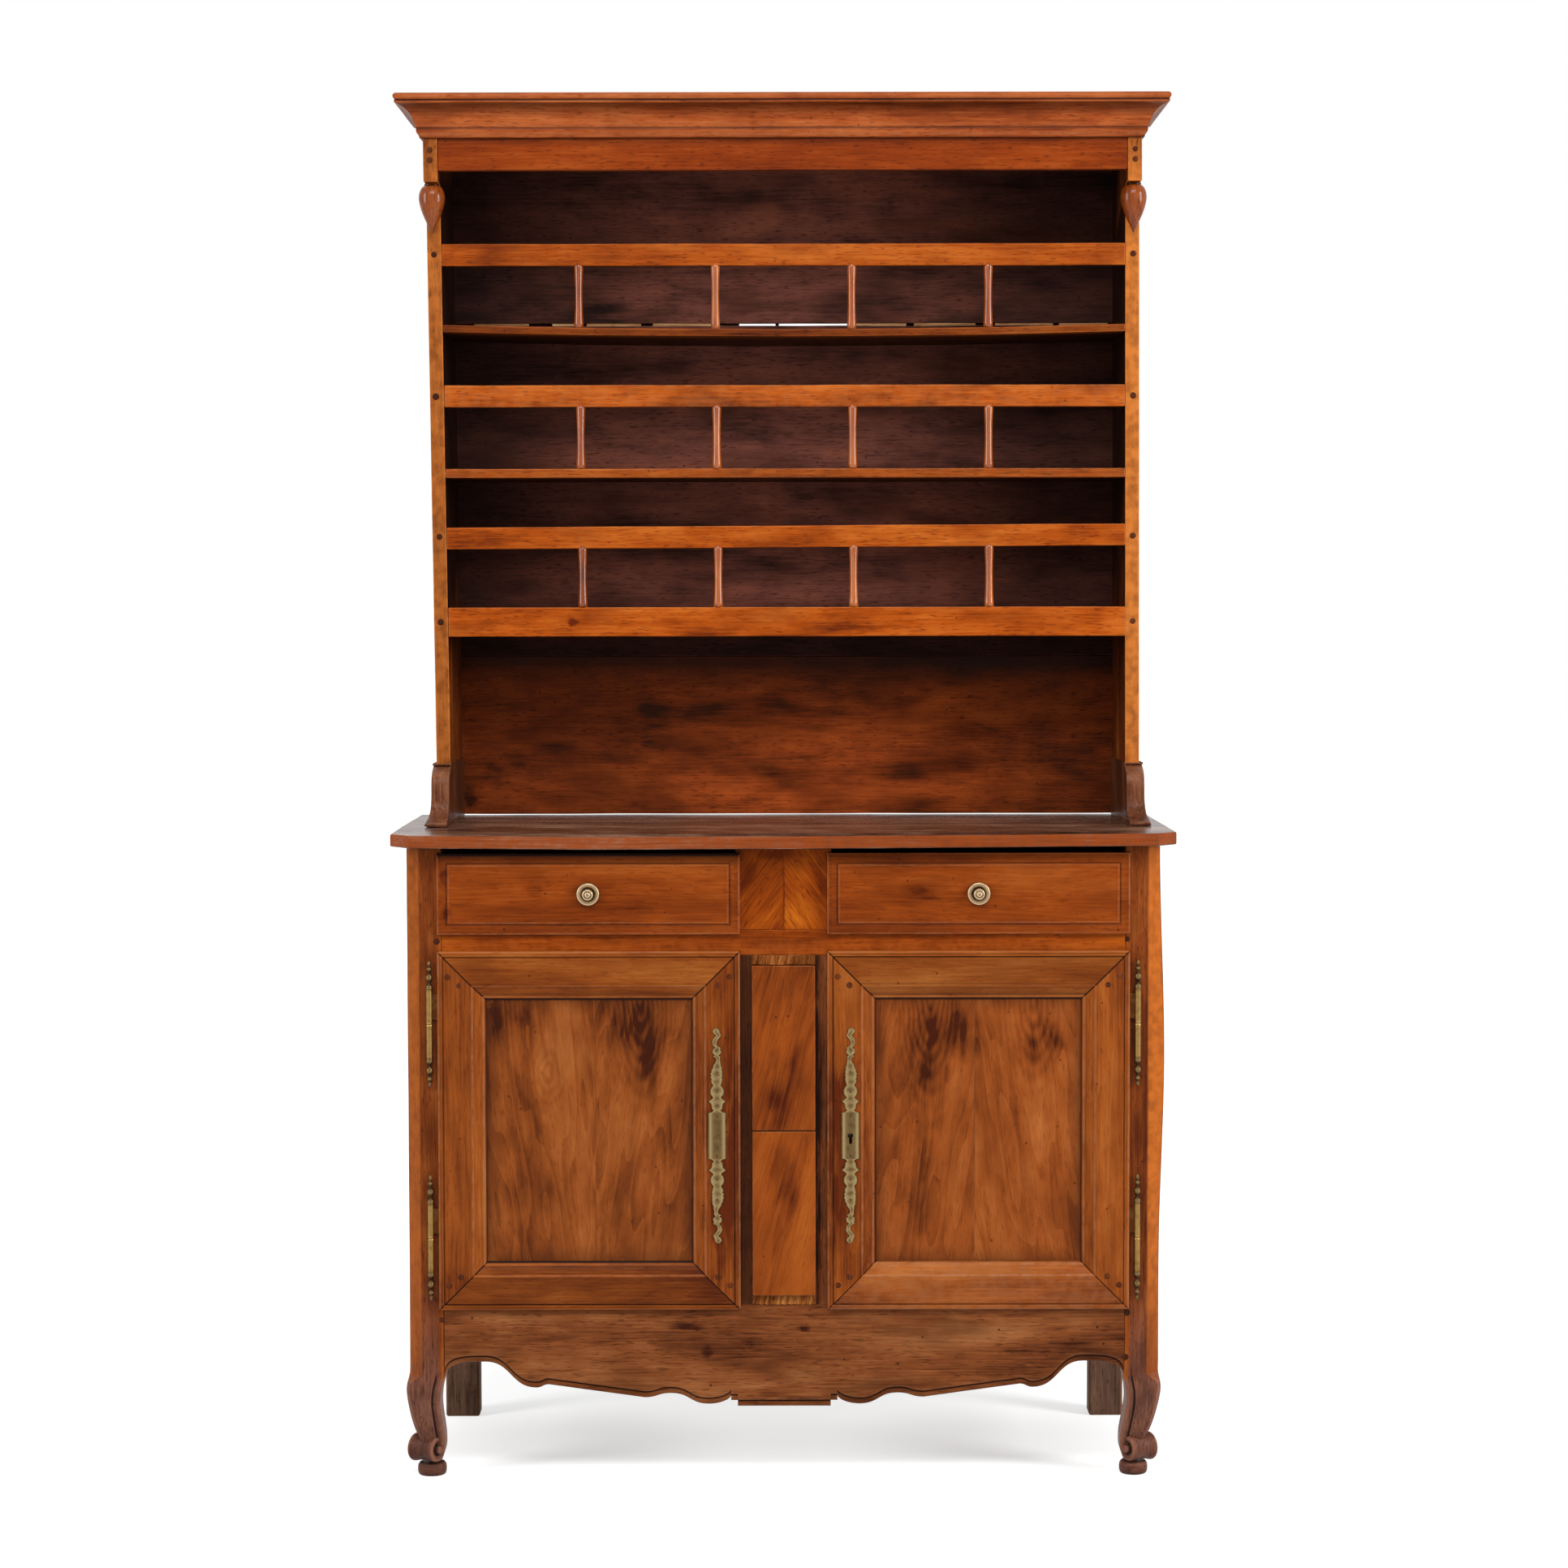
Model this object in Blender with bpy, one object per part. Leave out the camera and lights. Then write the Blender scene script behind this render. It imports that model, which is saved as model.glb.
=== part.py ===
"""Two-part provincial buffet in fruitwood.

A cupboard with two drawers, two panelled doors and scroll feet carries an open plate rack.
Metres, +Z up, the front faces -Y, and the origin is on the floor under the middle of the piece.
"""
import math

import bmesh
import bpy
from mathutils import Matrix, Vector

# Gaps between pieces
SEAT_GAP = 0.0003               # pieces that touch
DOOR_PLAY = 0.0015              # door body to its opening
DRAWER_PLAY = 0.002             # drawer body to its opening
BOLT_PLAY = 0.0004              # lock bolt in its channel

# Counter board
COUNTER_WIDTH = 1.270
COUNTER_DEPTH = 0.515
COUNTER_THICKNESS = 0.021
COUNTER_CLIP = 0.032            # corner cut, along each edge

# Cupboard frame
COUNTER_OVERHANG = 0.0235       # counter past the posts at each end
FRAME_SETBACK = 0.035           # counter front edge to the faces of the posts
BACK_OVERHANG = 0.005           # counter past the rear posts
APRON_TOP = 0.286
DOOR_OPENING_HEIGHT = 0.5713
MID_RAIL_HEIGHT = 0.041
DRAWER_OPENING_HEIGHT = 0.1372
POST_SIZE = 0.058
POST_CANT = 0.0215              # corner cut of the post, along each face
RIGHT_POST_BOW = 0.008          # old warp of the right post's outer side
BOW_CENTRE = 0.40               # middle of the warp, share of the way down the post
BOW_REACH = 0.40                # warp to each side of its middle, share of the post
REAR_POST_WIDTH = 0.059
REAR_POST_DEPTH = 0.045
REAR_POST_INSET = 0.0175
SIDE_INSET = 0.0215             # side frame behind the outer side of the post
SIDE_THICKNESS = 0.022
SIDE_BOTTOM = 0.205
SIDE_FRAME_WIDTH = 0.075
SIDE_PANEL_RECESS = 0.008
BASE_BACK_THICKNESS = 0.012
MID_RAIL_THICKNESS = 0.030
STILE_WIDTH = 0.155
DRAWER_STILE_THICKNESS = 0.025
DOOR_STILE_THICKNESS = 0.032
PLATE_WIDTH = 0.102             # applied plates on the stile between the doors
PLATE_THICKNESS = 0.0105
PLATE_MARGIN = 0.0165           # bare stile above and below the plates
PLATE_JOINT = 0.002
FLOOR_THICKNESS = 0.018
FLOOR_DROP = 0.004              # cupboard floor under the top of the apron
INNER_SHELF_HEIGHT = 0.555
INNER_SHELF_THICKNESS = 0.018
INNER_SHELF_SETBACK = 0.105
RUNNER_THICKNESS = 0.022
RUNNER_WIDTH = 0.060
RUNNER_REAR_BAR = 0.050
CENTRE_RUNNER_WIDTH = 0.220

# Leg and scroll foot, offsets from the faces of the post
LEG_TOP = 0.170
LEG_CANT = 0.006
PAD_HEIGHT = 0.0165
PAD_RADIUS = 0.0235
PAD_CENTRE = 0.022              # from the post's inner rear corner, along both faces
PAD_EDGE = 0.003
SCROLL_RADIUS = 0.0225
SCROLL_LENGTH = 0.040
SCROLL_CENTRE = 0.031           # from the post's inner rear corner, along both faces
SCROLL_SINK = 0.002             # scroll into its pad
SCROLL_EYE_RADIUS = 0.009
SCROLL_EYE_HEIGHT = 0.003
# share of the leg's height, growth past the outer faces, growth past the inner faces
LEG_STATIONS = (
    (0.91, 0.0010, -0.0010),
    (0.84, 0.0015, -0.0020),
    (0.72, -0.0015, -0.0015),
    (0.58, -0.0080, 0.0000),
    (0.46, -0.0145, 0.0020),
    (0.36, -0.0205, 0.0045),
    (0.24, -0.0225, 0.0065),
    (0.10, -0.0270, -0.0030),
)

# Apron
APRON_THICKNESS = 0.025
APRON_CENTRE_DROP = 0.168       # centre block under the top of the apron
APRON_BLOCK_HALF = 0.0755
APRON_STEP = 0.0095
APRON_STEP_WIDTH = 0.011
APRON_SPRING_DROP = 0.122       # start of the edge at the leg, under the top of the apron
APRON_CUSP_DROP = 0.150         # end of the edge beside the block, under the top of the apron
# points of the edge: share of the way from the leg to the block, drop under the top of the apron
APRON_ARCH = (0.142, 0.0945)
APRON_HOOK = (0.318, 0.1375)
APRON_BARB = (0.363, 0.132)
APRON_SWEEP = (0.698, 0.1535)
APRON_CREST = (0.789, 0.1465)
APRON_LOBE = (0.922, 0.1645)

# Doors
LIP_OVERLAP = 0.007             # lip over the frame, doors and drawers
LIP_THICKNESS = 0.0078
DOOR_PROUD = 0.0125             # field of the door in front of the posts
DOOR_DEPTH = 0.0155             # body of the door behind the face of the posts
DOOR_MEMBER_WIDTH = 0.079
LIP_BEAD = 0.010
INNER_MOULDING = 0.020
INNER_MOULDING_DEPTH = 0.011
PANEL_THICKNESS = 0.009
PANEL_GROOVE = 0.010
PANEL_EXPANSION = 0.001
PANEL_RECESS = 0.0128

# Pin hinges
HINGE_RADIUS = 0.005
HINGE_OFFSET = 0.013            # pin from the edge of the door
HINGE_PLAY = 0.0005             # barrel to the face of the post
HINGE_END_DISTANCE = 0.118      # joint of the knuckles to the end of the door
HINGE_HALF_BARREL = 0.056
HINGE_PIN_RADIUS = 0.0024
HINGE_PIN_PLAY = 0.0004
HINGE_PIN_LENGTH = 0.040
HINGE_LEAF_THICKNESS = 0.002
HINGE_LEAF_DEPTH = 0.026
HINGE_LEAF_MARGIN = 0.008
FINIAL_HEIGHT = 0.047
HINGE_SEGMENTS = 10

# Escutcheons and lock
ESCUTCHEON_EDGE = 0.0375        # centre line from the lip of the door
ESCUTCHEON_DROP = 0.007         # centre under the middle of the door
ESCUTCHEON_THICKNESS = 0.0018
ESCUTCHEON_PLATE_WIDTH = 0.030
ESCUTCHEON_PLATE_HEIGHT = 0.077
ESCUTCHEON_ORNAMENT = 0.1375    # ornament above and below the plate
KEYHOLE_HEAD = 0.0042
KEYHOLE_SLOT = 0.0046
KEYHOLE_DROP = 0.0135
LOCK_WIDTH = 0.060
LOCK_HEIGHT = 0.090
LOCK_DEPTH = 0.016
LOCK_EDGE = 0.006               # lock case behind the edge of the door's body
BOLT_LENGTH = 0.044
BOLT_HEIGHT = 0.016
BOLT_THICKNESS = 0.0085
BOLT_WALL = 0.0035              # case between the bolt and the door
BOLT_THROW = 0.0155
STRIKE_PLAY = 0.0015

# Drawers
DRAWER_TOP_GAP = 0.0122         # drawer front to the counter
DRAWER_PROUD = 0.0125
DRAWER_FRONT_DEPTH = 0.011
DRAWER_BORDER = 0.018
DRAWER_BODY_DROP = 0.004        # body of the front under its lip
DRAWER_WALL = 0.012
DRAWER_BOTTOM = 0.008
DRAWER_BACK_GAP = 0.012
DRAWER_SIDE_DROP = 0.008        # box under the body of the front
KNOB_RADIUS = 0.0183
KNOB_PROJECTION = 0.021
KNOB_SEGMENTS = 18

# Plate rack
RACK_INSET = 0.0395             # end of the counter to the side of the rack
RACK_DEPTH = 0.235
RACK_BACK_INSET = 0.010         # rack back to the rear edge of the counter
RACK_SIDE_THICKNESS = 0.0235
LEFT_SIDE_LEAN = 0.0135         # old lean of the left side, foot towards the middle
RIGHT_SIDE_LEAN = -0.0035       # the same for the right side, foot away from the middle
FOOT_HEIGHT = 0.0997
FOOT_THICKNESS = 0.030
FOOT_PROUD = 0.004
FOOT_REACH = 0.105              # foot in front of the side
FOOT_LEDGE = 0.012
FOOT_WAIST = 0.055
FOOT_TOE = 0.007
SERVING_BAY_HEIGHT = 0.3139
LOWER_RAIL_HEIGHT = 0.049
LOWER_RAIL_THICKNESS = 0.016
LOWER_SHELF_THICKNESS = 0.014
MIDDLE_SHELF_THICKNESS = 0.0149
UPPER_SHELF_THICKNESS = 0.0122
UPPER_SHELF_SAG = 0.0075
PLATE_RAIL_HEIGHT = 0.0365
PLATE_RAIL_THICKNESS = 0.014
LOWER_RAIL_TILT = 0.005         # right end of the lower plate rail over its left end
LOWER_SPINDLE = 0.0999
MIDDLE_SPINDLE = 0.1028
UPPER_SPINDLE = 0.0976
LOWER_PLATE_GAP = 0.0807        # plate rail to the shelf above
MIDDLE_PLATE_GAP = 0.0885
UPPER_PLATE_GAP = 0.1172        # upper plate rail to the frieze
SPINDLE_COUNT = 4
SPINDLE_END_RADIUS = 0.0068
SPINDLE_WAIST_RADIUS = 0.0048
SPINDLE_TENON = 0.004
SPINDLE_SEGMENTS = 8
FRIEZE_HEIGHT = 0.0519
FRIEZE_THICKNESS = 0.020
FRIEZE_RECESS = 0.0015
HEAD_PROJECTION = 0.043         # head of the side in front of its edge
HEAD_DROP = 0.019               # head under the frieze
PENDANT_HEIGHT = 0.083
PENDANT_RADIUS = 0.0205
PENDANT_SEGMENTS = 18
CORNICE_HEIGHT = 0.0578
CORNICE_PROJECTION = 0.0425
CAP_THICKNESS = 0.0115
CAP_PROJECTION = 0.0438
CAP_NOSING = 0.003
RACK_BACK_THICKNESS = 0.012
RACK_BACK_MARGIN = 0.0175       # back boards inside the outer faces of the rack
BACK_JOINT_DROP = 0.036         # joint of the back boards under the lower rail
BACK_GAP = 0.0043               # lower back board over the counter

# Places worked out from the sizes
FRONT_EDGE = -COUNTER_DEPTH / 2
BACK_EDGE = COUNTER_DEPTH / 2
FACE_Y = FRONT_EDGE + FRAME_SETBACK
POST_OUTER = COUNTER_WIDTH / 2 - COUNTER_OVERHANG
POST_INNER = POST_OUTER - POST_SIZE
POST_REAR = FACE_Y + POST_SIZE
STILE_HALF = STILE_WIDTH / 2
MID_RAIL_BOTTOM = APRON_TOP + DOOR_OPENING_HEIGHT
MID_RAIL_TOP = MID_RAIL_BOTTOM + MID_RAIL_HEIGHT
CARCASS_TOP = MID_RAIL_TOP + DRAWER_OPENING_HEIGHT
COUNTER_TOP = CARCASS_TOP + COUNTER_THICKNESS
REAR_POST_BACK = BACK_EDGE - BACK_OVERHANG
REAR_POST_FRONT = REAR_POST_BACK - REAR_POST_DEPTH
REAR_POST_OUTER = POST_OUTER - REAR_POST_INSET
REAR_POST_INNER = REAR_POST_OUTER - REAR_POST_WIDTH
SIDE_OUTER = POST_OUTER - SIDE_INSET
SIDE_INNER = SIDE_OUTER - SIDE_THICKNESS
CAVITY_BACK = REAR_POST_FRONT - SEAT_GAP
LIP_OUTER = POST_INNER + LIP_OVERLAP
LIP_INNER = STILE_HALF - LIP_OVERLAP
DOOR_BOTTOM = APRON_TOP - LIP_OVERLAP
DOOR_TOP = MID_RAIL_BOTTOM + LIP_OVERLAP
DOOR_FIELD = FACE_Y - DOOR_PROUD
DOOR_BACK = FACE_Y + DOOR_DEPTH
GROOVE_FRONT = DOOR_FIELD + PANEL_RECESS
GROOVE_BACK = GROOVE_FRONT + PANEL_THICKNESS + 2 * SEAT_GAP
HINGE_X = LIP_OUTER + HINGE_OFFSET
HINGE_Y = FACE_Y - HINGE_RADIUS - HINGE_PLAY
HINGE_HEIGHTS = {"upper": DOOR_TOP - HINGE_END_DISTANCE, "lower": DOOR_BOTTOM + HINGE_END_DISTANCE}
LOCK_X = LIP_INNER + ESCUTCHEON_EDGE
LOCK_Z = (DOOR_TOP + DOOR_BOTTOM) / 2 - ESCUTCHEON_DROP
LOCK_CASE_X = STILE_HALF + DOOR_PLAY + LOCK_EDGE
LOCK_FRONT = DOOR_BACK + SEAT_GAP
BOLT_FRONT = LOCK_FRONT + BOLT_WALL
STRIKE_DEPTH = BOLT_THROW - DOOR_PLAY - LOCK_EDGE + STRIKE_PLAY
RACK_HALF = COUNTER_WIDTH / 2 - RACK_INSET
RACK_REAR = BACK_EDGE - RACK_BACK_INSET
RACK_FRONT = RACK_REAR - RACK_DEPTH
RACK_SIDE_REAR = RACK_REAR - RACK_BACK_THICKNESS - SEAT_GAP
FOOT_TOP = COUNTER_TOP + FOOT_HEIGHT
LOWER_RAIL_BOTTOM = COUNTER_TOP + SERVING_BAY_HEIGHT
LOWER_SHELF_TOP = LOWER_RAIL_BOTTOM + LOWER_RAIL_HEIGHT
LOWER_PLATE_RAIL = LOWER_SHELF_TOP + LOWER_SPINDLE
MIDDLE_SHELF_BOTTOM = LOWER_PLATE_RAIL + PLATE_RAIL_HEIGHT + LOWER_PLATE_GAP
MIDDLE_SHELF_TOP = MIDDLE_SHELF_BOTTOM + MIDDLE_SHELF_THICKNESS
MIDDLE_PLATE_RAIL = MIDDLE_SHELF_TOP + MIDDLE_SPINDLE
UPPER_SHELF_BOTTOM = MIDDLE_PLATE_RAIL + PLATE_RAIL_HEIGHT + MIDDLE_PLATE_GAP
UPPER_SHELF_TOP = UPPER_SHELF_BOTTOM + UPPER_SHELF_THICKNESS
UPPER_PLATE_RAIL = UPPER_SHELF_TOP + UPPER_SPINDLE
FRIEZE_BOTTOM = UPPER_PLATE_RAIL + PLATE_RAIL_HEIGHT + UPPER_PLATE_GAP
CORNICE_BOTTOM = FRIEZE_BOTTOM + FRIEZE_HEIGHT
RACK_TOP = CORNICE_BOTTOM + CORNICE_HEIGHT
HEAD_FRONT = RACK_FRONT - HEAD_PROJECTION
HEAD_BOTTOM = FRIEZE_BOTTOM - HEAD_DROP
BACK_JOINT = LOWER_RAIL_BOTTOM - BACK_JOINT_DROP

SIDES = {"left": -1, "right": 1}
UP = (0, 0, 1)
FORWARD = (0, -1, 0)
CURVE_STEPS = 6
MERGE_DISTANCE = 1e-6
SMOOTH_ANGLE = math.radians(35)
BOW_STEPS = 10
SAG_STEPS = 10


def srgb(code):
    """Linear colour of an sRGB hex code."""
    channels = [int(code[i:i + 2], 16) / 255 for i in (0, 2, 4)]
    linear = [c / 12.92 if c <= 0.04045 else ((c + 0.055) / 1.055) ** 2.4 for c in channels]
    return (*linear, 1.0)


def make_finish(name, code, roughness, metallic=0.0):
    """One material with a colour, a roughness and a metallic value."""
    finish = bpy.data.materials.new(name)
    finish.use_nodes = True
    shader = finish.node_tree.nodes["Principled BSDF"]
    shader.inputs["Base Color"].default_value = srgb(code)
    shader.inputs["Roughness"].default_value = roughness
    shader.inputs["Metallic"].default_value = metallic
    return finish


def rectangle(low, high):
    """Corners of a rectangle between two corners."""
    return [(low[0], low[1]), (high[0], low[1]), (high[0], high[1]), (low[0], high[1])]


def curve(start, handle, handle_end, end):
    """Points on a cubic curve, without its first point."""
    points = []
    for step in range(1, CURVE_STEPS + 1):
        t = step / CURVE_STEPS
        weights = ((1 - t) ** 3, 3 * t * (1 - t) ** 2, 3 * t * t * (1 - t), t ** 3)
        corners = (start, handle, handle_end, end)
        points.append(tuple(sum(w * c[k] for w, c in zip(weights, corners)) for k in (0, 1)))
    return points


def place(point, axis, level):
    """Point of a flat outline, set at a level along the axis that the outline leaves out."""
    first, second = point
    return {"X": (level, first, second), "Y": (first, level, second), "Z": (first, second, level)}[axis]


def skin(rings):
    """Closed solid through rings of equally many points."""
    solid = bmesh.new()
    loops = [[solid.verts.new(point) for point in ring] for ring in rings]
    count = len(loops[0])
    for low, high in zip(loops, loops[1:]):
        for i in range(count):
            j = (i + 1) % count
            solid.faces.new((low[i], low[j], high[j], high[i]))
    solid.faces.new(loops[0][::-1])
    solid.faces.new(loops[-1])
    bmesh.ops.recalc_face_normals(solid, faces=solid.faces)
    return solid


def prism(outline, axis, start, end):
    """Flat outline carried along an axis."""
    return skin([[place(point, axis, level) for point in outline] for level in (start, end)])


def box(low, high):
    """Square-edged board between two corners."""
    return prism(rectangle(low[:2], high[:2]), "Z", low[2], high[2])


def mirrored_box(side, low, high):
    """Board of one side: its X runs outwards from the middle."""
    near, far = sorted((side * low[0], side * high[0]))
    return box((near, *low[1:]), (far, *high[1:]))


def turned(profile, segments, centre=(0, 0, 0), axis=UP):
    """Turned solid from a profile of radius and height, from pole to pole."""
    solid = bmesh.new()
    verts = [solid.verts.new((radius, 0, height)) for radius, height in profile]
    edges = [solid.edges.new(pair) for pair in zip(verts, verts[1:])]
    bmesh.ops.spin(solid, geom=verts + edges, cent=(0, 0, 0), axis=UP, angle=math.tau,
                   steps=segments, use_merge=True)
    bmesh.ops.remove_doubles(solid, verts=solid.verts, dist=MERGE_DISTANCE)
    turn = Vector(UP).rotation_difference(Vector(axis)).to_matrix().to_4x4()
    bmesh.ops.transform(solid, matrix=Matrix.Translation(centre) @ turn, verts=solid.verts)
    bmesh.ops.recalc_face_normals(solid, faces=solid.faces)
    return solid


def new_object(name, solid, finish=None):
    """Object that holds a solid."""
    data = bpy.data.meshes.new(name)
    solid.to_mesh(data)
    solid.free()
    if finish:
        data.materials.append(finish)
    made = bpy.data.objects.new(name, data)
    bpy.context.scene.collection.objects.link(made)
    return made


def add_piece(name, solid, finish, carrier=None, smooth=False):
    """Named piece, carried by an empty on its joint's axis where it moves."""
    piece = new_object(name, solid, finish)
    if smooth:
        piece.data.shade_smooth()
        piece.data.set_sharp_from_angle(angle=SMOOTH_ANGLE)
    if carrier:
        piece.parent = carrier
        piece.matrix_parent_inverse = Matrix.Translation(carrier.location).inverted()
    return piece


def combine(piece, solid, operation):
    """Cut a solid from a piece, or join it on, with a hidden tool."""
    tool = new_object(f"{piece.name}_tool", solid)
    tool.hide_render = True
    tool.display_type = "WIRE"
    modifier = piece.modifiers.new(operation.title(), "BOOLEAN")
    modifier.operation = operation
    modifier.solver = "EXACT"
    modifier.object = tool


def joint_axis(name, location):
    """Empty on the axis of a joint."""
    empty = bpy.data.objects.new(name, None)
    empty.location = location
    bpy.context.scene.collection.objects.link(empty)
    return empty


def stepped_front(steps):
    """Board of stacked rectangles from back to front, each given by two corners and its Y."""
    return skin([[place(point, "Y", level) for point in rectangle(low, high)]
                 for low, high, level in steps])


def add_counter(finish):
    """Counter board with clipped front corners."""
    half = COUNTER_WIDTH / 2
    outline = [
        (-half, BACK_EDGE), (-half, FRONT_EDGE + COUNTER_CLIP), (-half + COUNTER_CLIP, FRONT_EDGE),
        (half - COUNTER_CLIP, FRONT_EDGE), (half, FRONT_EDGE + COUNTER_CLIP), (half, BACK_EDGE),
    ]
    add_piece("counter", prism(outline, "Z", CARCASS_TOP + SEAT_GAP, COUNTER_TOP), finish)


def post_bow(share):
    """Warp of the right post at a share of the way down it."""
    offset = min(1, abs(share - BOW_CENTRE) / BOW_REACH)
    return RIGHT_POST_BOW * math.cos(offset * math.pi / 2) ** 2


def post_section(side, height, outer_growth, inner_growth, cant, bow):
    """Five-sided section of a front post or leg at one height."""
    near = -inner_growth
    far = POST_SIZE + outer_growth
    corners = ((near, near, 0), (near, far, 0), (far - cant, far, 0), (far, far - cant, 1),
               (far, near, 1))
    return [(side * (POST_INNER + across + bow * outside), POST_REAR - along, height)
            for across, along, outside in corners]


def add_front_post(name, side, finish):
    """Front post with its canted corner, cabriole leg, scroll and pad."""
    steps = BOW_STEPS if side > 0 else 1
    sections = []
    for step in range(steps + 1):
        share = step / steps
        height = CARCASS_TOP + (LEG_TOP - CARCASS_TOP) * share
        bow = post_bow(share) if side > 0 else 0
        sections.append(post_section(side, height, 0, 0, POST_CANT, bow))
    for share, outer_growth, inner_growth in LEG_STATIONS:
        sections.append(post_section(side, share * LEG_TOP, outer_growth, inner_growth, LEG_CANT, 0))
    post = add_piece(name, skin(sections), finish)

    across_leg = (side, 1, 0)
    scroll_centre = (side * (POST_INNER + SCROLL_CENTRE), POST_REAR - SCROLL_CENTRE,
                     PAD_HEIGHT + SCROLL_RADIUS - SCROLL_SINK)
    half = SCROLL_LENGTH / 2
    tip = half + SCROLL_EYE_HEIGHT
    rim = SCROLL_RADIUS - SCROLL_EYE_HEIGHT
    scroll = [(0, tip), (SCROLL_EYE_RADIUS, tip), (SCROLL_EYE_RADIUS, half), (rim, half),
              (SCROLL_RADIUS, half - SCROLL_EYE_HEIGHT)]
    scroll += [(radius, -height) for radius, height in reversed(scroll)]
    combine(post, turned(scroll, KNOB_SEGMENTS, scroll_centre, across_leg), "UNION")

    pad_centre = (side * (POST_INNER + PAD_CENTRE), POST_REAR - PAD_CENTRE, 0)
    pad = [(0, PAD_HEIGHT), (PAD_RADIUS - 2 * PAD_EDGE, PAD_HEIGHT),
           (PAD_RADIUS, PAD_HEIGHT - 2 * PAD_EDGE), (PAD_RADIUS, PAD_EDGE), (PAD_RADIUS - PAD_EDGE, 0),
           (0, 0)]
    combine(post, turned(pad, KNOB_SEGMENTS, pad_centre), "UNION")
    return post


def level_curve(start, end):
    """Curve from one point to another that is level at both ends, without its first point."""
    middle = (start[0] + end[0]) / 2
    return curve(start, (middle, start[1]), (middle, end[1]), end)


def apron_half():
    """Lower edge of the apron from the left leg to its centre block: X and height."""
    leg = -(POST_INNER - SEAT_GAP)
    step = -APRON_BLOCK_HALF - APRON_STEP_WIDTH
    bottom = APRON_TOP - APRON_CENTRE_DROP

    def edge_point(share, drop):
        return leg + (step - leg) * share, APRON_TOP - drop

    spring, cusp = edge_point(0, APRON_SPRING_DROP), edge_point(1, APRON_CUSP_DROP)
    arch, hook, barb = edge_point(*APRON_ARCH), edge_point(*APRON_HOOK), edge_point(*APRON_BARB)
    sweep, crest, lobe = edge_point(*APRON_SWEEP), edge_point(*APRON_CREST), edge_point(*APRON_LOBE)
    points = [spring]
    points += curve(spring, (spring[0], arch[1]), ((spring[0] + arch[0]) / 2, arch[1]), arch)
    points += level_curve(arch, hook)
    points += level_curve(hook, barb)
    points += [sweep]
    points += level_curve(sweep, crest)
    points += level_curve(crest, lobe)
    points += curve(lobe, ((lobe[0] + cusp[0]) / 2, lobe[1]), (cusp[0], (lobe[1] + cusp[1]) / 2), cusp)
    points += [(step, bottom + APRON_STEP), (-APRON_BLOCK_HALF, bottom + APRON_STEP)]
    points += [(-APRON_BLOCK_HALF, bottom)]
    return points


def add_apron(finish):
    """Shaped apron under the doors, the same on both halves."""
    half = apron_half()
    outline = half + [(-x, z) for x, z in reversed(half)]
    end = POST_INNER - SEAT_GAP
    outline += [(end, APRON_TOP), (-end, APRON_TOP)]
    add_piece("apron", prism(outline, "Y", FACE_Y, FACE_Y + APRON_THICKNESS), finish)


def add_side_frame(name, side, finish):
    """Side of the cupboard: a frame with a sunk panel, between the two posts."""
    front = POST_REAR + SEAT_GAP
    back = REAR_POST_FRONT - SEAT_GAP
    outer = rectangle((front, SIDE_BOTTOM), (back, CARCASS_TOP))
    inner = rectangle((front + SIDE_FRAME_WIDTH, SIDE_BOTTOM + SIDE_FRAME_WIDTH),
                      (back - SIDE_FRAME_WIDTH, CARCASS_TOP - SIDE_FRAME_WIDTH))
    levels = ((outer, SIDE_INNER), (outer, SIDE_OUTER), (inner, SIDE_OUTER),
              (inner, SIDE_OUTER - SIDE_PANEL_RECESS))
    rings = [[place(point, "X", side * level) for point in ring] for ring, level in levels]
    add_piece(name, skin(rings), finish)


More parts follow.
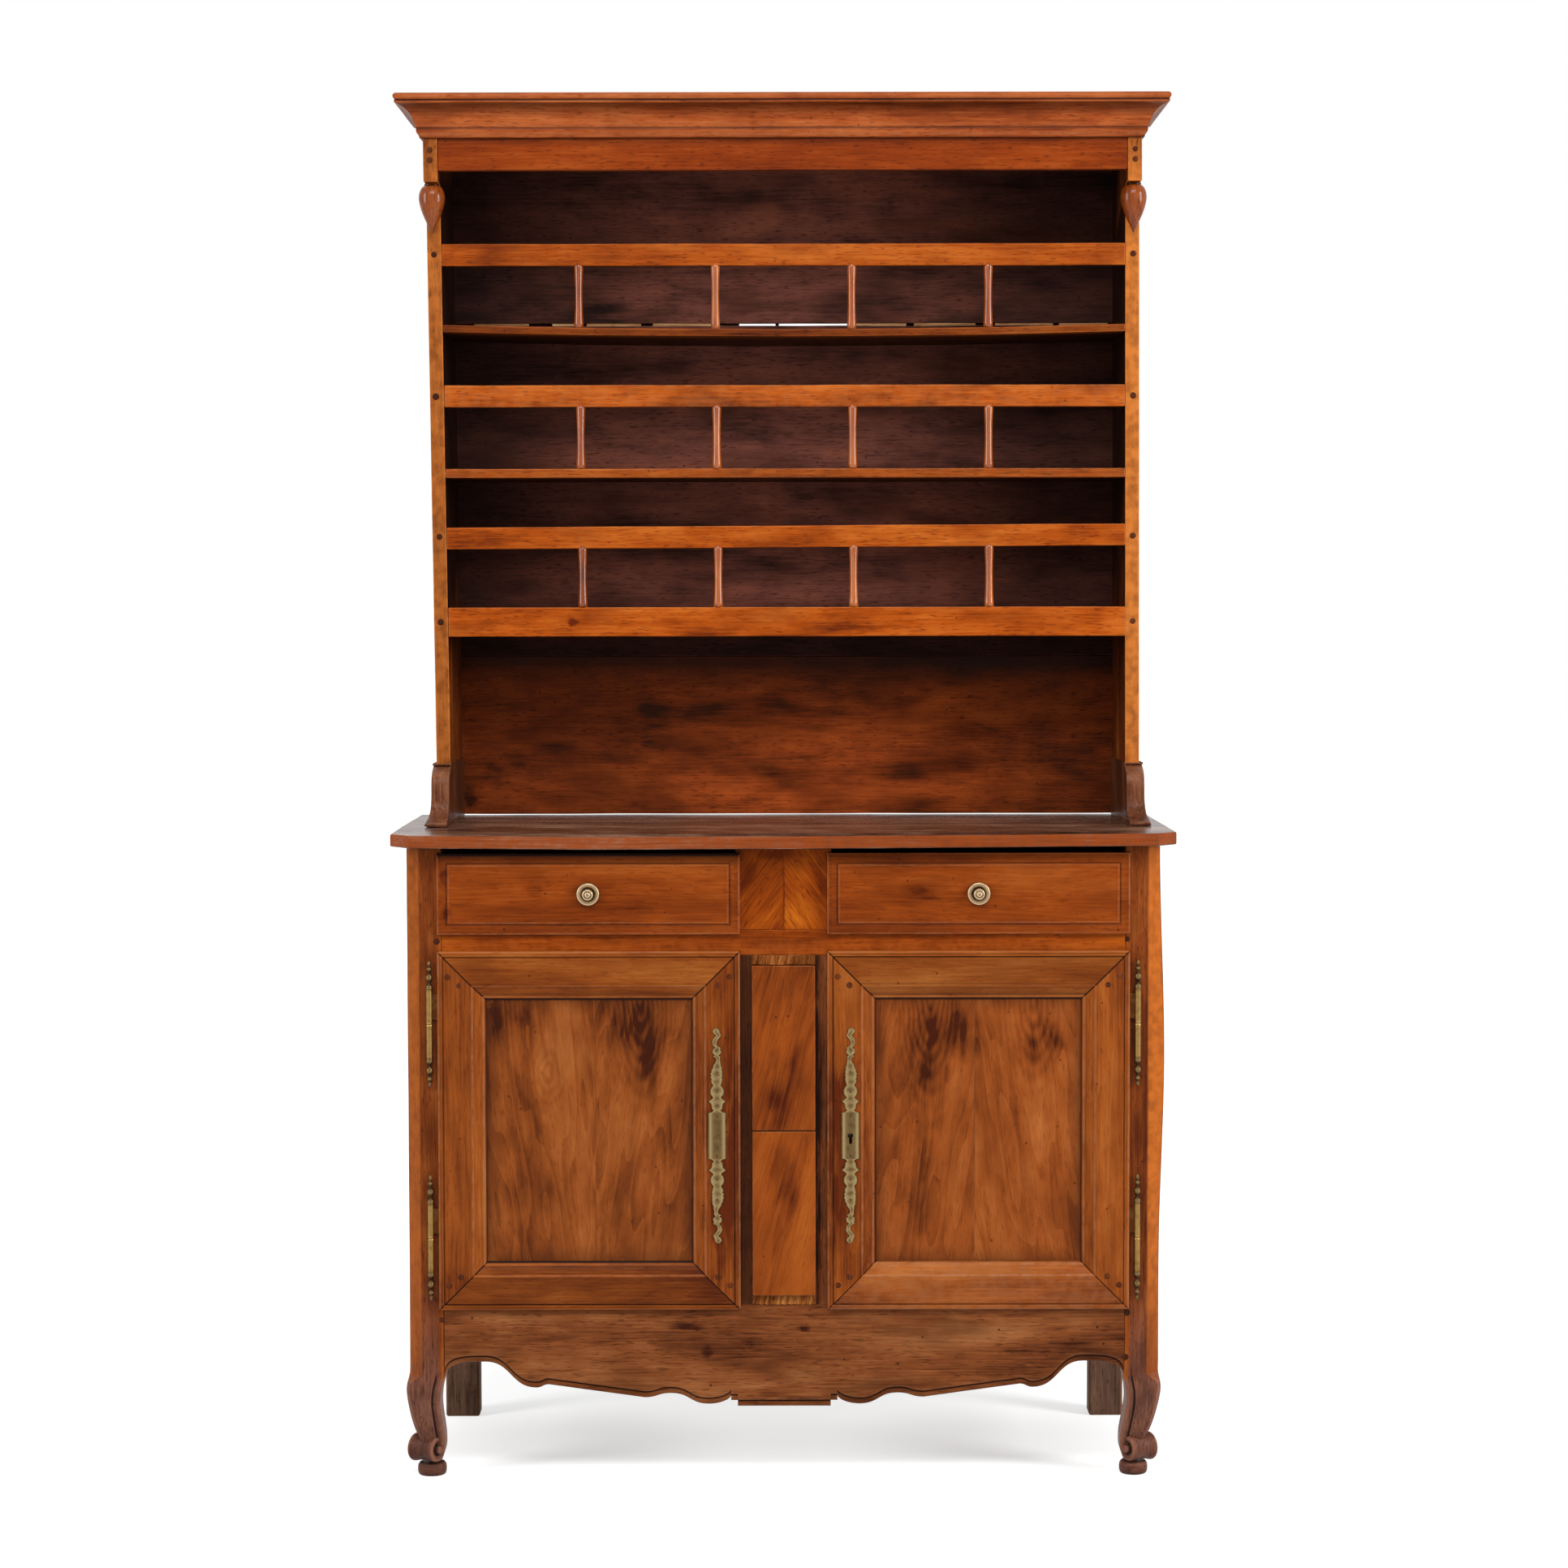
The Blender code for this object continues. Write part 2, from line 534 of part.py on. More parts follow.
def add_cupboard(wood):
    """Fixed frame of the cupboard."""
    add_counter(wood["dark"])
    posts = {}
    for word, side in SIDES.items():
        posts[word] = add_front_post(f"front_post_{word}", side, wood["amber"])
        low = (REAR_POST_INNER, REAR_POST_FRONT, 0)
        high = (REAR_POST_OUTER, REAR_POST_BACK, CARCASS_TOP)
        add_piece(f"rear_post_{word}", mirrored_box(side, low, high), wood["dark"])
        add_side_frame(f"side_panel_{word}", side, wood["mid"])

    end = POST_INNER - SEAT_GAP
    add_piece("mid_rail", box((-end, FACE_Y, MID_RAIL_BOTTOM),
                              (end, FACE_Y + MID_RAIL_THICKNESS, MID_RAIL_TOP)), wood["mid"])
    add_apron(wood["mid"])
    add_piece("drawer_stile", box((-STILE_HALF, FACE_Y, MID_RAIL_TOP + SEAT_GAP),
                                  (STILE_HALF, FACE_Y + DRAWER_STILE_THICKNESS, CARCASS_TOP)), wood["mid"])
    add_door_stile(wood["mid"])

    back_end = REAR_POST_INNER - SEAT_GAP
    add_piece("base_back", box((-back_end, REAR_POST_FRONT, SIDE_BOTTOM),
                               (back_end, REAR_POST_FRONT + BASE_BACK_THICKNESS, CARCASS_TOP)), wood["dark"])
    wide = SIDE_INNER - SEAT_GAP
    floor_front = FACE_Y + APRON_THICKNESS + SEAT_GAP
    notch = POST_REAR + SEAT_GAP
    floor = [(-end, floor_front), (end, floor_front), (end, notch), (wide, notch), (wide, CAVITY_BACK),
             (-wide, CAVITY_BACK), (-wide, notch), (-end, notch)]
    floor_top = APRON_TOP - FLOOR_DROP
    add_piece("cupboard_floor", prism(floor, "Z", floor_top - FLOOR_THICKNESS, floor_top), wood["plain"])
    add_piece("cupboard_shelf", box((-wide, FRONT_EDGE + INNER_SHELF_SETBACK, INNER_SHELF_HEIGHT),
                                    (wide, CAVITY_BACK, INNER_SHELF_HEIGHT + INNER_SHELF_THICKNESS)),
              wood["plain"])

    front = FACE_Y + MID_RAIL_THICKNESS + SEAT_GAP
    bar = CAVITY_BACK - RUNNER_REAR_BAR
    centre = CENTRE_RUNNER_WIDTH / 2
    right_half = [(centre, front), (centre, bar), (end - RUNNER_WIDTH, bar), (end - RUNNER_WIDTH, front),
                  (end, front), (end, CAVITY_BACK)]
    comb = right_half + [(-x, y) for x, y in reversed(right_half)]
    add_piece("drawer_runners", prism(comb, "Z", MID_RAIL_TOP - RUNNER_THICKNESS, MID_RAIL_TOP),
              wood["plain"])
    return posts


def add_door_stile(finish):
    """Stile between the doors with its two applied plates and the strike mortise of the lock."""
    low, high = APRON_TOP + SEAT_GAP, MID_RAIL_BOTTOM - SEAT_GAP
    stile = add_piece("door_stile", box((-STILE_HALF, FACE_Y, low),
                                        (STILE_HALF, FACE_Y + DOOR_STILE_THICKNESS, high)), finish)
    middle = (low + high) / 2
    half = PLATE_WIDTH / 2
    lower_plate = (low + PLATE_MARGIN, middle - PLATE_JOINT / 2)
    upper_plate = (middle + PLATE_JOINT / 2, high - PLATE_MARGIN)
    for bottom, top in (lower_plate, upper_plate):
        plate = box((-half, FACE_Y - PLATE_THICKNESS, bottom), (half, FACE_Y + PLATE_JOINT, top))
        combine(stile, plate, "UNION")
    reach = BOLT_HEIGHT / 2 + STRIKE_PLAY
    back = BOLT_FRONT + BOLT_THICKNESS + STRIKE_PLAY
    combine(stile, box((STILE_HALF - STRIKE_DEPTH, BOLT_FRONT - STRIKE_PLAY, LOCK_Z - reach),
                       (STILE_HALF + STRIKE_DEPTH, back, LOCK_Z + reach)), "DIFFERENCE")


def drawer_knob():
    """Profile of the brass knob: rosette, ring and button, from its top to its back."""
    radius, tall = KNOB_RADIUS, KNOB_PROJECTION
    shares = ((0, 1), (0.28, 0.97), (0.42, 0.84), (0.42, 0.70), (0.26, 0.52), (0.30, 0.34), (0.62, 0.30),
              (0.68, 0.20), (0.86, 0.20), (1, 0.12), (1, 0), (0, 0))
    return [(radius * across, tall * up) for across, up in shares]


def add_drawer(word, side, finishes):
    """Drawer: lipped front, open box and knob."""
    axis = joint_axis(f"drawer_{word}_axis", (side * (LIP_INNER + LIP_OUTER) / 2, FACE_Y, MID_RAIL_TOP))
    lip_low, lip_high = MID_RAIL_TOP - LIP_OVERLAP, CARCASS_TOP - DRAWER_TOP_GAP
    near, far = sorted((side * LIP_INNER, side * LIP_OUTER))
    body_near = near + LIP_OVERLAP + DRAWER_PLAY
    body_far = far - LIP_OVERLAP - DRAWER_PLAY
    body = ((body_near, MID_RAIL_TOP + SEAT_GAP), (body_far, lip_high - DRAWER_BODY_DROP))
    lip = ((near, lip_low), (far, lip_high))
    field = ((near + DRAWER_BORDER, lip_low + DRAWER_BORDER),
             (far - DRAWER_BORDER, lip_high - DRAWER_BORDER))
    front_back = FACE_Y + DRAWER_FRONT_DEPTH
    field_y = FACE_Y - DRAWER_PROUD
    steps = ((*body, front_back), (*body, FACE_Y - SEAT_GAP), (*lip, FACE_Y - SEAT_GAP),
             (*lip, FACE_Y - LIP_THICKNESS), (*field, field_y))
    add_piece(f"drawer_{word}_front", stepped_front(steps), finishes["mid"], axis)

    start = front_back + SEAT_GAP
    end = CAVITY_BACK - DRAWER_BACK_GAP
    bottom = MID_RAIL_TOP + SEAT_GAP
    top = lip_high - DRAWER_BODY_DROP - DRAWER_SIDE_DROP
    drawer = add_piece(f"drawer_{word}_box", box((body_near, start, bottom), (body_far, end, top)),
                       finishes["plain"], axis)
    combine(drawer, box((body_near + DRAWER_WALL, start - DRAWER_WALL, bottom + DRAWER_BOTTOM),
                        (body_far - DRAWER_WALL, end - DRAWER_WALL, top + DRAWER_WALL)), "DIFFERENCE")
    centre = ((near + far) / 2, field_y - SEAT_GAP, (lip_low + lip_high) / 2)
    add_piece(f"drawer_{word}_knob", turned(drawer_knob(), KNOB_SEGMENTS, centre, FORWARD),
              finishes["brass"], axis, smooth=True)


def door_member_profile():
    """Section of a door stile or rail: distance from the lip's edge, and Y."""
    body = LIP_OVERLAP + DOOR_PLAY
    inner = DOOR_MEMBER_WIDTH
    moulding = inner - INNER_MOULDING
    depth = INNER_MOULDING_DEPTH
    lip_front = FACE_Y - LIP_THICKNESS
    return [
        (body, DOOR_BACK), (body, FACE_Y - SEAT_GAP), (0, FACE_Y - SEAT_GAP), (0, lip_front),
        (LIP_BEAD / 3, lip_front - LIP_BEAD / 4), (LIP_BEAD, lip_front - LIP_BEAD / 4),
        (LIP_BEAD, DOOR_FIELD), (moulding, DOOR_FIELD), (moulding, DOOR_FIELD + depth / 4),
        (moulding + INNER_MOULDING / 3, DOOR_FIELD + depth / 3),
        (inner - INNER_MOULDING / 3, DOOR_FIELD + 0.8 * depth),
        (inner, DOOR_FIELD + depth), (inner, GROOVE_FRONT), (inner - PANEL_GROOVE, GROOVE_FRONT),
        (inner - PANEL_GROOVE, GROOVE_BACK), (inner, GROOVE_BACK), (inner, DOOR_BACK),
    ]


def add_door(word, side, finishes, posts):
    """Door: mitred frame, panel in its groove, hinges and escutcheon."""
    axis = joint_axis(f"door_{word}_axis", (side * HINGE_X, HINGE_Y, DOOR_BOTTOM))
    mitre = SEAT_GAP / math.sqrt(2)
    profile = door_member_profile()
    along_x = (LIP_INNER, LIP_OUTER)
    along_z = (DOOR_BOTTOM, DOOR_TOP)
    members = {
        "hinge_stile": (along_z, lambda u, y, v: (side * (LIP_OUTER - u), y, v)),
        "lock_stile": (along_z, lambda u, y, v: (side * (LIP_INNER + u), y, v)),
        "top_rail": (along_x, lambda u, y, v: (side * v, y, DOOR_TOP - u)),
        "bottom_rail": (along_x, lambda u, y, v: (side * v, y, DOOR_BOTTOM + u)),
    }
    made = {}
    for member, ((start, end), locate) in members.items():
        rings = [[locate(u, y, start + u + mitre) for u, y in profile],
                 [locate(u, y, end - u - mitre) for u, y in profile]]
        made[member] = add_piece(f"door_{word}_{member}", skin(rings), finishes["mid"], axis)

    inset = DOOR_MEMBER_WIDTH - PANEL_GROOVE + PANEL_EXPANSION
    panel = mirrored_box(side, (LIP_INNER + inset, GROOVE_FRONT + SEAT_GAP, DOOR_BOTTOM + inset),
                         (LIP_OUTER - inset, GROOVE_BACK - SEAT_GAP, DOOR_TOP - inset))
    add_piece(f"door_{word}_panel", panel, finishes["mid"], axis)
    for level, height in HINGE_HEIGHTS.items():
        add_hinge(f"{word}_{level}", side, height, finishes["brass"], axis, made["hinge_stile"], posts[word])

    plate = add_piece(f"escutcheon_{word}", escutcheon(side * LOCK_X), finishes["brass"], axis)
    if word == "right":
        combine(plate, keyhole(), "DIFFERENCE")
        combine(made["lock_stile"], keyhole(), "DIFFERENCE")
        add_lock(finishes["steel"], axis)


def finial(base):
    """Turned finial from its tip down to the barrel, standing on a height."""
    radius, tall = HINGE_RADIUS, FINIAL_HEIGHT
    shares = ((0, 1), (0.45, 0.95), (0.55, 0.86), (0.35, 0.79), (0.85, 0.71), (0.35, 0.60),
              (1.05, 0.47), (1.05, 0.38), (0.5, 0.28), (1.05, 0.16), (1.05, 0.06))
    return [(radius * across, base + tall * up) for across, up in shares]


def add_hinge(place_name, side, height, finish, axis, stile, post):
    """Pin hinge: the door knuckle over the post knuckle, whose pin stands in the bore above."""
    centre = (side * HINGE_X, HINGE_Y, height)
    bore = HINGE_PIN_RADIUS + HINGE_PIN_PLAY
    bore_top = HINGE_PIN_LENGTH + HINGE_PIN_PLAY
    barrel = HINGE_HALF_BARREL
    upper = finial(barrel)
    upper += [(HINGE_RADIUS, barrel), (HINGE_RADIUS, SEAT_GAP), (bore, SEAT_GAP), (bore, bore_top),
              (0, bore_top)]
    lower = [(0, HINGE_PIN_LENGTH), (HINGE_PIN_RADIUS, HINGE_PIN_LENGTH), (HINGE_PIN_RADIUS, 0)]
    lower += [(HINGE_RADIUS, 0), (HINGE_RADIUS, -barrel)] + [(r, -z) for r, z in reversed(finial(barrel))]
    door_half = add_piece(f"hinge_{place_name}_door_knuckle", turned(upper, HINGE_SEGMENTS, centre),
                          finish, axis, smooth=True)
    post_half = add_piece(f"hinge_{place_name}_post_knuckle", turned(lower, HINGE_SEGMENTS, centre),
                          finish, smooth=True)

    half = HINGE_LEAF_THICKNESS / 2
    wall = (HINGE_RADIUS + bore) / 2
    near, far = HINGE_LEAF_MARGIN, barrel - HINGE_LEAF_MARGIN
    for grow, action, door_target, post_target in ((0, "UNION", door_half, post_half),
                                                   (SEAT_GAP, "DIFFERENCE", stile, post)):
        door_leaf = mirrored_box(
            side, (LIP_OUTER - HINGE_LEAF_DEPTH - grow, HINGE_Y - half - grow, height + near - grow),
            (HINGE_X - wall, HINGE_Y + half + grow, height + far + grow))
        post_leaf = mirrored_box(
            side, (HINGE_X - half - grow, HINGE_Y + wall, height - far - grow),
            (HINGE_X + half + grow, FACE_Y + HINGE_LEAF_DEPTH + grow, height - near + grow))
        combine(door_target, door_leaf, action)
        combine(post_target, post_leaf, action)


def escutcheon_half():
    """Upper right quarter of the escutcheon: half width and height over its centre."""
    wide, tall, rise = ESCUTCHEON_PLATE_WIDTH / 2, ESCUTCHEON_PLATE_HEIGHT / 2, ESCUTCHEON_ORNAMENT
    points = [(wide, tall - 0.20 * wide), (0.72 * wide, tall - 0.15 * wide), (0.62 * wide, tall)]
    neck = ((0.40, 0.03), (0.40, 0.07), (0.92, 0.08), (0.92, 0.105), (0.40, 0.12))
    points += [(wide * across, tall + rise * up) for across, up in neck]

    def swell(centre, half_height, half_width):
        for step in range(1, CURVE_STEPS):
            angle = math.pi * (step / CURVE_STEPS - 0.5)
            yield half_width * math.cos(angle), tall + rise * (centre + half_height * math.sin(angle))

    points += list(swell(0.21, 0.085, 0.76 * wide))
    points += [(0.22 * wide, tall + 0.30 * rise)]
    points += list(swell(0.46, 0.16, 0.66 * wide))
    points += [(0.2 * wide, tall + 0.63 * rise)]
    points += list(swell(0.67, 0.04, 0.42 * wide))
    points += [(0.2 * wide, tall + 0.72 * rise), (0.2 * wide, tall + 0.90 * rise)]
    points += list(swell(0.955, 0.045, 0.4 * wide))
    return points


def escutcheon(centre_x):
    """Flat pierced-brass plate, the same up and down and left and right."""
    right_up = escutcheon_half()
    right = [(x, -z) for x, z in reversed(right_up)] + right_up
    outline = right + [(-x, z) for x, z in reversed(right)]
    outline = [(centre_x + x, LOCK_Z + z) for x, z in outline]
    back = DOOR_FIELD - SEAT_GAP
    return prism(outline, "Y", back - ESCUTCHEON_THICKNESS, back)


def keyhole():
    """Tool for the keyhole: a round head over a slot, from the front into the bolt's channel."""
    start = math.asin(KEYHOLE_SLOT / 2 / KEYHOLE_HEAD)
    steps = 2 * CURVE_STEPS
    arc = []
    for step in range(steps + 1):
        angle = -math.pi / 2 + start + (math.tau - 2 * start) * step / steps
        arc.append((LOCK_X + KEYHOLE_HEAD * math.cos(angle), LOCK_Z + KEYHOLE_HEAD * math.sin(angle)))
    foot = LOCK_Z - KEYHOLE_DROP
    outline = arc + [(LOCK_X - KEYHOLE_SLOT / 2, foot), (LOCK_X + KEYHOLE_SLOT / 2, foot)]
    return prism(outline, "Y", DOOR_FIELD - LIP_BEAD, BOLT_FRONT + BOLT_PLAY)


def add_lock(finish, axis):
    """Lock case behind the right lock stile, with its bolt drawn back in the channel."""
    low = (LOCK_CASE_X, LOCK_FRONT, LOCK_Z - LOCK_HEIGHT / 2)
    high = (LOCK_CASE_X + LOCK_WIDTH, LOCK_FRONT + LOCK_DEPTH, LOCK_Z + LOCK_HEIGHT / 2)
    case = add_piece("lock_case", box(low, high), finish, axis)
    half = BOLT_HEIGHT / 2
    back = BOLT_FRONT + BOLT_THICKNESS
    combine(case, box((LOCK_CASE_X - BOLT_WALL, BOLT_FRONT - BOLT_PLAY, LOCK_Z - half - BOLT_PLAY),
                      (LOCK_CASE_X + BOLT_LENGTH + BOLT_WALL, back + BOLT_PLAY, LOCK_Z + half + BOLT_PLAY)),
            "DIFFERENCE")
    combine(case, keyhole(), "DIFFERENCE")
    bolt_axis = joint_axis("lock_bolt_axis", (LOCK_CASE_X, (BOLT_FRONT + back) / 2, LOCK_Z))
    add_piece("lock_bolt", box((LOCK_CASE_X, BOLT_FRONT, LOCK_Z - half),
                               (LOCK_CASE_X + BOLT_LENGTH, back, LOCK_Z + half)), finish, bolt_axis)


def side_face(side, height):
    """X of a rack side's outer face; both sides lean the same way towards their feet."""
    lean = LEFT_SIDE_LEAN if side < 0 else RIGHT_SIDE_LEAN
    return side * (RACK_HALF - lean * (RACK_TOP - height) / (RACK_TOP - COUNTER_TOP))


def between_sides(low, high):
    """Left and right ends of a board that fits between the rack sides from one height to another."""
    inset = RACK_SIDE_THICKNESS + SEAT_GAP
    left = max(side_face(-1, height) for height in (low, high)) + inset
    right = min(side_face(1, height) for height in (low, high)) - inset
    return left, right


def add_rack_side(word, side, wood):
    """Rack side with its head, its console foot and its pendant."""
    seat = FOOT_TOP + SEAT_GAP
    outline = [(RACK_FRONT, seat), (RACK_SIDE_REAR, seat), (RACK_SIDE_REAR, RACK_TOP),
               (HEAD_FRONT, RACK_TOP), (HEAD_FRONT, HEAD_BOTTOM), (RACK_FRONT, HEAD_BOTTOM)]
    faces = [[(side_face(side, z) - side * inset, y, z) for y, z in outline]
             for inset in (0, RACK_SIDE_THICKNESS)]
    add_piece(f"rack_side_{word}", skin(faces), wood["mid"])

    toe = RACK_FRONT - FOOT_REACH
    waist = RACK_FRONT - FOOT_WAIST
    ledge = RACK_FRONT - FOOT_LEDGE
    bottom = COUNTER_TOP + SEAT_GAP
    profile = [(RACK_SIDE_REAR, bottom), (RACK_SIDE_REAR, FOOT_TOP), (ledge, FOOT_TOP)]
    toe_top = bottom + FOOT_TOE
    instep = (waist, bottom + FOOT_HEIGHT / 3)
    profile += curve(profile[-1], (waist, FOOT_TOP), (waist, (bottom + FOOT_TOP) / 2), instep)
    profile += curve(instep, (waist, toe_top + FOOT_TOE), (waist - FOOT_LEDGE, toe_top), (toe, toe_top))
    profile += [(toe, bottom)]
    outer = side_face(side, FOOT_TOP) + side * FOOT_PROUD
    add_piece(f"rack_foot_{word}", prism(profile, "X", outer, outer - side * FOOT_THICKNESS), wood["dark"])

    centre = (side_face(side, HEAD_BOTTOM) - side * RACK_SIDE_THICKNESS / 2,
              RACK_FRONT - PENDANT_RADIUS - 2 * SEAT_GAP, HEAD_BOTTOM - SEAT_GAP)
    shares = ((0, 0), (0.55, 0), (0.60, -0.05), (0.82, -0.11), (0.95, -0.19), (1, -0.28), (0.97, -0.38),
              (0.85, -0.51), (0.67, -0.64), (0.39, -0.80), (0.20, -0.90), (0.07, -0.98), (0, -1))
    pendant = [(PENDANT_RADIUS * across, PENDANT_HEIGHT * down) for across, down in shares]
    add_piece(f"pendant_{word}", turned(pendant, PENDANT_SEGMENTS, centre), wood["mid"], smooth=True)


def add_cornice(wood):
    """Frieze rail, moulding round three sides, and the cap board."""
    left, right = between_sides(FRIEZE_BOTTOM, RACK_TOP)
    frieze_front = HEAD_FRONT + FRIEZE_RECESS
    add_piece("frieze_rail", box((left, frieze_front, FRIEZE_BOTTOM),
                                 (right, frieze_front + FRIEZE_THICKNESS, RACK_TOP)), wood["light"])

    reach, tall = CORNICE_PROJECTION, CORNICE_HEIGHT
    shares = [(0, 0), (0.09, 0), (0.20, 0.08), (0.20, 0.21), (0.29, 0.28)]
    shares += curve(shares[-1], (0.38, 0.55), (0.60, 0.83), (0.94, 0.94))
    shares += [(1, 0.94), (1, 1), (0, 1)]
    profile = [(reach * out, CORNICE_BOTTOM + tall * up) for out, up in shares]
    inner_x = side_face(1, CORNICE_BOTTOM) + SEAT_GAP
    inner_y = HEAD_FRONT - SEAT_GAP
    path = ((-inner_x, RACK_SIDE_REAR, -1, 0), (-inner_x, inner_y, -1, -1),
            (inner_x, inner_y, 1, -1), (inner_x, RACK_SIDE_REAR, 1, 0))
    rings = [[(x + out_x * out, y + out_y * out, z) for out, z in profile] for x, y, out_x, out_y in path]
    add_piece("cornice_moulding", skin(rings), wood["mid"])

    half = RACK_HALF + CAP_PROJECTION
    front = HEAD_FRONT - CAP_PROJECTION
    bottom = RACK_TOP + SEAT_GAP
    levels = ((bottom, CAP_NOSING), (bottom + CAP_NOSING, 0), (bottom + CAP_THICKNESS - CAP_NOSING, 0),
              (bottom + CAP_THICKNESS, CAP_NOSING))
    rings = []
    for height, inset in levels:
        ring = rectangle((inset - half, front + inset), (half - inset, RACK_REAR))
        rings.append([place(point, "Z", height) for point in ring])
    add_piece("cornice_cap", skin(rings), wood["mid"])


def shelf_sag(x, ends):
    """Drop of the sagging shelf at X, between its two ends."""
    share = (x - ends[0]) / (ends[1] - ends[0])
    return UPPER_SHELF_SAG * 4 * share * (1 - share)


def add_shelves(wood):
    """The three shelves; the upper one sags and the lower one has a deep front rail."""
    back = RACK_SIDE_REAR
    left, right = between_sides(LOWER_RAIL_BOTTOM, LOWER_SHELF_TOP)
    under = LOWER_SHELF_TOP - LOWER_SHELF_THICKNESS
    rail_back = RACK_FRONT + LOWER_RAIL_THICKNESS
    section = [(RACK_FRONT, LOWER_RAIL_BOTTOM), (rail_back, LOWER_RAIL_BOTTOM), (rail_back, under),
               (back, under), (back, LOWER_SHELF_TOP), (RACK_FRONT, LOWER_SHELF_TOP)]
    add_piece("shelf_lower", prism(section, "X", left, right), wood["light"])

    left, right = between_sides(MIDDLE_SHELF_BOTTOM, MIDDLE_SHELF_TOP)
    add_piece("shelf_middle", box((left, RACK_FRONT, MIDDLE_SHELF_BOTTOM), (right, back, MIDDLE_SHELF_TOP)),
              wood["light"])

    ends = between_sides(UPPER_SHELF_BOTTOM - UPPER_SHELF_SAG, UPPER_SHELF_TOP)
    rings = []
    for step in range(SAG_STEPS + 1):
        x = ends[0] + (ends[1] - ends[0]) * step / SAG_STEPS
        drop = shelf_sag(x, ends)
        ring = rectangle((RACK_FRONT, UPPER_SHELF_BOTTOM - drop), (back, UPPER_SHELF_TOP - drop))
        rings.append([place(point, "X", x) for point in ring])
    add_piece("shelf_upper", skin(rings), wood["light"])


def spindle(x, low, high):
    """Waisted spindle from the shelf up into the plate rail."""
    points = [(0, low)]
    for step in range(CURVE_STEPS + 1):
        share = step / CURVE_STEPS
        swell = (2 * share - 1) ** 2
        radius = SPINDLE_WAIST_RADIUS + (SPINDLE_END_RADIUS - SPINDLE_WAIST_RADIUS) * swell
        points.append((radius, low + (high - low) * share))
    points.append((0, high))
    return turned(points[::-1], SPINDLE_SEGMENTS, (x, RACK_FRONT + PLATE_RAIL_THICKNESS / 2, 0))


def add_plate_rail(name, bottom, tilt, shelf_top, finish):
    """Plate rail between the sides with its row of spindles, which stand on the shelf below."""
    ends = between_sides(bottom - tilt, bottom + PLATE_RAIL_HEIGHT + tilt)
    rings = []
    for x, lift in ((ends[0], -tilt / 2), (ends[1], tilt / 2)):
        low = (RACK_FRONT, bottom + lift)
        ring = rectangle(low, (low[0] + PLATE_RAIL_THICKNESS, low[1] + PLATE_RAIL_HEIGHT))
        rings.append([place(point, "X", x) for point in ring])
    rail = add_piece(name, skin(rings), finish)
    for number in range(1, SPINDLE_COUNT + 1):
        share = number / (SPINDLE_COUNT + 1)
        x = ends[0] + (ends[1] - ends[0]) * share
        top = bottom + tilt * (share - 0.5) + SPINDLE_TENON
        combine(rail, spindle(x, shelf_top(x) + SEAT_GAP, top), "UNION")


def add_rack(wood):
    """The whole plate rack."""
    for word, side in SIDES.items():
        add_rack_side(word, side, wood)
    add_cornice(wood)
    add_shelves(wood)
    upper_ends = between_sides(UPPER_SHELF_BOTTOM - UPPER_SHELF_SAG, UPPER_SHELF_TOP)
    finish = wood["light"]
    add_plate_rail("plate_rail_lower", LOWER_PLATE_RAIL, LOWER_RAIL_TILT, lambda x: LOWER_SHELF_TOP, finish)
    add_plate_rail("plate_rail_middle", MIDDLE_PLATE_RAIL, 0, lambda x: MIDDLE_SHELF_TOP, finish)
    add_plate_rail("plate_rail_upper", UPPER_PLATE_RAIL, 0,
                   lambda x: UPPER_SHELF_TOP - shelf_sag(x, upper_ends), finish)

    half = RACK_HALF - RACK_BACK_MARGIN
    front = RACK_REAR - RACK_BACK_THICKNESS
    add_piece("rack_back_upper", box((-half, front, BACK_JOINT + SEAT_GAP), (half, RACK_REAR, RACK_TOP)),
              wood["dark"])
    add_piece("rack_back_lower", box((-half, front, COUNTER_TOP + BACK_GAP), (half, RACK_REAR, BACK_JOINT)),
              wood["dark"])


def main():
    """Build every piece."""
    for old in list(bpy.data.objects):
        bpy.data.objects.remove(old)
    finishes = {
        "mid": make_finish("cherry_mid", "7A3F1C", 0.38),
        "light": make_finish("cherry_light", "9A5526", 0.40),
        "amber": make_finish("cherry_amber", "8E4418", 0.36),
        "dark": make_finish("cherry_dark", "4A2616", 0.34),
        "plain": make_finish("inside_wood", "8A6A48", 0.70),
        "brass": make_finish("aged_brass", "8C7A48", 0.42, 1.0),
        "steel": make_finish("dark_steel", "4A4642", 0.50, 1.0),
    }
    posts = add_cupboard(finishes)
    for word, side in SIDES.items():
        add_drawer(word, side, finishes)
        add_door(word, side, finishes, posts)
    add_rack(finishes)


main()
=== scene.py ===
"""Finished looks of a two-part provincial buffet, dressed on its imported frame.

Every piece stands where a plain solid of the frame stands. Metres, +Z up, the front faces -Y.
"""
import logging
import math
from collections.abc import Callable, Sequence
from dataclasses import dataclass, field
from enum import Enum
from functools import partial

import bmesh
import bpy
from mathutils import Matrix, Vector, noise


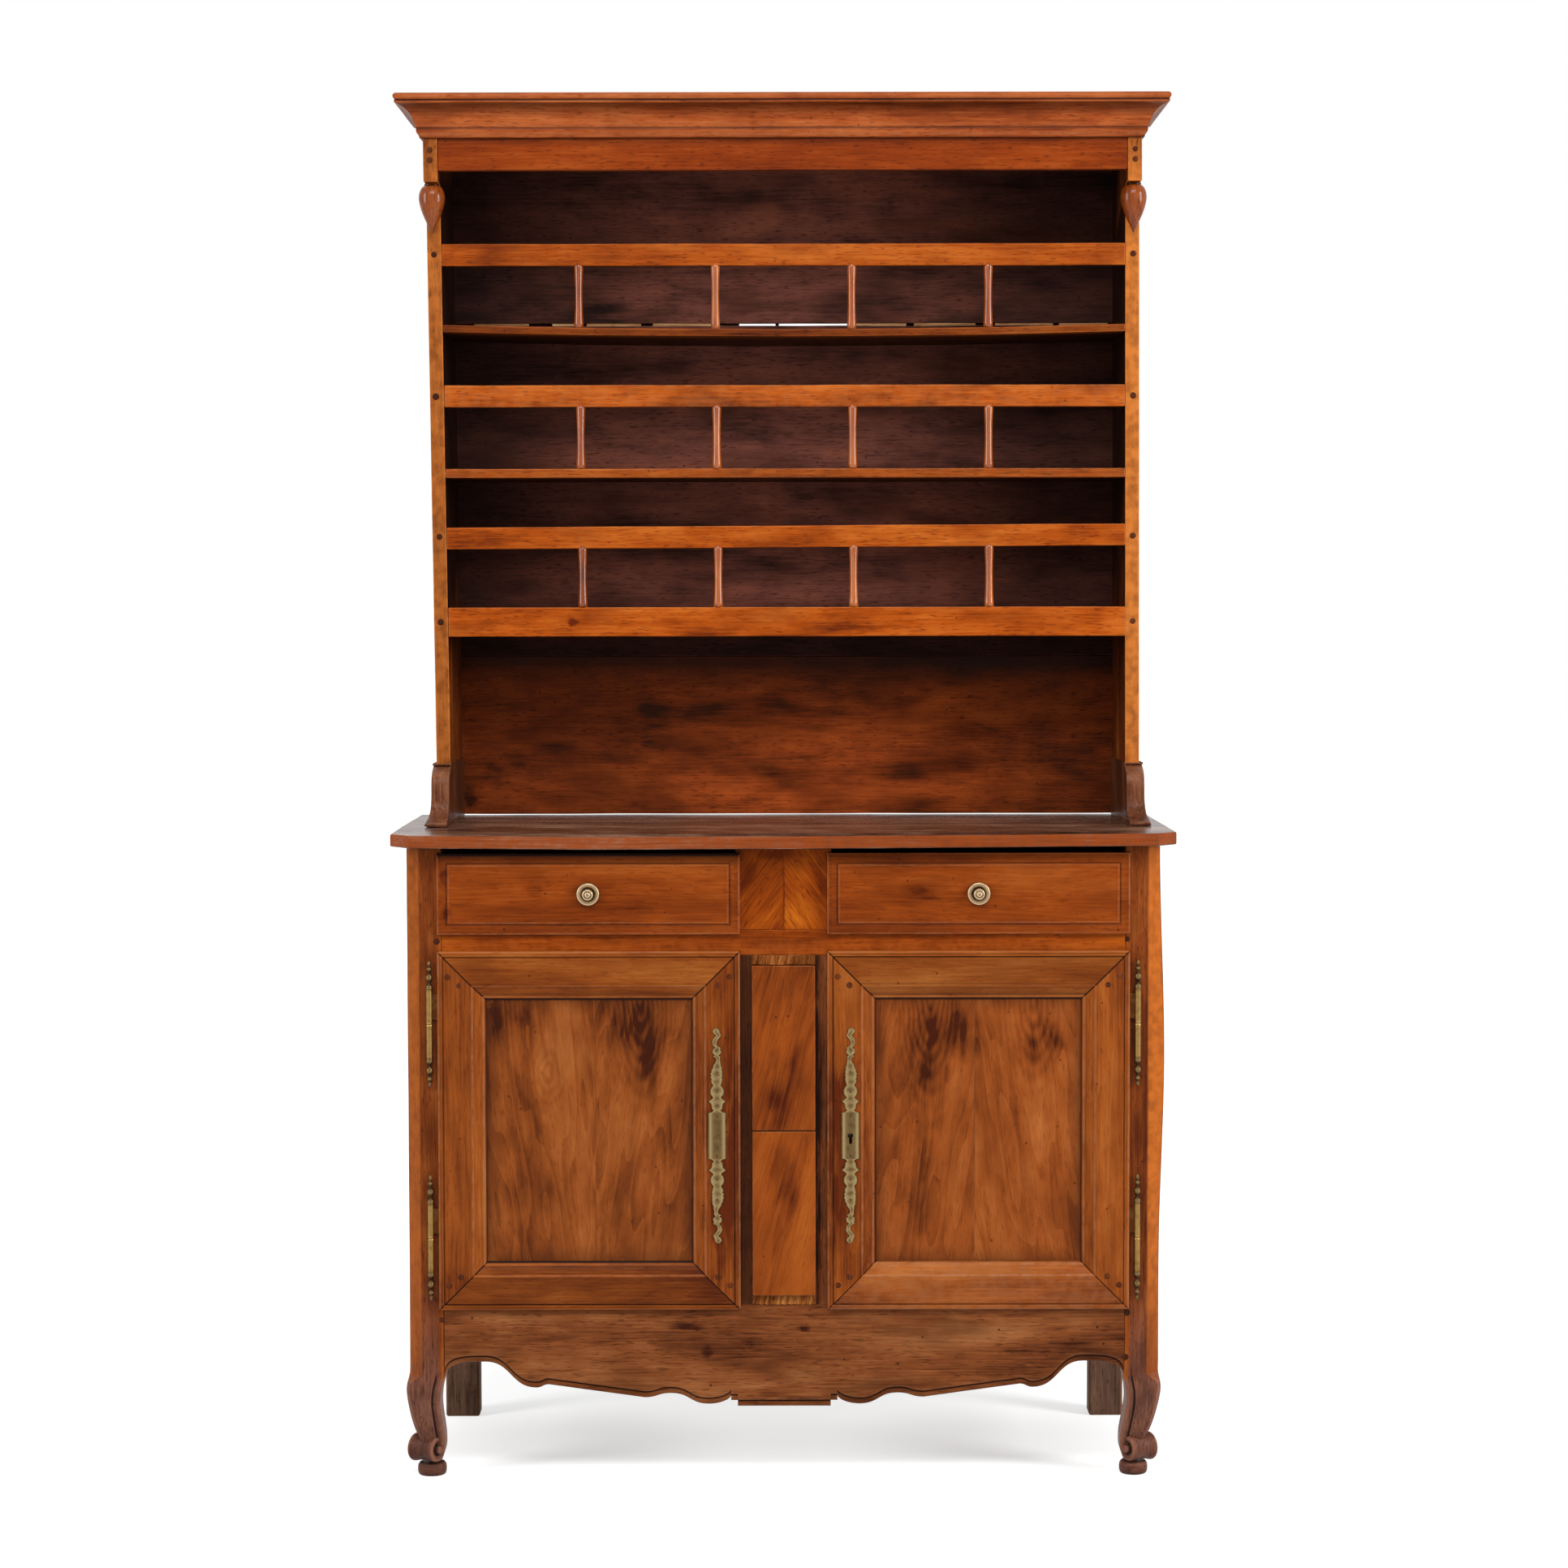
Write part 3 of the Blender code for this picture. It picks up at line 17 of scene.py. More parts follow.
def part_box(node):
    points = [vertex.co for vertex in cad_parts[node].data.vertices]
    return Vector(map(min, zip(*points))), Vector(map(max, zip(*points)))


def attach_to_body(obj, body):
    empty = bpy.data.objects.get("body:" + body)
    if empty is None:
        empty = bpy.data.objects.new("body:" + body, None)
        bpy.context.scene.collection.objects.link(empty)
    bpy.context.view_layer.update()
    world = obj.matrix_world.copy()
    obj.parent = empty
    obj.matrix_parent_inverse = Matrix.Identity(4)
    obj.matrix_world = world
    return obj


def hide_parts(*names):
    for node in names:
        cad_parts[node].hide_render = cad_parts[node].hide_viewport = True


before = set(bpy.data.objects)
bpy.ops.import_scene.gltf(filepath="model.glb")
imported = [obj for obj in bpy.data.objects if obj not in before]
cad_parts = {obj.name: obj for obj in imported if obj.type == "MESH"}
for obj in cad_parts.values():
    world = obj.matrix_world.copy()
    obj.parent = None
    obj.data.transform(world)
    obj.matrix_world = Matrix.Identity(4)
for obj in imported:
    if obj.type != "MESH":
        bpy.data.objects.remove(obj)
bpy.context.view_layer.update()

LOG = logging.getLogger("buffet")
SMOOTH_ANGLE = math.radians(35)
WEAR_SEED = 5

# Heights and depths that several pieces share
COUNTER_TOP = 1.0565
RACK_TOP = 2.2524
RACK_FRONT = 0.0125
FACE_Y = -0.2225
DOOR_FIELD = -0.235

Tree = bpy.types.NodeTree
Socket = bpy.types.NodeSocket
Pair = tuple[float, float]
Row = tuple[float, float, float]
Point = tuple[float, float, float, float]      # mostly x, y, z and tone


class Grain(Enum):
    """Fibre direction of a board: its axis, the axis across it and the axis through it."""

    X = (0, 2, 1)
    Y = (1, 2, 0)
    Z = (2, 0, 1)


class Axis(Enum):
    """Axis that a flat outline leaves out, with the two that it uses."""

    X = (1, 2, 0)
    Z = (0, 1, 2)

    def place(self, first: float, second: float, level: float) -> Vector:
        """Point of a flat outline at a level along the axis.

        Args:
            first: first coordinate in the outline.
            second: second coordinate.
            level: coordinate along the axis.

        Returns:
            The point.
        """
        spot = [0.0, 0.0, 0.0]
        for axis, value in zip(self.value, (first, second, level)):
            spot[axis] = value
        return Vector(spot)


class Side(Enum):
    """Left or right half of the buffet, as a factor for X."""

    LEFT = -1
    RIGHT = 1

    @property
    def word(self) -> str:
        """Name of the side in node names."""
        return self.name.lower()


def clamp(value: float) -> float:
    """Value kept between 0 and 1."""
    return min(1.0, max(0.0, value))


def linear(code: str) -> tuple[float, float, float, float]:
    """Linear colour of an sRGB hex code.

    Args:
        code: six hex digits.

    Returns:
        Red, green, blue and alpha.
    """
    channels = [int(code[i:i + 2], 16) / 255 for i in (0, 2, 4)]
    red, green, blue = [c / 12.92 if c <= 0.04045 else ((c + 0.055) / 1.055) ** 2.4 for c in channels]
    return red, green, blue, 1.0


def feed(tree: Tree, node: bpy.types.Node, feeds: dict) -> None:
    """Set or link the inputs of a node.

    Args:
        tree: tree of the node.
        node: the node.
        feeds: value or output socket for inputs, by name or number.
    """
    for key, value in feeds.items():
        if isinstance(value, Socket):
            tree.links.new(value, node.inputs[key])
        else:
            node.inputs[key].default_value = value


def add_node(
        tree: Tree, kind: str, feeds: dict | None = None, out: int | str = 0,
        **settings: object) -> Socket | None:
    """Add a node with its settings and links.

    Args:
        tree: tree that gets the node.
        kind: Blender's name for the kind of node; a bare word is a kind of shader node.
        feeds: value or output socket for inputs, by name or number.
        out: output to hand back.
        settings: properties of the node.

    Returns:
        The chosen output, or None for a node without outputs.
    """
    node = tree.nodes.new(kind if "Node" in kind else f"ShaderNode{kind}")
    for key, value in settings.items():
        setattr(node, key, value)
    feed(tree, node, feeds or {})
    return node.outputs[out] if node.outputs else None


def stretched_noise(
        tree: Tree, source: Socket, along_mm: float, across_mm: float, detail: float = 2.0,
        out: str = "Fac") -> Socket:
    """Noise whose patches have a real size along and across the fibres.

    Args:
        tree: tree that gets the nodes.
        source: coordinates in metres.
        along_mm: length of a patch along the first axis.
        across_mm: width of a patch along the other two.
        detail: octaves of the noise.
        out: output to hand back.

    Returns:
        The noise's output.
    """
    scale = (1000 / along_mm, 1000 / across_mm, 1000 / across_mm)
    spread = add_node(tree, "Mapping", {"Vector": source, "Scale": scale})
    return add_node(tree, "TexNoise", {"Vector": spread, "Scale": 1.0, "Detail": detail}, out)


@dataclass(frozen=True)
class Mark:
    """A knot, flame or stain on the front; a few marks are painted light and painted shadow instead. A
    darkness below 0 makes it a light patch.
    """

    x: float
    z: float
    wide: float
    tall: float
    dark: float
    rings: float = 0.0
    ragged: float = 1.4


def marks_at(*rows: tuple[float, ...]) -> tuple[Mark, ...]:
    """Marks from rows in a mark's order, whose four sizes are in mm."""
    return tuple(Mark(*(size / 1000 for size in row[:4]), *row[4:]) for row in rows)


@dataclass(frozen=True)
class Finish:
    """A named finish, with its slot of the record, that makes its material once."""

    name: str
    slot: str = field(default="cherry_mid", kw_only=True)

    def material(self) -> bpy.types.Material:
        """The finish's material, made on first use.

        Returns:
            The material.
        """
        made = bpy.data.materials.get(self.name)
        if made is None:
            made = bpy.data.materials.new(self.name)
            made.use_nodes = True
            feed(made.node_tree, made.node_tree.nodes["Principled BSDF"], self.paint(made.node_tree))
        return made

    def paint(self, tree: Tree) -> dict:
        """Add the finish's nodes to a tree and return what feeds its shader; each kind has its own."""
        return {}


@dataclass(frozen=True)
class Fruitwood(Finish):
    """Hand-planed cherry, waxed for two centuries: growth lines, fibres, dark pores and worn edges, with
    light and shade painted in through its tone.

    The fibres are drawn a few times coarser than real ones, so that they show in the render.
    """

    dark: str = "5A240C"
    body: str = "8C4018"
    light: str = "C07038"
    # colours that the tone mixes in: old wax and painted shade below 0, worn edges and painted light above 0
    grime: str = "1C0C07"
    rub: str = "A06C48"
    ring_mm: float = 13.0
    drift: float = 9.0
    drift_mm: Pair = (300, 60)
    broad: float = 0.80
    mottle: float = 0.38
    figure: float = 0.06
    streak: float = 0.55
    stain: float = 0.45
    stain_mm: float = 46.0
    fleck: float = 0.45
    holes: float = 0.6
    wear: float = 0.75
    even: float = 0.25
    roughness: float = 0.40
    specular: float = 0.07
    relief: float = 0.22
    fade: float = 0.0
    marks: tuple[Mark, ...] = ()

    def paint(self, tree: Tree) -> dict:
        """Build the wood from its growth lines, fibres, stains, wear and the light and shade painted in its
        tone.

        Args:
            tree: tree that gets the nodes.

        Returns:
            What feeds the shader.
        """
        add = partial(add_node, tree)
        patches = partial(stretched_noise, tree)
        grain = add("Attribute", out="Vector", attribute_name="grain")
        tone = add("Attribute", out="Fac", attribute_name="tone")
        place = add("TexCoord", out="Object")
        broad = patches(grain, 420, 75)
        cloudy = patches(grain, 62, 26, 3.0)
        drift = patches(grain, *self.drift_mm, 1.5)
        fibre = patches(grain, 85, 3.2, 3.0)
        pore = patches(grain, 15, 2.4, 0.0)

        across = add("VectorMath", {0: grain, 1: (0, 0.8, 0.6)}, "Value", operation="DOT_PRODUCT")
        phase = add("Math", {0: across, 1: 1000 / self.ring_mm}, operation="MULTIPLY")
        phase = add("Math", {0: drift, 1: self.drift, 2: phase}, operation="MULTIPLY_ADD")
        ring = add("Math", {0: phase}, operation="FRACT")
        ring = add("Math", {0: ring, 1: 2.0, 2: -1.0}, operation="MULTIPLY_ADD")
        shadow = None
        for mark in self.marks:
            near, ring = self.add_mark(tree, place, grain, mark, ring)
            shadow = near if shadow is None else add("Math", {0: shadow, 1: near})

        value = 0.5 - (self.broad + self.streak + self.mottle) / 2
        for pattern, amount in (
                (fibre, self.streak), (broad, self.broad), (cloudy, self.mottle), (ring, self.figure / 2)):
            value = add("Math", {0: pattern, 1: amount, 2: value}, operation="MULTIPLY_ADD")
        if shadow is not None:
            value = add("Math", {0: value, 1: shadow}, operation="SUBTRACT")
        ramp = add("ValToRGB", {0: value})
        stops = ramp.node.color_ramp.elements
        stops[0].position, stops[0].color = 0.22, linear(self.dark)
        stops[1].position, stops[1].color = 0.80, linear(self.light)
        stops.new(0.5).color = linear(self.body)

        cloud = patches(grain, 3 * self.stain_mm, self.stain_mm, 5.0)
        cloud = add("MapRange", {0: cloud, 1: 0.48, 2: 0.76, 4: self.stain})
        pores = add("MapRange", {0: pore, 1: 0.62, 2: 0.74, 4: self.fleck})
        dull = add("Math", {0: cloud, 1: pores}, operation="MAXIMUM")
        cell = add("TexVoronoi", {"Vector": place, "Scale": 1000 / 34}, "Distance")
        hole = add("MapRange", {0: cell, 1: 0.045, 2: 0.075, 3: self.holes, 4: 0.0})
        dull = add("Math", {0: dull, 1: hole}, operation="MAXIMUM")
        colour = add(
            "Mix", {0: dull, 6: ramp, 7: linear(self.dark)}, 2, data_type="RGBA", blend_type="MULTIPLY")

        # The tone mixes in the rub colour for worn edges and painted light, and the grime colour for old wax
        # and painted shade.
        patchy = patches(place, 16, 16, 3.0)
        patchy = add("MapRange", {0: patchy, 1: 0.36, 2: 0.62, 3: self.even * self.wear, 4: self.wear})
        rubbed_and_lit = add("Math", {0: tone, 1: patchy}, operation="MULTIPLY", use_clamp=True)
        colour = add("Mix", {0: rubbed_and_lit, 6: colour, 7: linear(self.rub)}, 2, data_type="RGBA")
        soil_and_shade = add("Math", {0: tone, 1: -0.9}, operation="MULTIPLY", use_clamp=True)
        colour = add("Mix", {0: soil_and_shade, 6: colour, 7: linear(self.grime)}, 2, data_type="RGBA")
        if self.fade:
            height = add("SeparateXYZ", {0: place}, "Z")
            dusty = add("MapRange", {0: height, 1: 0.14, 2: 0.34, 3: self.fade, 4: 0.0})
            cant = add("MapRange", {0: height, 1: 0.160, 2: 0.172, 4: 6.0})
            cant = add("Math", {0: cant, 1: rubbed_and_lit}, operation="MULTIPLY")
            dusty = add("Math", {0: dusty, 1: cant}, operation="SUBTRACT", use_clamp=True)
            colour = add(
                "HueSaturation", {"Fac": dusty, "Saturation": 0.78, "Value": 0.78, "Color": colour})

        gloss = add("MapRange", {0: fibre, 3: self.roughness - 0.10, 4: self.roughness + 0.12})
        gloss = add("Math", {0: dull, 1: 0.18, 2: gloss}, operation="MULTIPLY_ADD")
        relief = add("Math", {0: pores, 1: -0.6, 2: fibre}, operation="MULTIPLY_ADD")
        bump = add("Bump", {"Height": relief, "Strength": self.relief, "Distance": 0.0006})
        return {
            "Base Color": colour, "Roughness": gloss, "Normal": bump, "Specular IOR Level": self.specular}

    def add_mark(
            self, tree: Tree, place: Socket, grain: Socket, mark: Mark,
            ring: Socket) -> tuple[Socket, Socket]:
        """Add one mark, with growth rings around it where it has them.

        Args:
            tree: tree that gets the nodes.
            place: object coordinates.
            grain: coordinates along and across the fibres.
            mark: the mark.
            ring: growth lines so far.

        Returns:
            The mark's darkness and the new growth lines.
        """
        add = partial(add_node, tree)
        patches = partial(stretched_noise, tree)
        stray = min(mark.wide, mark.tall) * mark.ragged
        size = 1300 * min(mark.wide, mark.tall)
        ragged = patches(place, size, size, 6.0, "Color")
        ragged = add(
            "VectorMath", {0: ragged, 1: (stray, stray, stray), 2: place}, operation="MULTIPLY_ADD")
        centre = (-(mark.x + stray / 2) / mark.wide, 0.0, -(mark.z + stray / 2) / mark.tall)
        local = add(
            "Mapping", {"Vector": ragged, "Location": centre, "Scale": (1 / mark.wide, 0.0, 1 / mark.tall)})
        far = add("VectorMath", {0: local}, "Value", operation="LENGTH")
        near = add("MapRange", {0: far, 3: 1.0, 4: 0.0}, interpolation_type="SMOOTHSTEP")
        if mark.rings:
            turn = add("Math", {0: far, 1: math.tau * mark.rings}, operation="MULTIPLY")
            wave = add("Math", {0: turn}, operation="SINE")
            ring = add("Mix", {0: near, 2: ring, 3: wave})
        feather = patches(grain, 70, 15, 4.0)
        feather = add("MapRange", {0: feather, 1: 0.34, 2: 0.66, 3: 0.45 * mark.dark, 4: 1.25 * mark.dark})
        dark = add("Math", {0: near, 1: feather}, operation="MULTIPLY")
        return dark, ring


@dataclass(frozen=True)
class CastBrass(Finish):
    """Cast and filed brass: warm grey-gold, tarnished brown in the hollows and rubbed on the rims, with shade
    and highlights painted in through its tone.
    """

    body: str = "8F7A50"
    bright: str = "C9B483"
    tarnish: str = "3A2A18"
    roughness: float = 0.36
    slot: str = field(default="aged_brass", kw_only=True)

    def paint(self, tree: Tree) -> dict:
        """Build the brass from its tarnish patches, rubbed rims and the shade and highlights painted in its
        tone.

        Args:
            tree: tree that gets the nodes.

        Returns:
            What feeds the shader.
        """
        add = partial(add_node, tree)
        patches = partial(stretched_noise, tree)
        place = add("TexCoord", out="Object")
        tone = add("Attribute", out="Fac", attribute_name="tone")
        patch = patches(place, 9, 9, 4.0)
        dull = add("MapRange", {0: patch, 1: 0.45, 2: 0.75, 4: 0.5})
        soil_and_shade = add("Math", {0: tone, 1: -0.9, 2: dull}, operation="MULTIPLY_ADD", use_clamp=True)
        colour = add("Mix", {0: soil_and_shade, 6: linear(self.body), 7: linear(self.tarnish)}, 2, data_type="RGBA")
        rubbed_and_lit = add("Math", {0: tone, 1: 0.8}, operation="MULTIPLY", use_clamp=True)
        colour = add("Mix", {0: rubbed_and_lit, 6: colour, 7: linear(self.bright)}, 2, data_type="RGBA")
        gloss = add("MapRange", {0: patch, 3: self.roughness - 0.08, 4: self.roughness + 0.16})
        bump = add("Bump", {"Height": patch, "Strength": 0.25, "Distance": 0.0005})
        return {"Base Color": colour, "Roughness": gloss, "Normal": bump, "Metallic": 1.0}


@dataclass(frozen=True)
class ForgedIron(Finish):
    """Hand-forged lock iron: grey-brown, hammered and a little rusty."""

    slot: str = field(default="dark_steel", kw_only=True)

    def paint(self, tree: Tree) -> dict:
        """Build the iron from hammer marks and rust.

        Args:
            tree: tree that gets the nodes.

        Returns:
            What feeds the shader.
        """
        add = partial(add_node, tree)
        patches = partial(stretched_noise, tree)
        place = add("TexCoord", out="Object")
        dent = patches(place, 7, 7, 2.0)
        rust = patches(place, 14, 14, 5.0)
        rust = add("MapRange", {0: rust, 1: 0.48, 2: 0.68})
        colour = add("Mix", {0: rust, 6: linear("5E5A55"), 7: linear("4A2E1E")}, 2, data_type="RGBA")
        gloss = add("MapRange", {0: rust, 3: 0.38, 4: 0.72})
        bump = add("Bump", {"Height": dent, "Strength": 0.35, "Distance": 0.0008})
        return {"Base Color": colour, "Roughness": gloss, "Normal": bump, "Metallic": 1.0}


RAIL_WOOD = Fruitwood(
    "waxed_cherry_rails", "692704", "A64A0D", "C26722", slot="cherry_light", rub="B87440", stain=0.55,
    mottle=0.55, marks=marks_at((-353, 1396.5, 13, 12, 0.5, 2), (500, 1530, 60, 30, 0.14),
    (520, 1990, 70, 50, 0.12), (-500, 1530, 90, 20, 0.12), (100, 1385, 120, 12, 0.14),
    (-520, 2005, 100, 30, 0.16), (500, 1770, 100, 30, 0.12), (-530, 1400, 80, 40, 0.12)))
SHELF_WOOD = Fruitwood(
    "shaded_cherry_shelves", "582107", "924310", "B05E24", slot="cherry_light", rub="B06A3C", stain=0.5)
FRIEZE_WOOD = Fruitwood(
    "waxed_cherry_frieze", "5B1D02", "803207", "974513", slot="cherry_light", rub="94543A", stain=0.25)
CORNICE_WOOD = Fruitwood("waxed_cherry_cornice", "5F250A", "99471D", "B86635", rub="A86038", stain=0.45)
SIDE_WOOD = Fruitwood(
    "waxed_cherry_sides", "3E1606", "6A3010", "A05A24", rub="C87430", fleck=0.85, wear=0.95, even=0.5)
# Dark colours partly stand for the shade inside the rack; the wide light mark at 1830 mm is painted light
# between the rails, and the small light marks are scuffs.
BACK_WOOD = Fruitwood(
    "smoked_cherry_back", "2F1D18", "6B3E33", "8A4F3C", slot="cherry_dark", stain=0.65, stain_mm=60,
    mottle=0.55, streak=0.35, specular=0.04, roughness=0.55, grime="0B0707",
    marks=marks_at((-30, 2100, 45, 30, -0.6, 0, 1.2), (-70, 2070, 50, 14, -0.45),
    (-330, 1930, 100, 40, 0.2), (50, 1600, 100, 50, 0.2), (0, 1830, 600, 50, -0.16)))
BAY_WOOD = Fruitwood(
    "waxed_cherry_bay", "401C0B", "893C16", "B45420", slot="cherry_dark", stain=0.6, stain_mm=60,
    mottle=0.6, streak=0.4, specular=0.06,
    marks=marks_at((-505, 1130, 34, 26, 0.3), (-470, 1155, 30, 22, 0.24), (-548, 1082, 26, 34, 0.4),
    (-235, 1215, 60, 60, 0.2), (-15, 1125, 70, 45, 0.2), (205, 1135, 80, 55, 0.2),
    (185, 1265, 85, 60, 0.18), (320, 1200, 60, 90, 0.16), (500, 1120, 120, 70, 0.18)))
FOOT_WOOD = Fruitwood(
    "waxed_cherry_rack_feet", "33180D", "633722", "936042", slot="cherry_dark", rub="8D5E42", specular=0.09,
    roughness=0.32)
COUNTER_WOOD = Fruitwood(
    "polished_cherry_counter", "2B170F", "664332", "A27B64", slot="cherry_dark", rub="8C3E0E",
    roughness=0.22, specular=0.12, wear=0.92, even=0.75, streak=1.25)
# the rings round the knobs are dirt and painted shadow of the knobs
DRAWER_WOOD = Fruitwood(
    "waxed_cherry_drawers", "561E02", "8A3D0D", "A85820", rub="9C6644", streak=0.34, broad=0.7, mottle=0.28,
    stain=0.35, fleck=0.28, marks=marks_at((-402, 964, 26, 14, 0.26, 2, 0.8), (-250, 938, 100, 18, 0.1),
    (-130, 962, 70, 40, -0.1), (-315.5, 957, 42, 36, 0.16, 0, 0.5), (315.5, 957, 42, 36, 0.16, 0, 0.5),
    (218, 963, 34, 15, 0.24, 2, 0.9), (238, 950, 28, 8, 0.22), (-548, 985, 10, 30, 0.35),
    (-546, 925, 10, 22, 0.3), (420, 985, 120, 20, -0.08)))
BOOKMATCH_WOOD = Fruitwood(
    "matched_cherry_veneer", "652500", "913F07", "B86013", rub="A8521A", figure=0.08, stain=0.55,
    marks=marks_at((-62, 985, 34, 55, 0.28, 0, 0.6), (62, 985, 34, 55, 0.28, 0, 0.6),
    (0, 1022, 75, 16, 0.26), (22, 925, 36, 45, -0.2, 0, 0.4), (-22, 915, 36, 35, -0.12, 0, 0.4),
    (0.7, 950, 2.2, 80, 0.7, 0, 0)))
DOOR_WOOD = Fruitwood(
    "waxed_cherry_doors", "5A2206", "954B17", "B36A2E", rub="9E6846", stain=0.28, streak=0.38, mottle=0.30,
    fleck=0.25, marks=marks_at((-80, 535, 90, 400, 0.36, 0, 0.5), (80, 535, 105, 400, 0.36, 0, 0.5)))
# Calm boards with wide growth rings, for both door panels
PANEL_CUT = {
    "figure": 0.11, "ring_mm": 70, "drift": 11, "drift_mm": (460, 62), "stain": 0.25, "streak": 0.17,
    "mottle": 0.46, "broad": 0.6, "fleck": 0.25}
LEFT_PANEL_WOOD = Fruitwood(
    "swirled_cherry_panel", "3C1504", "8A461A", "AC6530", **PANEL_CUT,
    marks=marks_at((-380, 668, 46, 100, -0.08, 5, 0.5), (-362, 715, 90, 85, -0.16, 0, 0.4),
    (-440, 765, 90, 50, 0.15, 0, 0.9), (-258, 750, 85, 85, 0.27, 0, 0.8), (-228, 690, 40, 110, 0.2, 0, 0.9),
    (-232, 790, 85, 300, 0.02, 11, 0.3), (-330, 470, 200, 70, 0.08)))
RIGHT_PANEL_WOOD = Fruitwood(
    "flamed_cherry_panel", "401704", "8F4719", "AE642F", **PANEL_CUT,
    marks=marks_at((222, 725, 40, 110, 0.24, 0, 0.9), (279, 732, 70, 70, 0.28, 0, 0.8),
    (238, 655, 50, 56, 0.21, 0, 0.8), (238, 790, 85, 300, 0.02, 11, 0.3),
    (405, 790, 85, 280, 0.02, 10, 0.3), (425, 722, 56, 90, 0.26, 0, 0.9),
    (412, 556, 34, 130, -0.15, 0, 0.6)))
PLATE_WOOD = Fruitwood(
    "flamed_cherry_plates", "441504", "904412", "AA5A1E", figure=0.05, ring_mm=20, stain=0.3, streak=0.3,
    mottle=0.3, fleck=0.18, marks=marks_at((22, 705, 26, 50, 0.1, 0, 0.7), (8, 670, 36, 50, 0.1, 0, 0.7),
    (-21, 630, 40, 40, 0.1, 0, 0.7), (-10, 730, 80, 120, -0.2, 0, 0.7), (-12, 525, 34, 55, 0.14, 0, 0.7),
    (10, 471, 30, 60, 0.17, 0, 0.7)))
# the dark strip beside the right plate is grime and painted shadow
STILE_WOOD = Fruitwood(
    "shaded_cherry_stile", "200C04", "7C4221", "8E5228", roughness=0.5, specular=0.06,
    marks=marks_at((52, 570, 14, 700, 0.34, 0, 0.2)))
RAW_WOOD = Fruitwood(
    "bare_torn_cherry", "44210B", "87491B", "B6783E", streak=0.9, fleck=0.7, roughness=0.75, specular=0.06)
POST_WOOD = Fruitwood(
    "waxed_cherry_posts", "4B1B06", "7E3C14", "A25B26", slot="cherry_amber", rub="B9621E", wear=0.95,
    even=0.55, fade=1.0)
APRON_WOOD = Fruitwood(
    "waxed_cherry_apron", "3B1708", "7E4522", "9E643A", rub="8C6248", fleck=0.4, stain=0.55, holes=0.8,
    streak=0.5, specular=0.06, marks=marks_at((-152, 252, 50, 12, 0.3), (-123, 206, 16, 16, 0.3, 3),
    (31, 249, 16, 11, 0.5), (0, 135, 130, 30, 0.26), (310, 240, 160, 50, -0.09),
    (-360, 235, 140, 50, 0.07)))
SIDE_PANEL_WOOD = Fruitwood("waxed_cherry_side_panels", "451A06", "7A3E16", "9C5A28", figure=0.10)
REAR_WOOD = Fruitwood(
    "dull_cherry_rear", "372419", "725443", "946F59", slot="cherry_dark", roughness=0.6, specular=0.06)
INSIDE_WOOD = Fruitwood(
    "bare_poplar_inside", "5E3F25", "926A42", "B48C5C", slot="inside_wood", roughness=0.72, specular=0.06)
PEG_WOOD = Fruitwood("end_grain_pegs", "241006", "451E0C", "663818", holes=0.0)
DOOR_PEG_WOOD = Fruitwood("polished_cherry_pegs", "381A0C", "5E2C14", "804A26", holes=0.0)
SPINDLE_WOOD = Fruitwood(
    "turned_cherry_spindles", "5E2408", "964614", "BC6A2E", slot="cherry_light", roughness=0.13,
    specular=0.45, holes=0.0, fleck=0.2, relief=0.03)
PENDANT_WOOD = Fruitwood(
    "turned_cherry_pendants", "461604", "803A10", "9C5420", roughness=0.13, specular=0.20, holes=0.0,
    relief=0.03)
# pale wood that paints the light showing through the gap in the back
GAP_LIGHT_LATH_WOOD = Fruitwood("split_lath_edges", "7A5030", "B8875A", "E0C090", slot="cherry_dark", holes=0.0)
BRASS = CastBrass("aged_cast_brass", "655032", "AB976B", "2A1C0E")
KNOB_BRASS = CastBrass("worn_knob_brass", "9A8062", "D8C6A0", "33241A")
HINGE_BRASS = CastBrass("worn_hinge_brass", "86683A", "C4A464", "48260F")
DARK_BRASS = CastBrass("tarnished_finial_brass", "4E3C24", "8E744A", "20150C")
IRON = ForgedIron("forged_lock_iron")


@dataclass(frozen=True)
class Stock:
    """How one board was cut and has aged.

    The seed is its place in the tree, turn the angle of its fibres in its face, wobble the unevenness
    of hand planing, ragged a torn surface, warp an old bend and shade a tone by place.
    """

    grain: Grain = Grain.X
    seed: float = 0.0
    turn: float = 0.0
    wobble: float = 0.0003
    ragged: float = 0.0
    warp: Callable[[Vector], Vector] | None = None
    shade: Callable[[Vector], float] | None = None

    def fibre(self, place: Vector) -> Vector:
        """Coordinates of a place along, across and through the fibres.

        Args:
            place: a place on the straight board.

        Returns:
            The coordinates.
        """
        along, across, through = (place[axis] for axis in self.grain.value)
        cosine, sine = math.cos(self.turn), math.sin(self.turn)
        return Vector((
            along * cosine + across * sine + 1.7 * self.seed,
            across * cosine - along * sine + 0.37 * self.seed, through + 0.11 * self.seed))

    def worn(self, place: Vector) -> Vector:
        """Place of a point after its board has warped and worn.

        Args:
            place: a place on the straight board.

        Returns:
            The worn place.
        """
        moved = self.warp(place) if self.warp else place
        offset = Vector((self.seed, self.seed, self.seed))
        moved = moved + noise.noise_vector(place * 9 + offset) * self.wobble
        if self.ragged:
            moved = moved + noise.noise_vector(place * 260 + offset) * self.ragged
        return moved


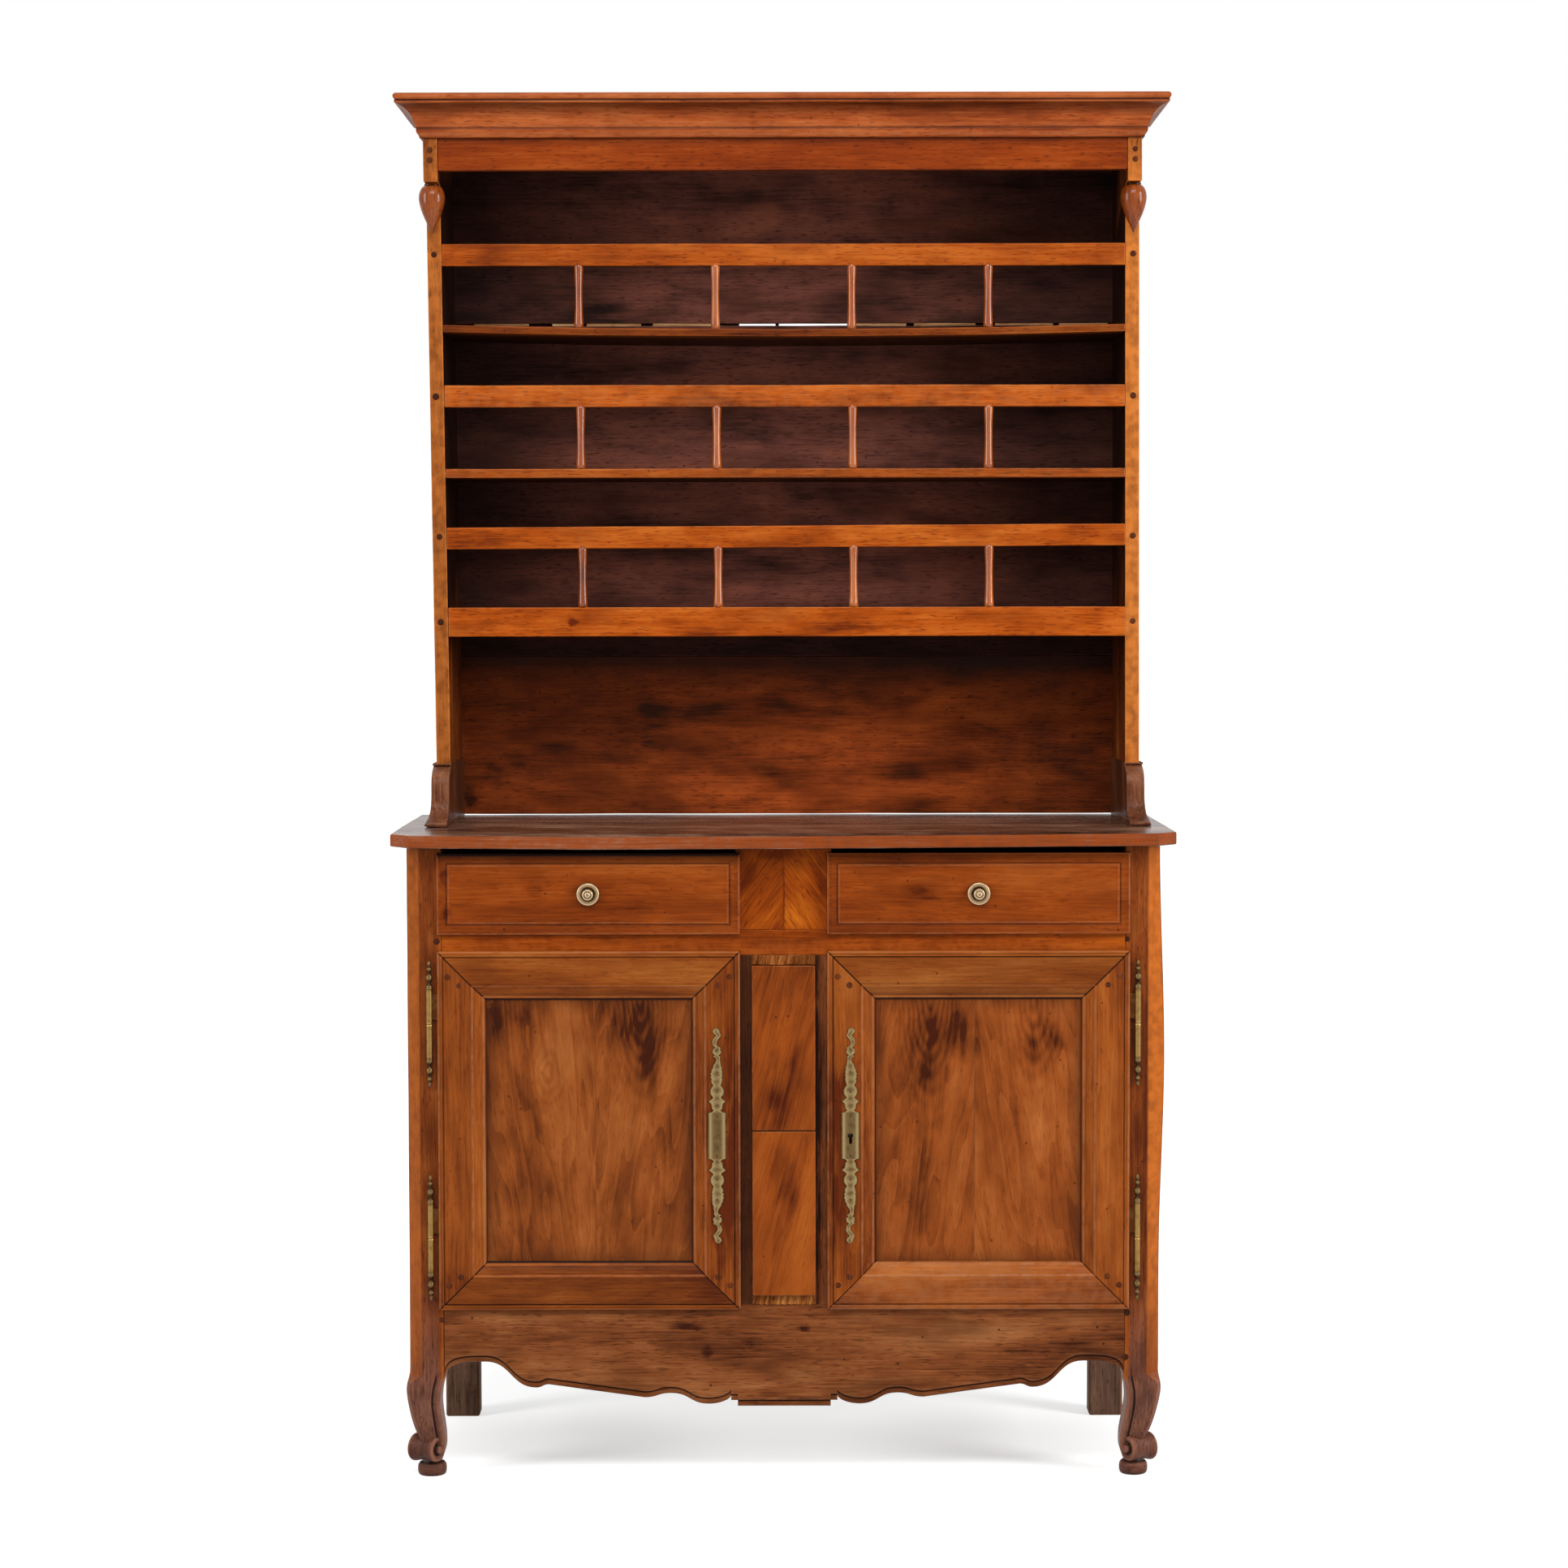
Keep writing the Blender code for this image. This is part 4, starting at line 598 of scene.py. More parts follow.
class Shape:
    """Mesh in the making, whose points keep their place in the grain and their tone.

    A tone above 0 is rubbed light, as on an edge, and also paints light and highlights; one below 0 is dark
    with old wax and also paints shade.
    """

    def __init__(self) -> None:
        """Start an empty mesh."""
        self.mesh = bmesh.new()
        self.grain = self.mesh.verts.layers.float_vector.new("grain")
        self.tone = self.mesh.verts.layers.float.new("tone")

    def dot(self, place: Vector, tone: float, stock: Stock) -> bmesh.types.BMVert:
        """Add one point of a board.

        Args:
            place: its place before wear.
            tone: its tone before shade.
            stock: the board.

        Returns:
            The point.
        """
        vert = self.mesh.verts.new(stock.worn(place))
        vert[self.grain] = stock.fibre(place)
        vert[self.tone] = tone + (stock.shade(place) if stock.shade else 0.0)
        return vert

    def loft(self, rings: Sequence[Sequence[Point]], stock: Stock) -> None:
        """Add a closed solid through rings of equally many points.

        Args:
            rings: places and tones, ring by ring.
            stock: the board.
        """
        loops = [[self.dot(Vector(point[:3]), point[3], stock) for point in ring] for ring in rings]
        count = len(loops[0])
        faces = [self.mesh.faces.new(loops[0][::-1]), self.mesh.faces.new(loops[-1])]
        for low, high in zip(loops, loops[1:]):
            for i in range(count):
                j = (i + 1) % count
                faces.append(self.mesh.faces.new((low[i], low[j], high[j], high[i])))
        bmesh.ops.recalc_face_normals(self.mesh, faces=faces)

    def turned(
            self, profile: Sequence[Row], centre: Sequence[float], axis: Sequence[float], segments: int,
            stock: Stock) -> None:
        """Add a turned solid.

        Args:
            profile: radius, height along the axis and tone, from end to end.
            centre: place of height 0.
            axis: direction of the axis.
            segments: steps round the axis.
            stock: the wood or metal.
        """
        turn = Vector((0, 0, 1)).rotation_difference(Vector(axis)).to_matrix()
        rings = []
        for radius, height, tone in profile:
            angles = [math.tau * step / segments for step in range(segments)]
            spots = [turn @ Vector((radius * math.cos(a), radius * math.sin(a), height)) for a in angles]
            rings.append([(*(Vector(centre) + spot), tone) for spot in spots])
        self.loft(rings, stock)

    def board(
            self, low: Sequence[float], high: Sequence[float], stock: Stock, radius: float,
            pitch: float = 0.06, tone: float = 0.0) -> None:
        """Add a board with eased edges.

        Args:
            low: its lowest corner.
            high: its highest corner.
            stock: the board.
            radius: easing of its edges.
            pitch: spacing of the points on its faces.
            tone: tone of its faces.
        """
        stops = []
        for start, end in zip(low, high):
            ease = min(radius, (end - start) / 4)
            inner = [start + ease * share for share in (0, 0.35, 1, 1.6)]
            outer = [end - ease * share for share in (1.6, 1, 0.35, 0)]
            parts = max(1, round((end - start) / pitch))
            first, last = inner[-1], outer[0]
            stops.append(inner + [first + (last - first) * k / parts for k in range(1, parts)] + outer)
        made: dict[tuple[int, ...], bmesh.types.BMVert] = {}

        def corner(key: tuple[int, ...]) -> bmesh.types.BMVert:
            """Point of the eased surface at a grid place.

            Args:
                key: steps along the three axes.

            Returns:
                The point.
            """
            if key not in made:
                spot = Vector([stops[axis][key[axis]] for axis in range(3)])
                core = Vector(
                    [min(max(spot[k], low[k] + radius), high[k] - radius) if high[k] - low[k] > 2 * radius
                    else (low[k] + high[k]) / 2 for k in range(3)])
                push = spot - core
                edges = sum(abs(value) > 1e-7 for value in push)
                # eased edges get a lighter tone: wear and painted highlight
                edge = 0.0
                if edges > 1:
                    edge = sorted(abs(value) for value in push)[1] / max(abs(value) for value in push)
                    if all(high[k] - low[k] > 2 * radius for k in range(3)):
                        spot = core + push.normalized() * radius
                made[key] = self.dot(spot, tone + edge, stock)
            return made[key]

        for axis in range(3):
            first, second = (axis + 1) % 3, (axis + 2) % 3
            for level in (0, len(stops[axis]) - 1):
                for i in range(len(stops[first]) - 1):
                    for j in range(len(stops[second]) - 1):
                        keys = []
                        for a, b in ((i, j), (i + 1, j), (i + 1, j + 1), (i, j + 1)):
                            key = [0, 0, 0]
                            key[axis], key[first], key[second] = level, a, b
                            keys.append(tuple(key))
                        self.mesh.faces.new([corner(key) for key in (keys if level else keys[::-1])])

    def slab(
            self, outline: Sequence[Pair], axis: Axis, start: float, end: float, stock: Stock,
            radius: float) -> None:
        """Add a flat outline carried along an axis, with eased edges.

        Args:
            outline: its corners in order.
            axis: axis that the outline leaves out.
            start: first level on that axis.
            end: last level.
            stock: the board.
            radius: easing of its edges.
        """
        count = len(outline)
        area = sum(
            outline[i][0] * outline[(i + 1) % count][1] - outline[(i + 1) % count][0] * outline[i][1]
            for i in range(count))
        spin = 1 if area > 0 else -1
        inward = []
        for i in range(count):
            before, here, after = (Vector(outline[(i + k) % count]) for k in (-1, 0, 1))
            one, two = (here - before).normalized(), (after - here).normalized()
            middle = (one + two) if (one + two).length > 1e-3 else one
            normal = spin * Vector((-middle.y, middle.x)).normalized()
            lean = max(0.5, abs(normal.dot(spin * Vector((-one.y, one.x)))))
            inward.append(normal / lean)
        way = 1 if end > start else -1
        # the third value lightens the eased edges: wear and painted highlight
        steps = ((1.6, 0, 0), (1, 0, 0.1), (0.29, 0.29, 1), (0, 1, 0.1), (0, 1.6, 0))
        levels = [(inset * radius, start + way * depth * radius, edge) for inset, depth, edge in steps]
        levels += [
            (inset * radius, end - way * depth * radius, edge) for inset, depth, edge in reversed(steps)]
        rings = []
        for inset, level, edge in levels:
            ring = []
            for (first, second), normal in zip(outline, inward):
                spot = axis.place(first + normal.x * inset, second + normal.y * inset, level)
                ring.append((*spot, edge))
            rings.append(ring)
        self.loft(rings, stock)


def curve(
        start: Sequence[float], handle: Sequence[float], handle_end: Sequence[float], end: Sequence[float],
        steps: int) -> list[Pair]:
    """Points on a flat cubic curve, without its first point.

    Args:
        start: first point.
        handle: its handle.
        handle_end: handle of the last point.
        end: last point.
        steps: number of points.

    Returns:
        The points in order.
    """
    points = []
    for step in range(1, steps + 1):
        t = step / steps
        weights = ((1 - t) ** 3, 3 * t * (1 - t) ** 2, 3 * t * t * (1 - t), t ** 3)
        corners = (start, handle, handle_end, end)
        points.append(tuple(sum(w * c[k] for w, c in zip(weights, corners)) for k in (0, 1)))
    return points


def level_curve(start: Sequence[float], end: Sequence[float], steps: int) -> list[Pair]:
    """Curve between two points that is level at both ends, without its first point."""
    middle = (start[0] + end[0]) / 2
    return curve(start, (middle, start[1]), (middle, end[1]), end, steps)


def smoothed(rows: Sequence[Sequence[float]], steps: int) -> list[tuple[float, ...]]:
    """Rows of numbers with a smooth curve through them.

    Args:
        rows: rows of equally many numbers.
        steps: new rows for each old one.

    Returns:
        The denser rows.
    """
    dense = []
    last = len(rows) - 1
    for i in range(last):
        before, here, there, after = rows[max(i - 1, 0)], rows[i], rows[i + 1], rows[min(i + 2, last)]
        for step in range(steps):
            t = step / steps
            dense.append(tuple(
                0.5 * (2 * b + (c - a) * t + (2 * a - 5 * b + 4 * c - d) * t ** 2
                       + (3 * b - a - 3 * c + d) * t ** 3)
                for a, b, c, d in zip(before, here, there, after)))
    dense.append(tuple(rows[last]))
    return dense


def placed(name: str, data: bpy.types.ID) -> bpy.types.Object:
    """New object, linked to the scene.

    Args:
        name: its name.
        data: its mesh, lamp or camera.

    Returns:
        The object.
    """
    made = bpy.data.objects.new(name, data)
    bpy.context.scene.collection.objects.link(made)
    return made


def settle(piece: bpy.types.Object, modifier: bpy.types.Modifier) -> None:
    """Make the result of a modifier the plain mesh of its piece.

    Args:
        piece: the piece.
        modifier: its modifier, which is removed.
    """
    graph = bpy.context.evaluated_depsgraph_get()
    mesh = bpy.data.meshes.new_from_object(piece.evaluated_get(graph))
    piece.modifiers.remove(modifier)
    piece.data = mesh


def attach(piece: bpy.types.Object, body: str, nodes: Sequence[str]) -> None:
    """Make a piece ride on its body and stand for its nodes.

    Args:
        piece: the finished piece.
        body: body that carries it.
        nodes: nodes that it replaces.
    """
    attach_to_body(piece, body)
    if nodes:
        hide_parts(*nodes)
    LOG.info("%s rides on %s, %d faces", piece.name, body, len(piece.data.polygons))


def dress(name: str, shape: Shape, finish: Finish, body: str, *nodes: str) -> bpy.types.Object:
    """Turn a shape into a finished piece.

    Args:
        name: name of the piece.
        shape: its mesh.
        finish: its finish.
        body: body that carries it.
        nodes: nodes that it replaces.

    Returns:
        The piece.
    """
    mesh = bpy.data.meshes.new(name)
    shape.mesh.to_mesh(mesh)
    shape.mesh.free()
    mesh.materials.append(finish.material())
    mesh.shade_smooth()
    mesh.set_sharp_from_angle(angle=SMOOTH_ANGLE)
    piece = placed(name, mesh)
    attach(piece, body, nodes)
    return piece


def dress_board(
        name: str, node: str, finish: Finish, stock: Stock, radius: float, pitch: float = 0.06) -> None:
    """Build and dress a board of the base that fills the box of its node.

    Args:
        name: name of the piece.
        node: node that it replaces.
        finish: its finish.
        stock: the board.
        radius: easing of its edges.
        pitch: spacing of its points.
    """
    shape = Shape()
    shape.board(*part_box(node), stock, radius, pitch)
    dress(name, shape, finish, "base", node)


def drill(piece: bpy.types.Object, outline: Sequence[Pair], front: float, back: float) -> None:
    """Cut an opening through a piece from front to back.

    Args:
        piece: the piece.
        outline: X and Z of the opening.
        front: Y before the piece.
        back: Y behind it.
    """
    tool_shape = Shape()
    tool_shape.loft(
        [[(x, level, z, -1.0) for x, z in outline] for level in (front, back)], Stock(wobble=0.0))
    mesh = bpy.data.meshes.new("drill")
    tool_shape.mesh.to_mesh(mesh)
    tool_shape.mesh.free()
    tool = placed("drill", mesh)
    cut = piece.modifiers.new("Keyhole", "BOOLEAN")
    cut.operation, cut.solver, cut.object = "DIFFERENCE", "EXACT", tool
    settle(piece, cut)
    bpy.data.objects.remove(tool)


class NodeKit:
    """Geometry Nodes trees for the small pieces that repeat."""

    @staticmethod
    def start(name: str, sizes: dict[str, float]) -> tuple[Tree, bpy.types.Node]:
        """Start a tree with named inputs.

        Args:
            name: name of the tree.
            sizes: names and first values of its inputs.

        Returns:
            The tree and its input node.
        """
        tree = bpy.data.node_groups.new(name, "GeometryNodeTree")
        tree.interface.new_socket("Points", in_out="INPUT", socket_type="NodeSocketGeometry")
        for label, value in sizes.items():
            tree.interface.new_socket(
                label, in_out="INPUT", socket_type="NodeSocketFloat").default_value = value
        tree.interface.new_socket("Finish", in_out="INPUT", socket_type="NodeSocketMaterial")
        tree.interface.new_socket("Pieces", in_out="OUTPUT", socket_type="NodeSocketGeometry")
        return tree, tree.nodes.new("NodeGroupInput")

    @staticmethod
    def end(tree: Tree, given: bpy.types.Node, instances: Socket) -> None:
        """Close a tree: real meshes with their grain, shaded smooth, with the finish.

        Args:
            tree: the tree.
            given: its input node.
            instances: output with the instances.
        """
        add = partial(add_node, tree)
        real = add("GeometryNodeRealizeInstances", {"Geometry": instances})
        spot = add("GeometryNodeInputPosition")
        turned = add("VectorRotate", {"Vector": spot, "Angle": math.pi / 2, "Axis": (0, 1, 0)})
        grain = add(
            "GeometryNodeStoreNamedAttribute", {"Geometry": real, "Name": "grain", "Value": turned},
            data_type="FLOAT_VECTOR")
        smooth = add("GeometryNodeSetShadeSmooth", {"Geometry": grain})
        dressed = add("GeometryNodeSetMaterial", {"Geometry": smooth, "Material": given.outputs["Finish"]})
        add("NodeGroupOutput", {"Pieces": dressed})

    @staticmethod
    def heads() -> Tree:
        """Tree that sets a domed head, of slightly uneven size, on every point.

        Returns:
            The tree.
        """
        tree, given = NodeKit.start("domed_heads", {"Radius": 0.005, "Proud": 0.001})
        add = partial(add_node, tree)
        dome = add("GeometryNodeMeshUVSphere", {"Segments": 14, "Rings": 8, "Radius": 1.0})
        uneven = add("FunctionNodeRandomValue", {"Min": 0.85, "Max": 1.12, "Seed": 5}, "Value")
        radius, proud = given.outputs["Radius"], given.outputs["Proud"]
        size = add("CombineXYZ", {0: radius, 1: proud, 2: radius})
        size = add("VectorMath", {0: size, "Scale": uneven}, operation="SCALE")
        heads = add(
            "GeometryNodeInstanceOnPoints",
            {"Points": given.outputs["Points"], "Instance": dome, "Scale": size})
        NodeKit.end(tree, given, heads)
        return tree

    @staticmethod
    def spindles() -> Tree:
        """Tree that stands a waisted spindle, as tall as the point says, on every point.

        Returns:
            The tree.
        """
        tree, given = NodeKit.start("waisted_spindles", {"End Radius": 0.0068, "Waist Radius": 0.0046})
        add = partial(add_node, tree)
        rod = add(
            "GeometryNodeMeshCylinder", {"Vertices": 16, "Side Segments": 14, "Radius": 1.0, "Depth": 1.0},
            fill_type="NGON")
        spot = add("GeometryNodeInputPosition")
        height = add("SeparateXYZ", {0: spot}, "Z")
        swell = add("Math", {0: height, 1: height}, operation="MULTIPLY")
        swell = add("Math", {0: swell, 1: 4.0}, operation="MULTIPLY")
        radius = add("Mix", {0: swell, 2: given.outputs["Waist Radius"], 3: given.outputs["End Radius"]})
        size = add("CombineXYZ", {0: radius, 1: radius, 2: 1.0})
        shaped = add("VectorMath", {0: spot, 1: size, 2: (0, 0, 0.5)}, operation="MULTIPLY_ADD")
        rod = add("GeometryNodeSetPosition", {"Geometry": rod, "Position": shaped})
        tall = add("GeometryNodeInputNamedAttribute", {"Name": "tall"}, data_type="FLOAT")
        stretch = add("CombineXYZ", {0: 1.0, 1: 1.0, 2: tall})
        rods = add(
            "GeometryNodeInstanceOnPoints",
            {"Points": given.outputs["Points"], "Instance": rod, "Scale": stretch})
        NodeKit.end(tree, given, rods)
        return tree

    @staticmethod
    def grow(
            name: str, tree: Tree, points: Sequence[Sequence[float]], sizes: dict[str, float],
            finish: Finish, body: str, talls: Sequence[float] = ()) -> None:
        """Run a tree on points and keep the result as one plain mesh.

        Args:
            name: name of the piece.
            tree: the tree.
            points: places of the repeated pieces.
            sizes: values of the tree's inputs by name.
            finish: finish of the piece.
            body: body that carries it.
            talls: height at each point, where the tree asks for one.
        """
        mesh = bpy.data.meshes.new(f"{name}_points")
        mesh.from_pydata([tuple(point) for point in points], [], [])
        if talls:
            mesh.attributes.new("tall", "FLOAT", "POINT").data.foreach_set("value", list(talls))
        piece = placed(name, mesh)
        maker = piece.modifiers.new("Repeat", "NODES")
        maker.node_group = tree
        for item in tree.interface.items_tree:
            if item.in_out == "INPUT" and item.name in sizes:
                maker[item.identifier] = sizes[item.name]
            elif item.name == "Finish":
                maker[item.identifier] = finish.material()
        settle(piece, maker)
        attach(piece, body, ())


@dataclass
class Cornice:
    """Frieze rail, mitred moulding and nosed cap over the rack."""

    projection: float = 0.0425
    nosing: float = 0.0055
    border: float = 0.02
    parts: int = 20
    # share of the projection, share of the height and tone, from the frieze up; the tones paint shade into
    # the top of the cove and highlights on the rounds, with dark lines in the quirks
    profile: tuple[Row, ...] = (
        (0, 0, -1), (0.07, 0, -1), (0.085, 0.02, -0.5), (0.1, 0.06, 0.3), (0.125, 0.09, 0.9),
        (0.16, 0.125, 0.9), (0.19, 0.165, 0.3), (0.205, 0.21, -0.2), (0.205, 0.245, -0.5),
        (0.192, 0.265, -0.8), (0.192, 0.29, -0.7), (0.21, 0.31, 0.2), (0.235, 0.34, 0.7),
        (0.255, 0.385, 0.4), (0.285, 0.45, 0.1), (0.33, 0.54, 0), (0.395, 0.63, -0.12),
        (0.48, 0.715, -0.25), (0.59, 0.795, -0.45), (0.71, 0.86, -0.6), (0.82, 0.9, -0.6),
        (0.9, 0.914, -0.4), (0.93, 0.922, 0.3), (0.965, 0.932, 0.5), (0.975, 0.955, 0.1),
        (0.965, 0.968, -0.9), (0.965, 1, -1), (0, 1, -1))

    def build(self) -> None:
        """Build and dress the cornice."""
        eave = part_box("cornice_moulding")[0][2]
        # painted shadow of the cornice along the top of the frieze
        cornice_shadow = Stock(
            Grain.X, 3.1, wobble=0.0006, shade=lambda p: -0.5 * max(0.0, 1 - abs(eave - p.z) / 0.014))
        dress_board("frieze_board", "frieze_rail", FRIEZE_WOOD, cornice_shadow, 0.0016, 0.012)
        self.moulding()
        low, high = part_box("cornice_cap")
        cap = Shape()
        rings = []
        middle, half = (low[2] + high[2]) / 2, (high[2] - low[2]) / 2
        turns = [math.radians(angle) for angle in (-90, -70, -45, -20, 0, 20, 45, 70, 90)]
        nosed = [(self.nosing * (1 - math.cos(a)), math.sin(a), 0.6 * math.cos(a)) for a in turns]
        for inset, rise, tone in [(self.border, -1, 0), *nosed, (self.border, 1, 0)]:
            z = middle + half * rise
            rings.append(
                [(low[0] + inset, low[1] + inset, z, tone), (high[0] - inset, low[1] + inset, z, tone),
                (high[0] - inset, high[1], z, tone), (low[0] + inset, high[1], z, tone)])
        cap.loft(rings, Stock(Grain.X, 5.2, wobble=0.0))
        dress("nosed_cap", cap, CORNICE_WOOD, "base", "cornice_cap")

    def moulding(self) -> None:
        """Build the moulding as a front length and two returns, mitred at the corners."""
        low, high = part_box("cornice_moulding")
        reach, tall = self.projection, high[2] - low[2]
        inner_x, inner_y, rear = high[0] - reach, low[1] + reach, high[1]
        path = (
            (-inner_x, rear, -1, 0), (-inner_x, inner_y, -1, -1), (inner_x, inner_y, 1, -1),
            (inner_x, rear, 1, 0))
        shape = Shape()
        for number, (start, end) in enumerate(zip(path, path[1:])):
            parts = self.parts if number == 1 else 5
            rings = []
            for part in range(parts + 1):
                share = part / parts
                x, y, out_x, out_y = (a + (b - a) * share for a, b in zip(start, end))
                if number == 1:
                    out_y = -1
                else:
                    out_x = start[2] if number == 0 else end[2]
                rings.append(
                    [(x + out_x * reach * out, y + out_y * reach * out, low[2] + tall * up, tone)
                    for out, up, tone in self.profile])
            shape.loft(rings, Stock(Grain.X if number == 1 else Grain.Y, 1.3 + number, wobble=0.0005))
        dress("mitred_moulding", shape, CORNICE_WOOD, "base", "cornice_moulding")


@dataclass
class RackEnd:
    """One end of the rack: a leaning upright with its head, a console foot and a turned pendant."""

    side: Side
    width: float = 1.191
    thickness: float = 0.0235
    left_lean: float = 0.0135
    right_lean: float = -0.0035
    head_front: float = -0.0305
    head_bottom: float = 2.1237
    bay_top: float = 1.3704
    overhang: float = 0.055
    easing: float = 0.0022
    pitch: float = 0.06

    def build(self) -> None:
        """Build and dress the end."""
        self.upright()
        self.foot()
        self.pendant()

    def lean(self, place: Vector) -> Vector:
        """Lean of the upright towards the middle, more near its foot.

        Args:
            place: a place on the straight upright.

        Returns:
            The place after the lean.
        """
        amount = self.left_lean if self.side is Side.LEFT else self.right_lean
        share = (RACK_TOP - place.z) / (RACK_TOP - COUNTER_TOP)
        return Vector((place.x - self.side.value * amount * share, place.y, place.z))

    def upright(self) -> None:
        """Build the upright with its head."""
        side, word, head = self.side, self.side.word, self.head_bottom
        low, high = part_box(f"rack_side_{word}")
        rear, foot = high[1], low[2]
        outline = [
            (RACK_FRONT, foot), (rear, foot), (rear, RACK_TOP), (self.head_front, RACK_TOP),
            (self.head_front, head), (RACK_FRONT, head)]
        dense = []
        for (y0, z0), (y1, z1) in zip(outline, outline[1:] + outline[:1]):
            parts = max(1, round(math.hypot(y1 - y0, z1 - z0) / self.pitch))
            dense += [(y0 + (y1 - y0) * k / parts, z0 + (z1 - z0) * k / parts) for k in range(parts)]
        outer = side.value * self.width / 2
        # painted light on the front edge, stronger on the right
        glow = 0.5 if side is Side.LEFT else 0.9

        def shade(place: Vector) -> float:
            """Painted light and wear on the front edge, brighter on the right, and painted shade inside.

            Args:
                place: a place on the upright.

            Returns:
                Its tone.
            """
            if place.y < RACK_FRONT + 0.0005:
                return glow if place.z < head else 0.15
            if abs(place.x) > self.width / 2 - self.thickness + 0.001:
                return 0.0
            return -1.1 if place.z > self.bay_top else -0.12

        shape = Shape()
        shape.slab(
            dense, Axis.X, outer, outer - side.value * self.thickness,
            Stock(Grain.Z, 7.0 + side.value, warp=self.lean, shade=shade), 0.0013)
        dress(f"rack_upright_{word}", shape, SIDE_WOOD, "base", f"rack_side_{word}")

    def foot(self) -> None:
        """Build the console foot: a collar, a hollow front and a worn, crumbled toe."""
        side, word, ease = self.side, self.side.word, self.easing
        low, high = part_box(f"rack_foot_{word}")
        toe, rear, bottom, top = low[1], high[1], low[2], high[2]
        waist = RACK_FRONT - self.overhang
        # height over the counter, front, growth of each side and tone; the tones paint a sheen on the
        # shoulder
        rows = [
            (0.0, toe, 0.0055, -0.8), (0.0025, toe, 0.0060, -0.2), (0.0050, toe + 0.001, 0.0058, 0.7),
            (0.0070, toe + 0.006, 0.0050, 0.3), (0.0105, toe + 0.018, 0.0036, 0.0),
            (0.0160, toe + 0.031, 0.0022, -0.1), (0.0240, waist - 0.009, 0.0010, -0.1),
            (0.0340, waist - 0.003, 0.0004, 0.0), (0.0460, waist, 0.0, 0.1),
            (0.0580, waist + 0.0005, 0.0, 0.2), (0.0700, waist + 0.002, 0.0, 0.4),
            (0.0790, waist + 0.006, 0.0, 0.6), (0.0860, waist + 0.014, 0.0, 0.7),
            (0.0910, waist + 0.024, 0.0, 0.5), (0.0945, waist + 0.035, 0.0, 0.2),
            (0.0965, waist + 0.044, 0.0, -0.5)]
        rows = smoothed(rows, 3) + [
            (0.0972, waist + 0.046, 0.0, -1.0), (0.0974, waist + 0.0445, 0.0012, -0.5),
            (0.0990, waist + 0.0430, 0.0018, 0.7), (0.1010, waist + 0.0430, 0.0018, 0.6),
            (top - bottom, waist + 0.046, 0.0010, 0.0)]
        first, last = (-0.2, -0.6) if side is Side.LEFT else (-0.6, -0.2)   # dark on the side of the bay
        rings = []
        for rise, front, grow, tone in rows:
            left = low[0] - (grow if side is Side.LEFT else 0.0)
            right = high[0] + (grow if side is Side.RIGHT else 0.0)
            steps = [left + (right - left) * share for share in (0.2, 0.4, 0.6, 0.8)]
            ring = [
                (left, rear, first), (left, RACK_FRONT, first), (left, front + 2 * ease, first),
                (left, front + ease, 0.1), (left + 0.3 * ease, front + 0.3 * ease, tone + 0.6),
                (left + ease, front, tone + 0.2)]
            ring += [(x, front, tone) for x in steps]
            ring += [
                (right - ease, front, tone + 0.2), (right - 0.3 * ease, front + 0.3 * ease, tone + 0.6),
                (right, front + ease, 0.1), (right, front + 2 * ease, last), (right, RACK_FRONT, last),
                (right, rear, last)]
            rings.append([(x, y, bottom + rise, shade) for x, y, shade in ring])

        def crumble(place: Vector) -> Vector:
            """Break the edge of the toe.

            Args:
                place: a place on the foot.

            Returns:
                The broken place.
            """
            share = clamp((waist - 0.005 - place.y) / (waist - 0.005 - toe))
            broken = noise.noise_vector(place * 150) * 0.0024 * share
            return place + Vector((broken.x, abs(broken.y), abs(broken.z)))

        shape = Shape()
        shape.loft(rings, Stock(Grain.Z, 11.0 + side.value, warp=crumble))
        dress(f"console_foot_{word}", shape, FOOT_WOOD, "base", f"rack_foot_{word}")

    def pendant(self) -> None:
        """Build the turned drop under the head."""
        side, word = self.side, self.side.word
        low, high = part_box(f"pendant_{word}")
        radius, tall = 1.06 * (high[0] - low[0]) / 2, high[2] - low[2]
        rows = (
            (0.5, 0, -0.5), (0.56, -0.015, -0.6), (0.58, -0.035, -1), (0.6, -0.055, -0.7), (0.7, -0.075, 0),
            (0.82, -0.11, 0), (0.95, -0.19, 0), (1, -0.28, 0.1), (0.97, -0.38, 0), (0.85, -0.51, 0),
            (0.67, -0.64, 0), (0.39, -0.8, 0), (0.2, -0.9, -0.2), (0.1, -0.96, -0.3), (0.03, -1, -0.3))
        profile = [(radius * max(r, 0.02), tall * h, tone) for r, h, tone in smoothed(rows, 4)]
        centre = ((low[0] + high[0]) / 2, (low[1] + high[1]) / 2, high[2])
        shape = Shape()
        shape.turned(profile, centre, (0, 0, 1), 40, Stock(Grain.Z, 15.0 + side.value, wobble=0.0))
        dress(f"turned_drop_{word}", shape, PENDANT_WOOD, "base", f"pendant_{word}")


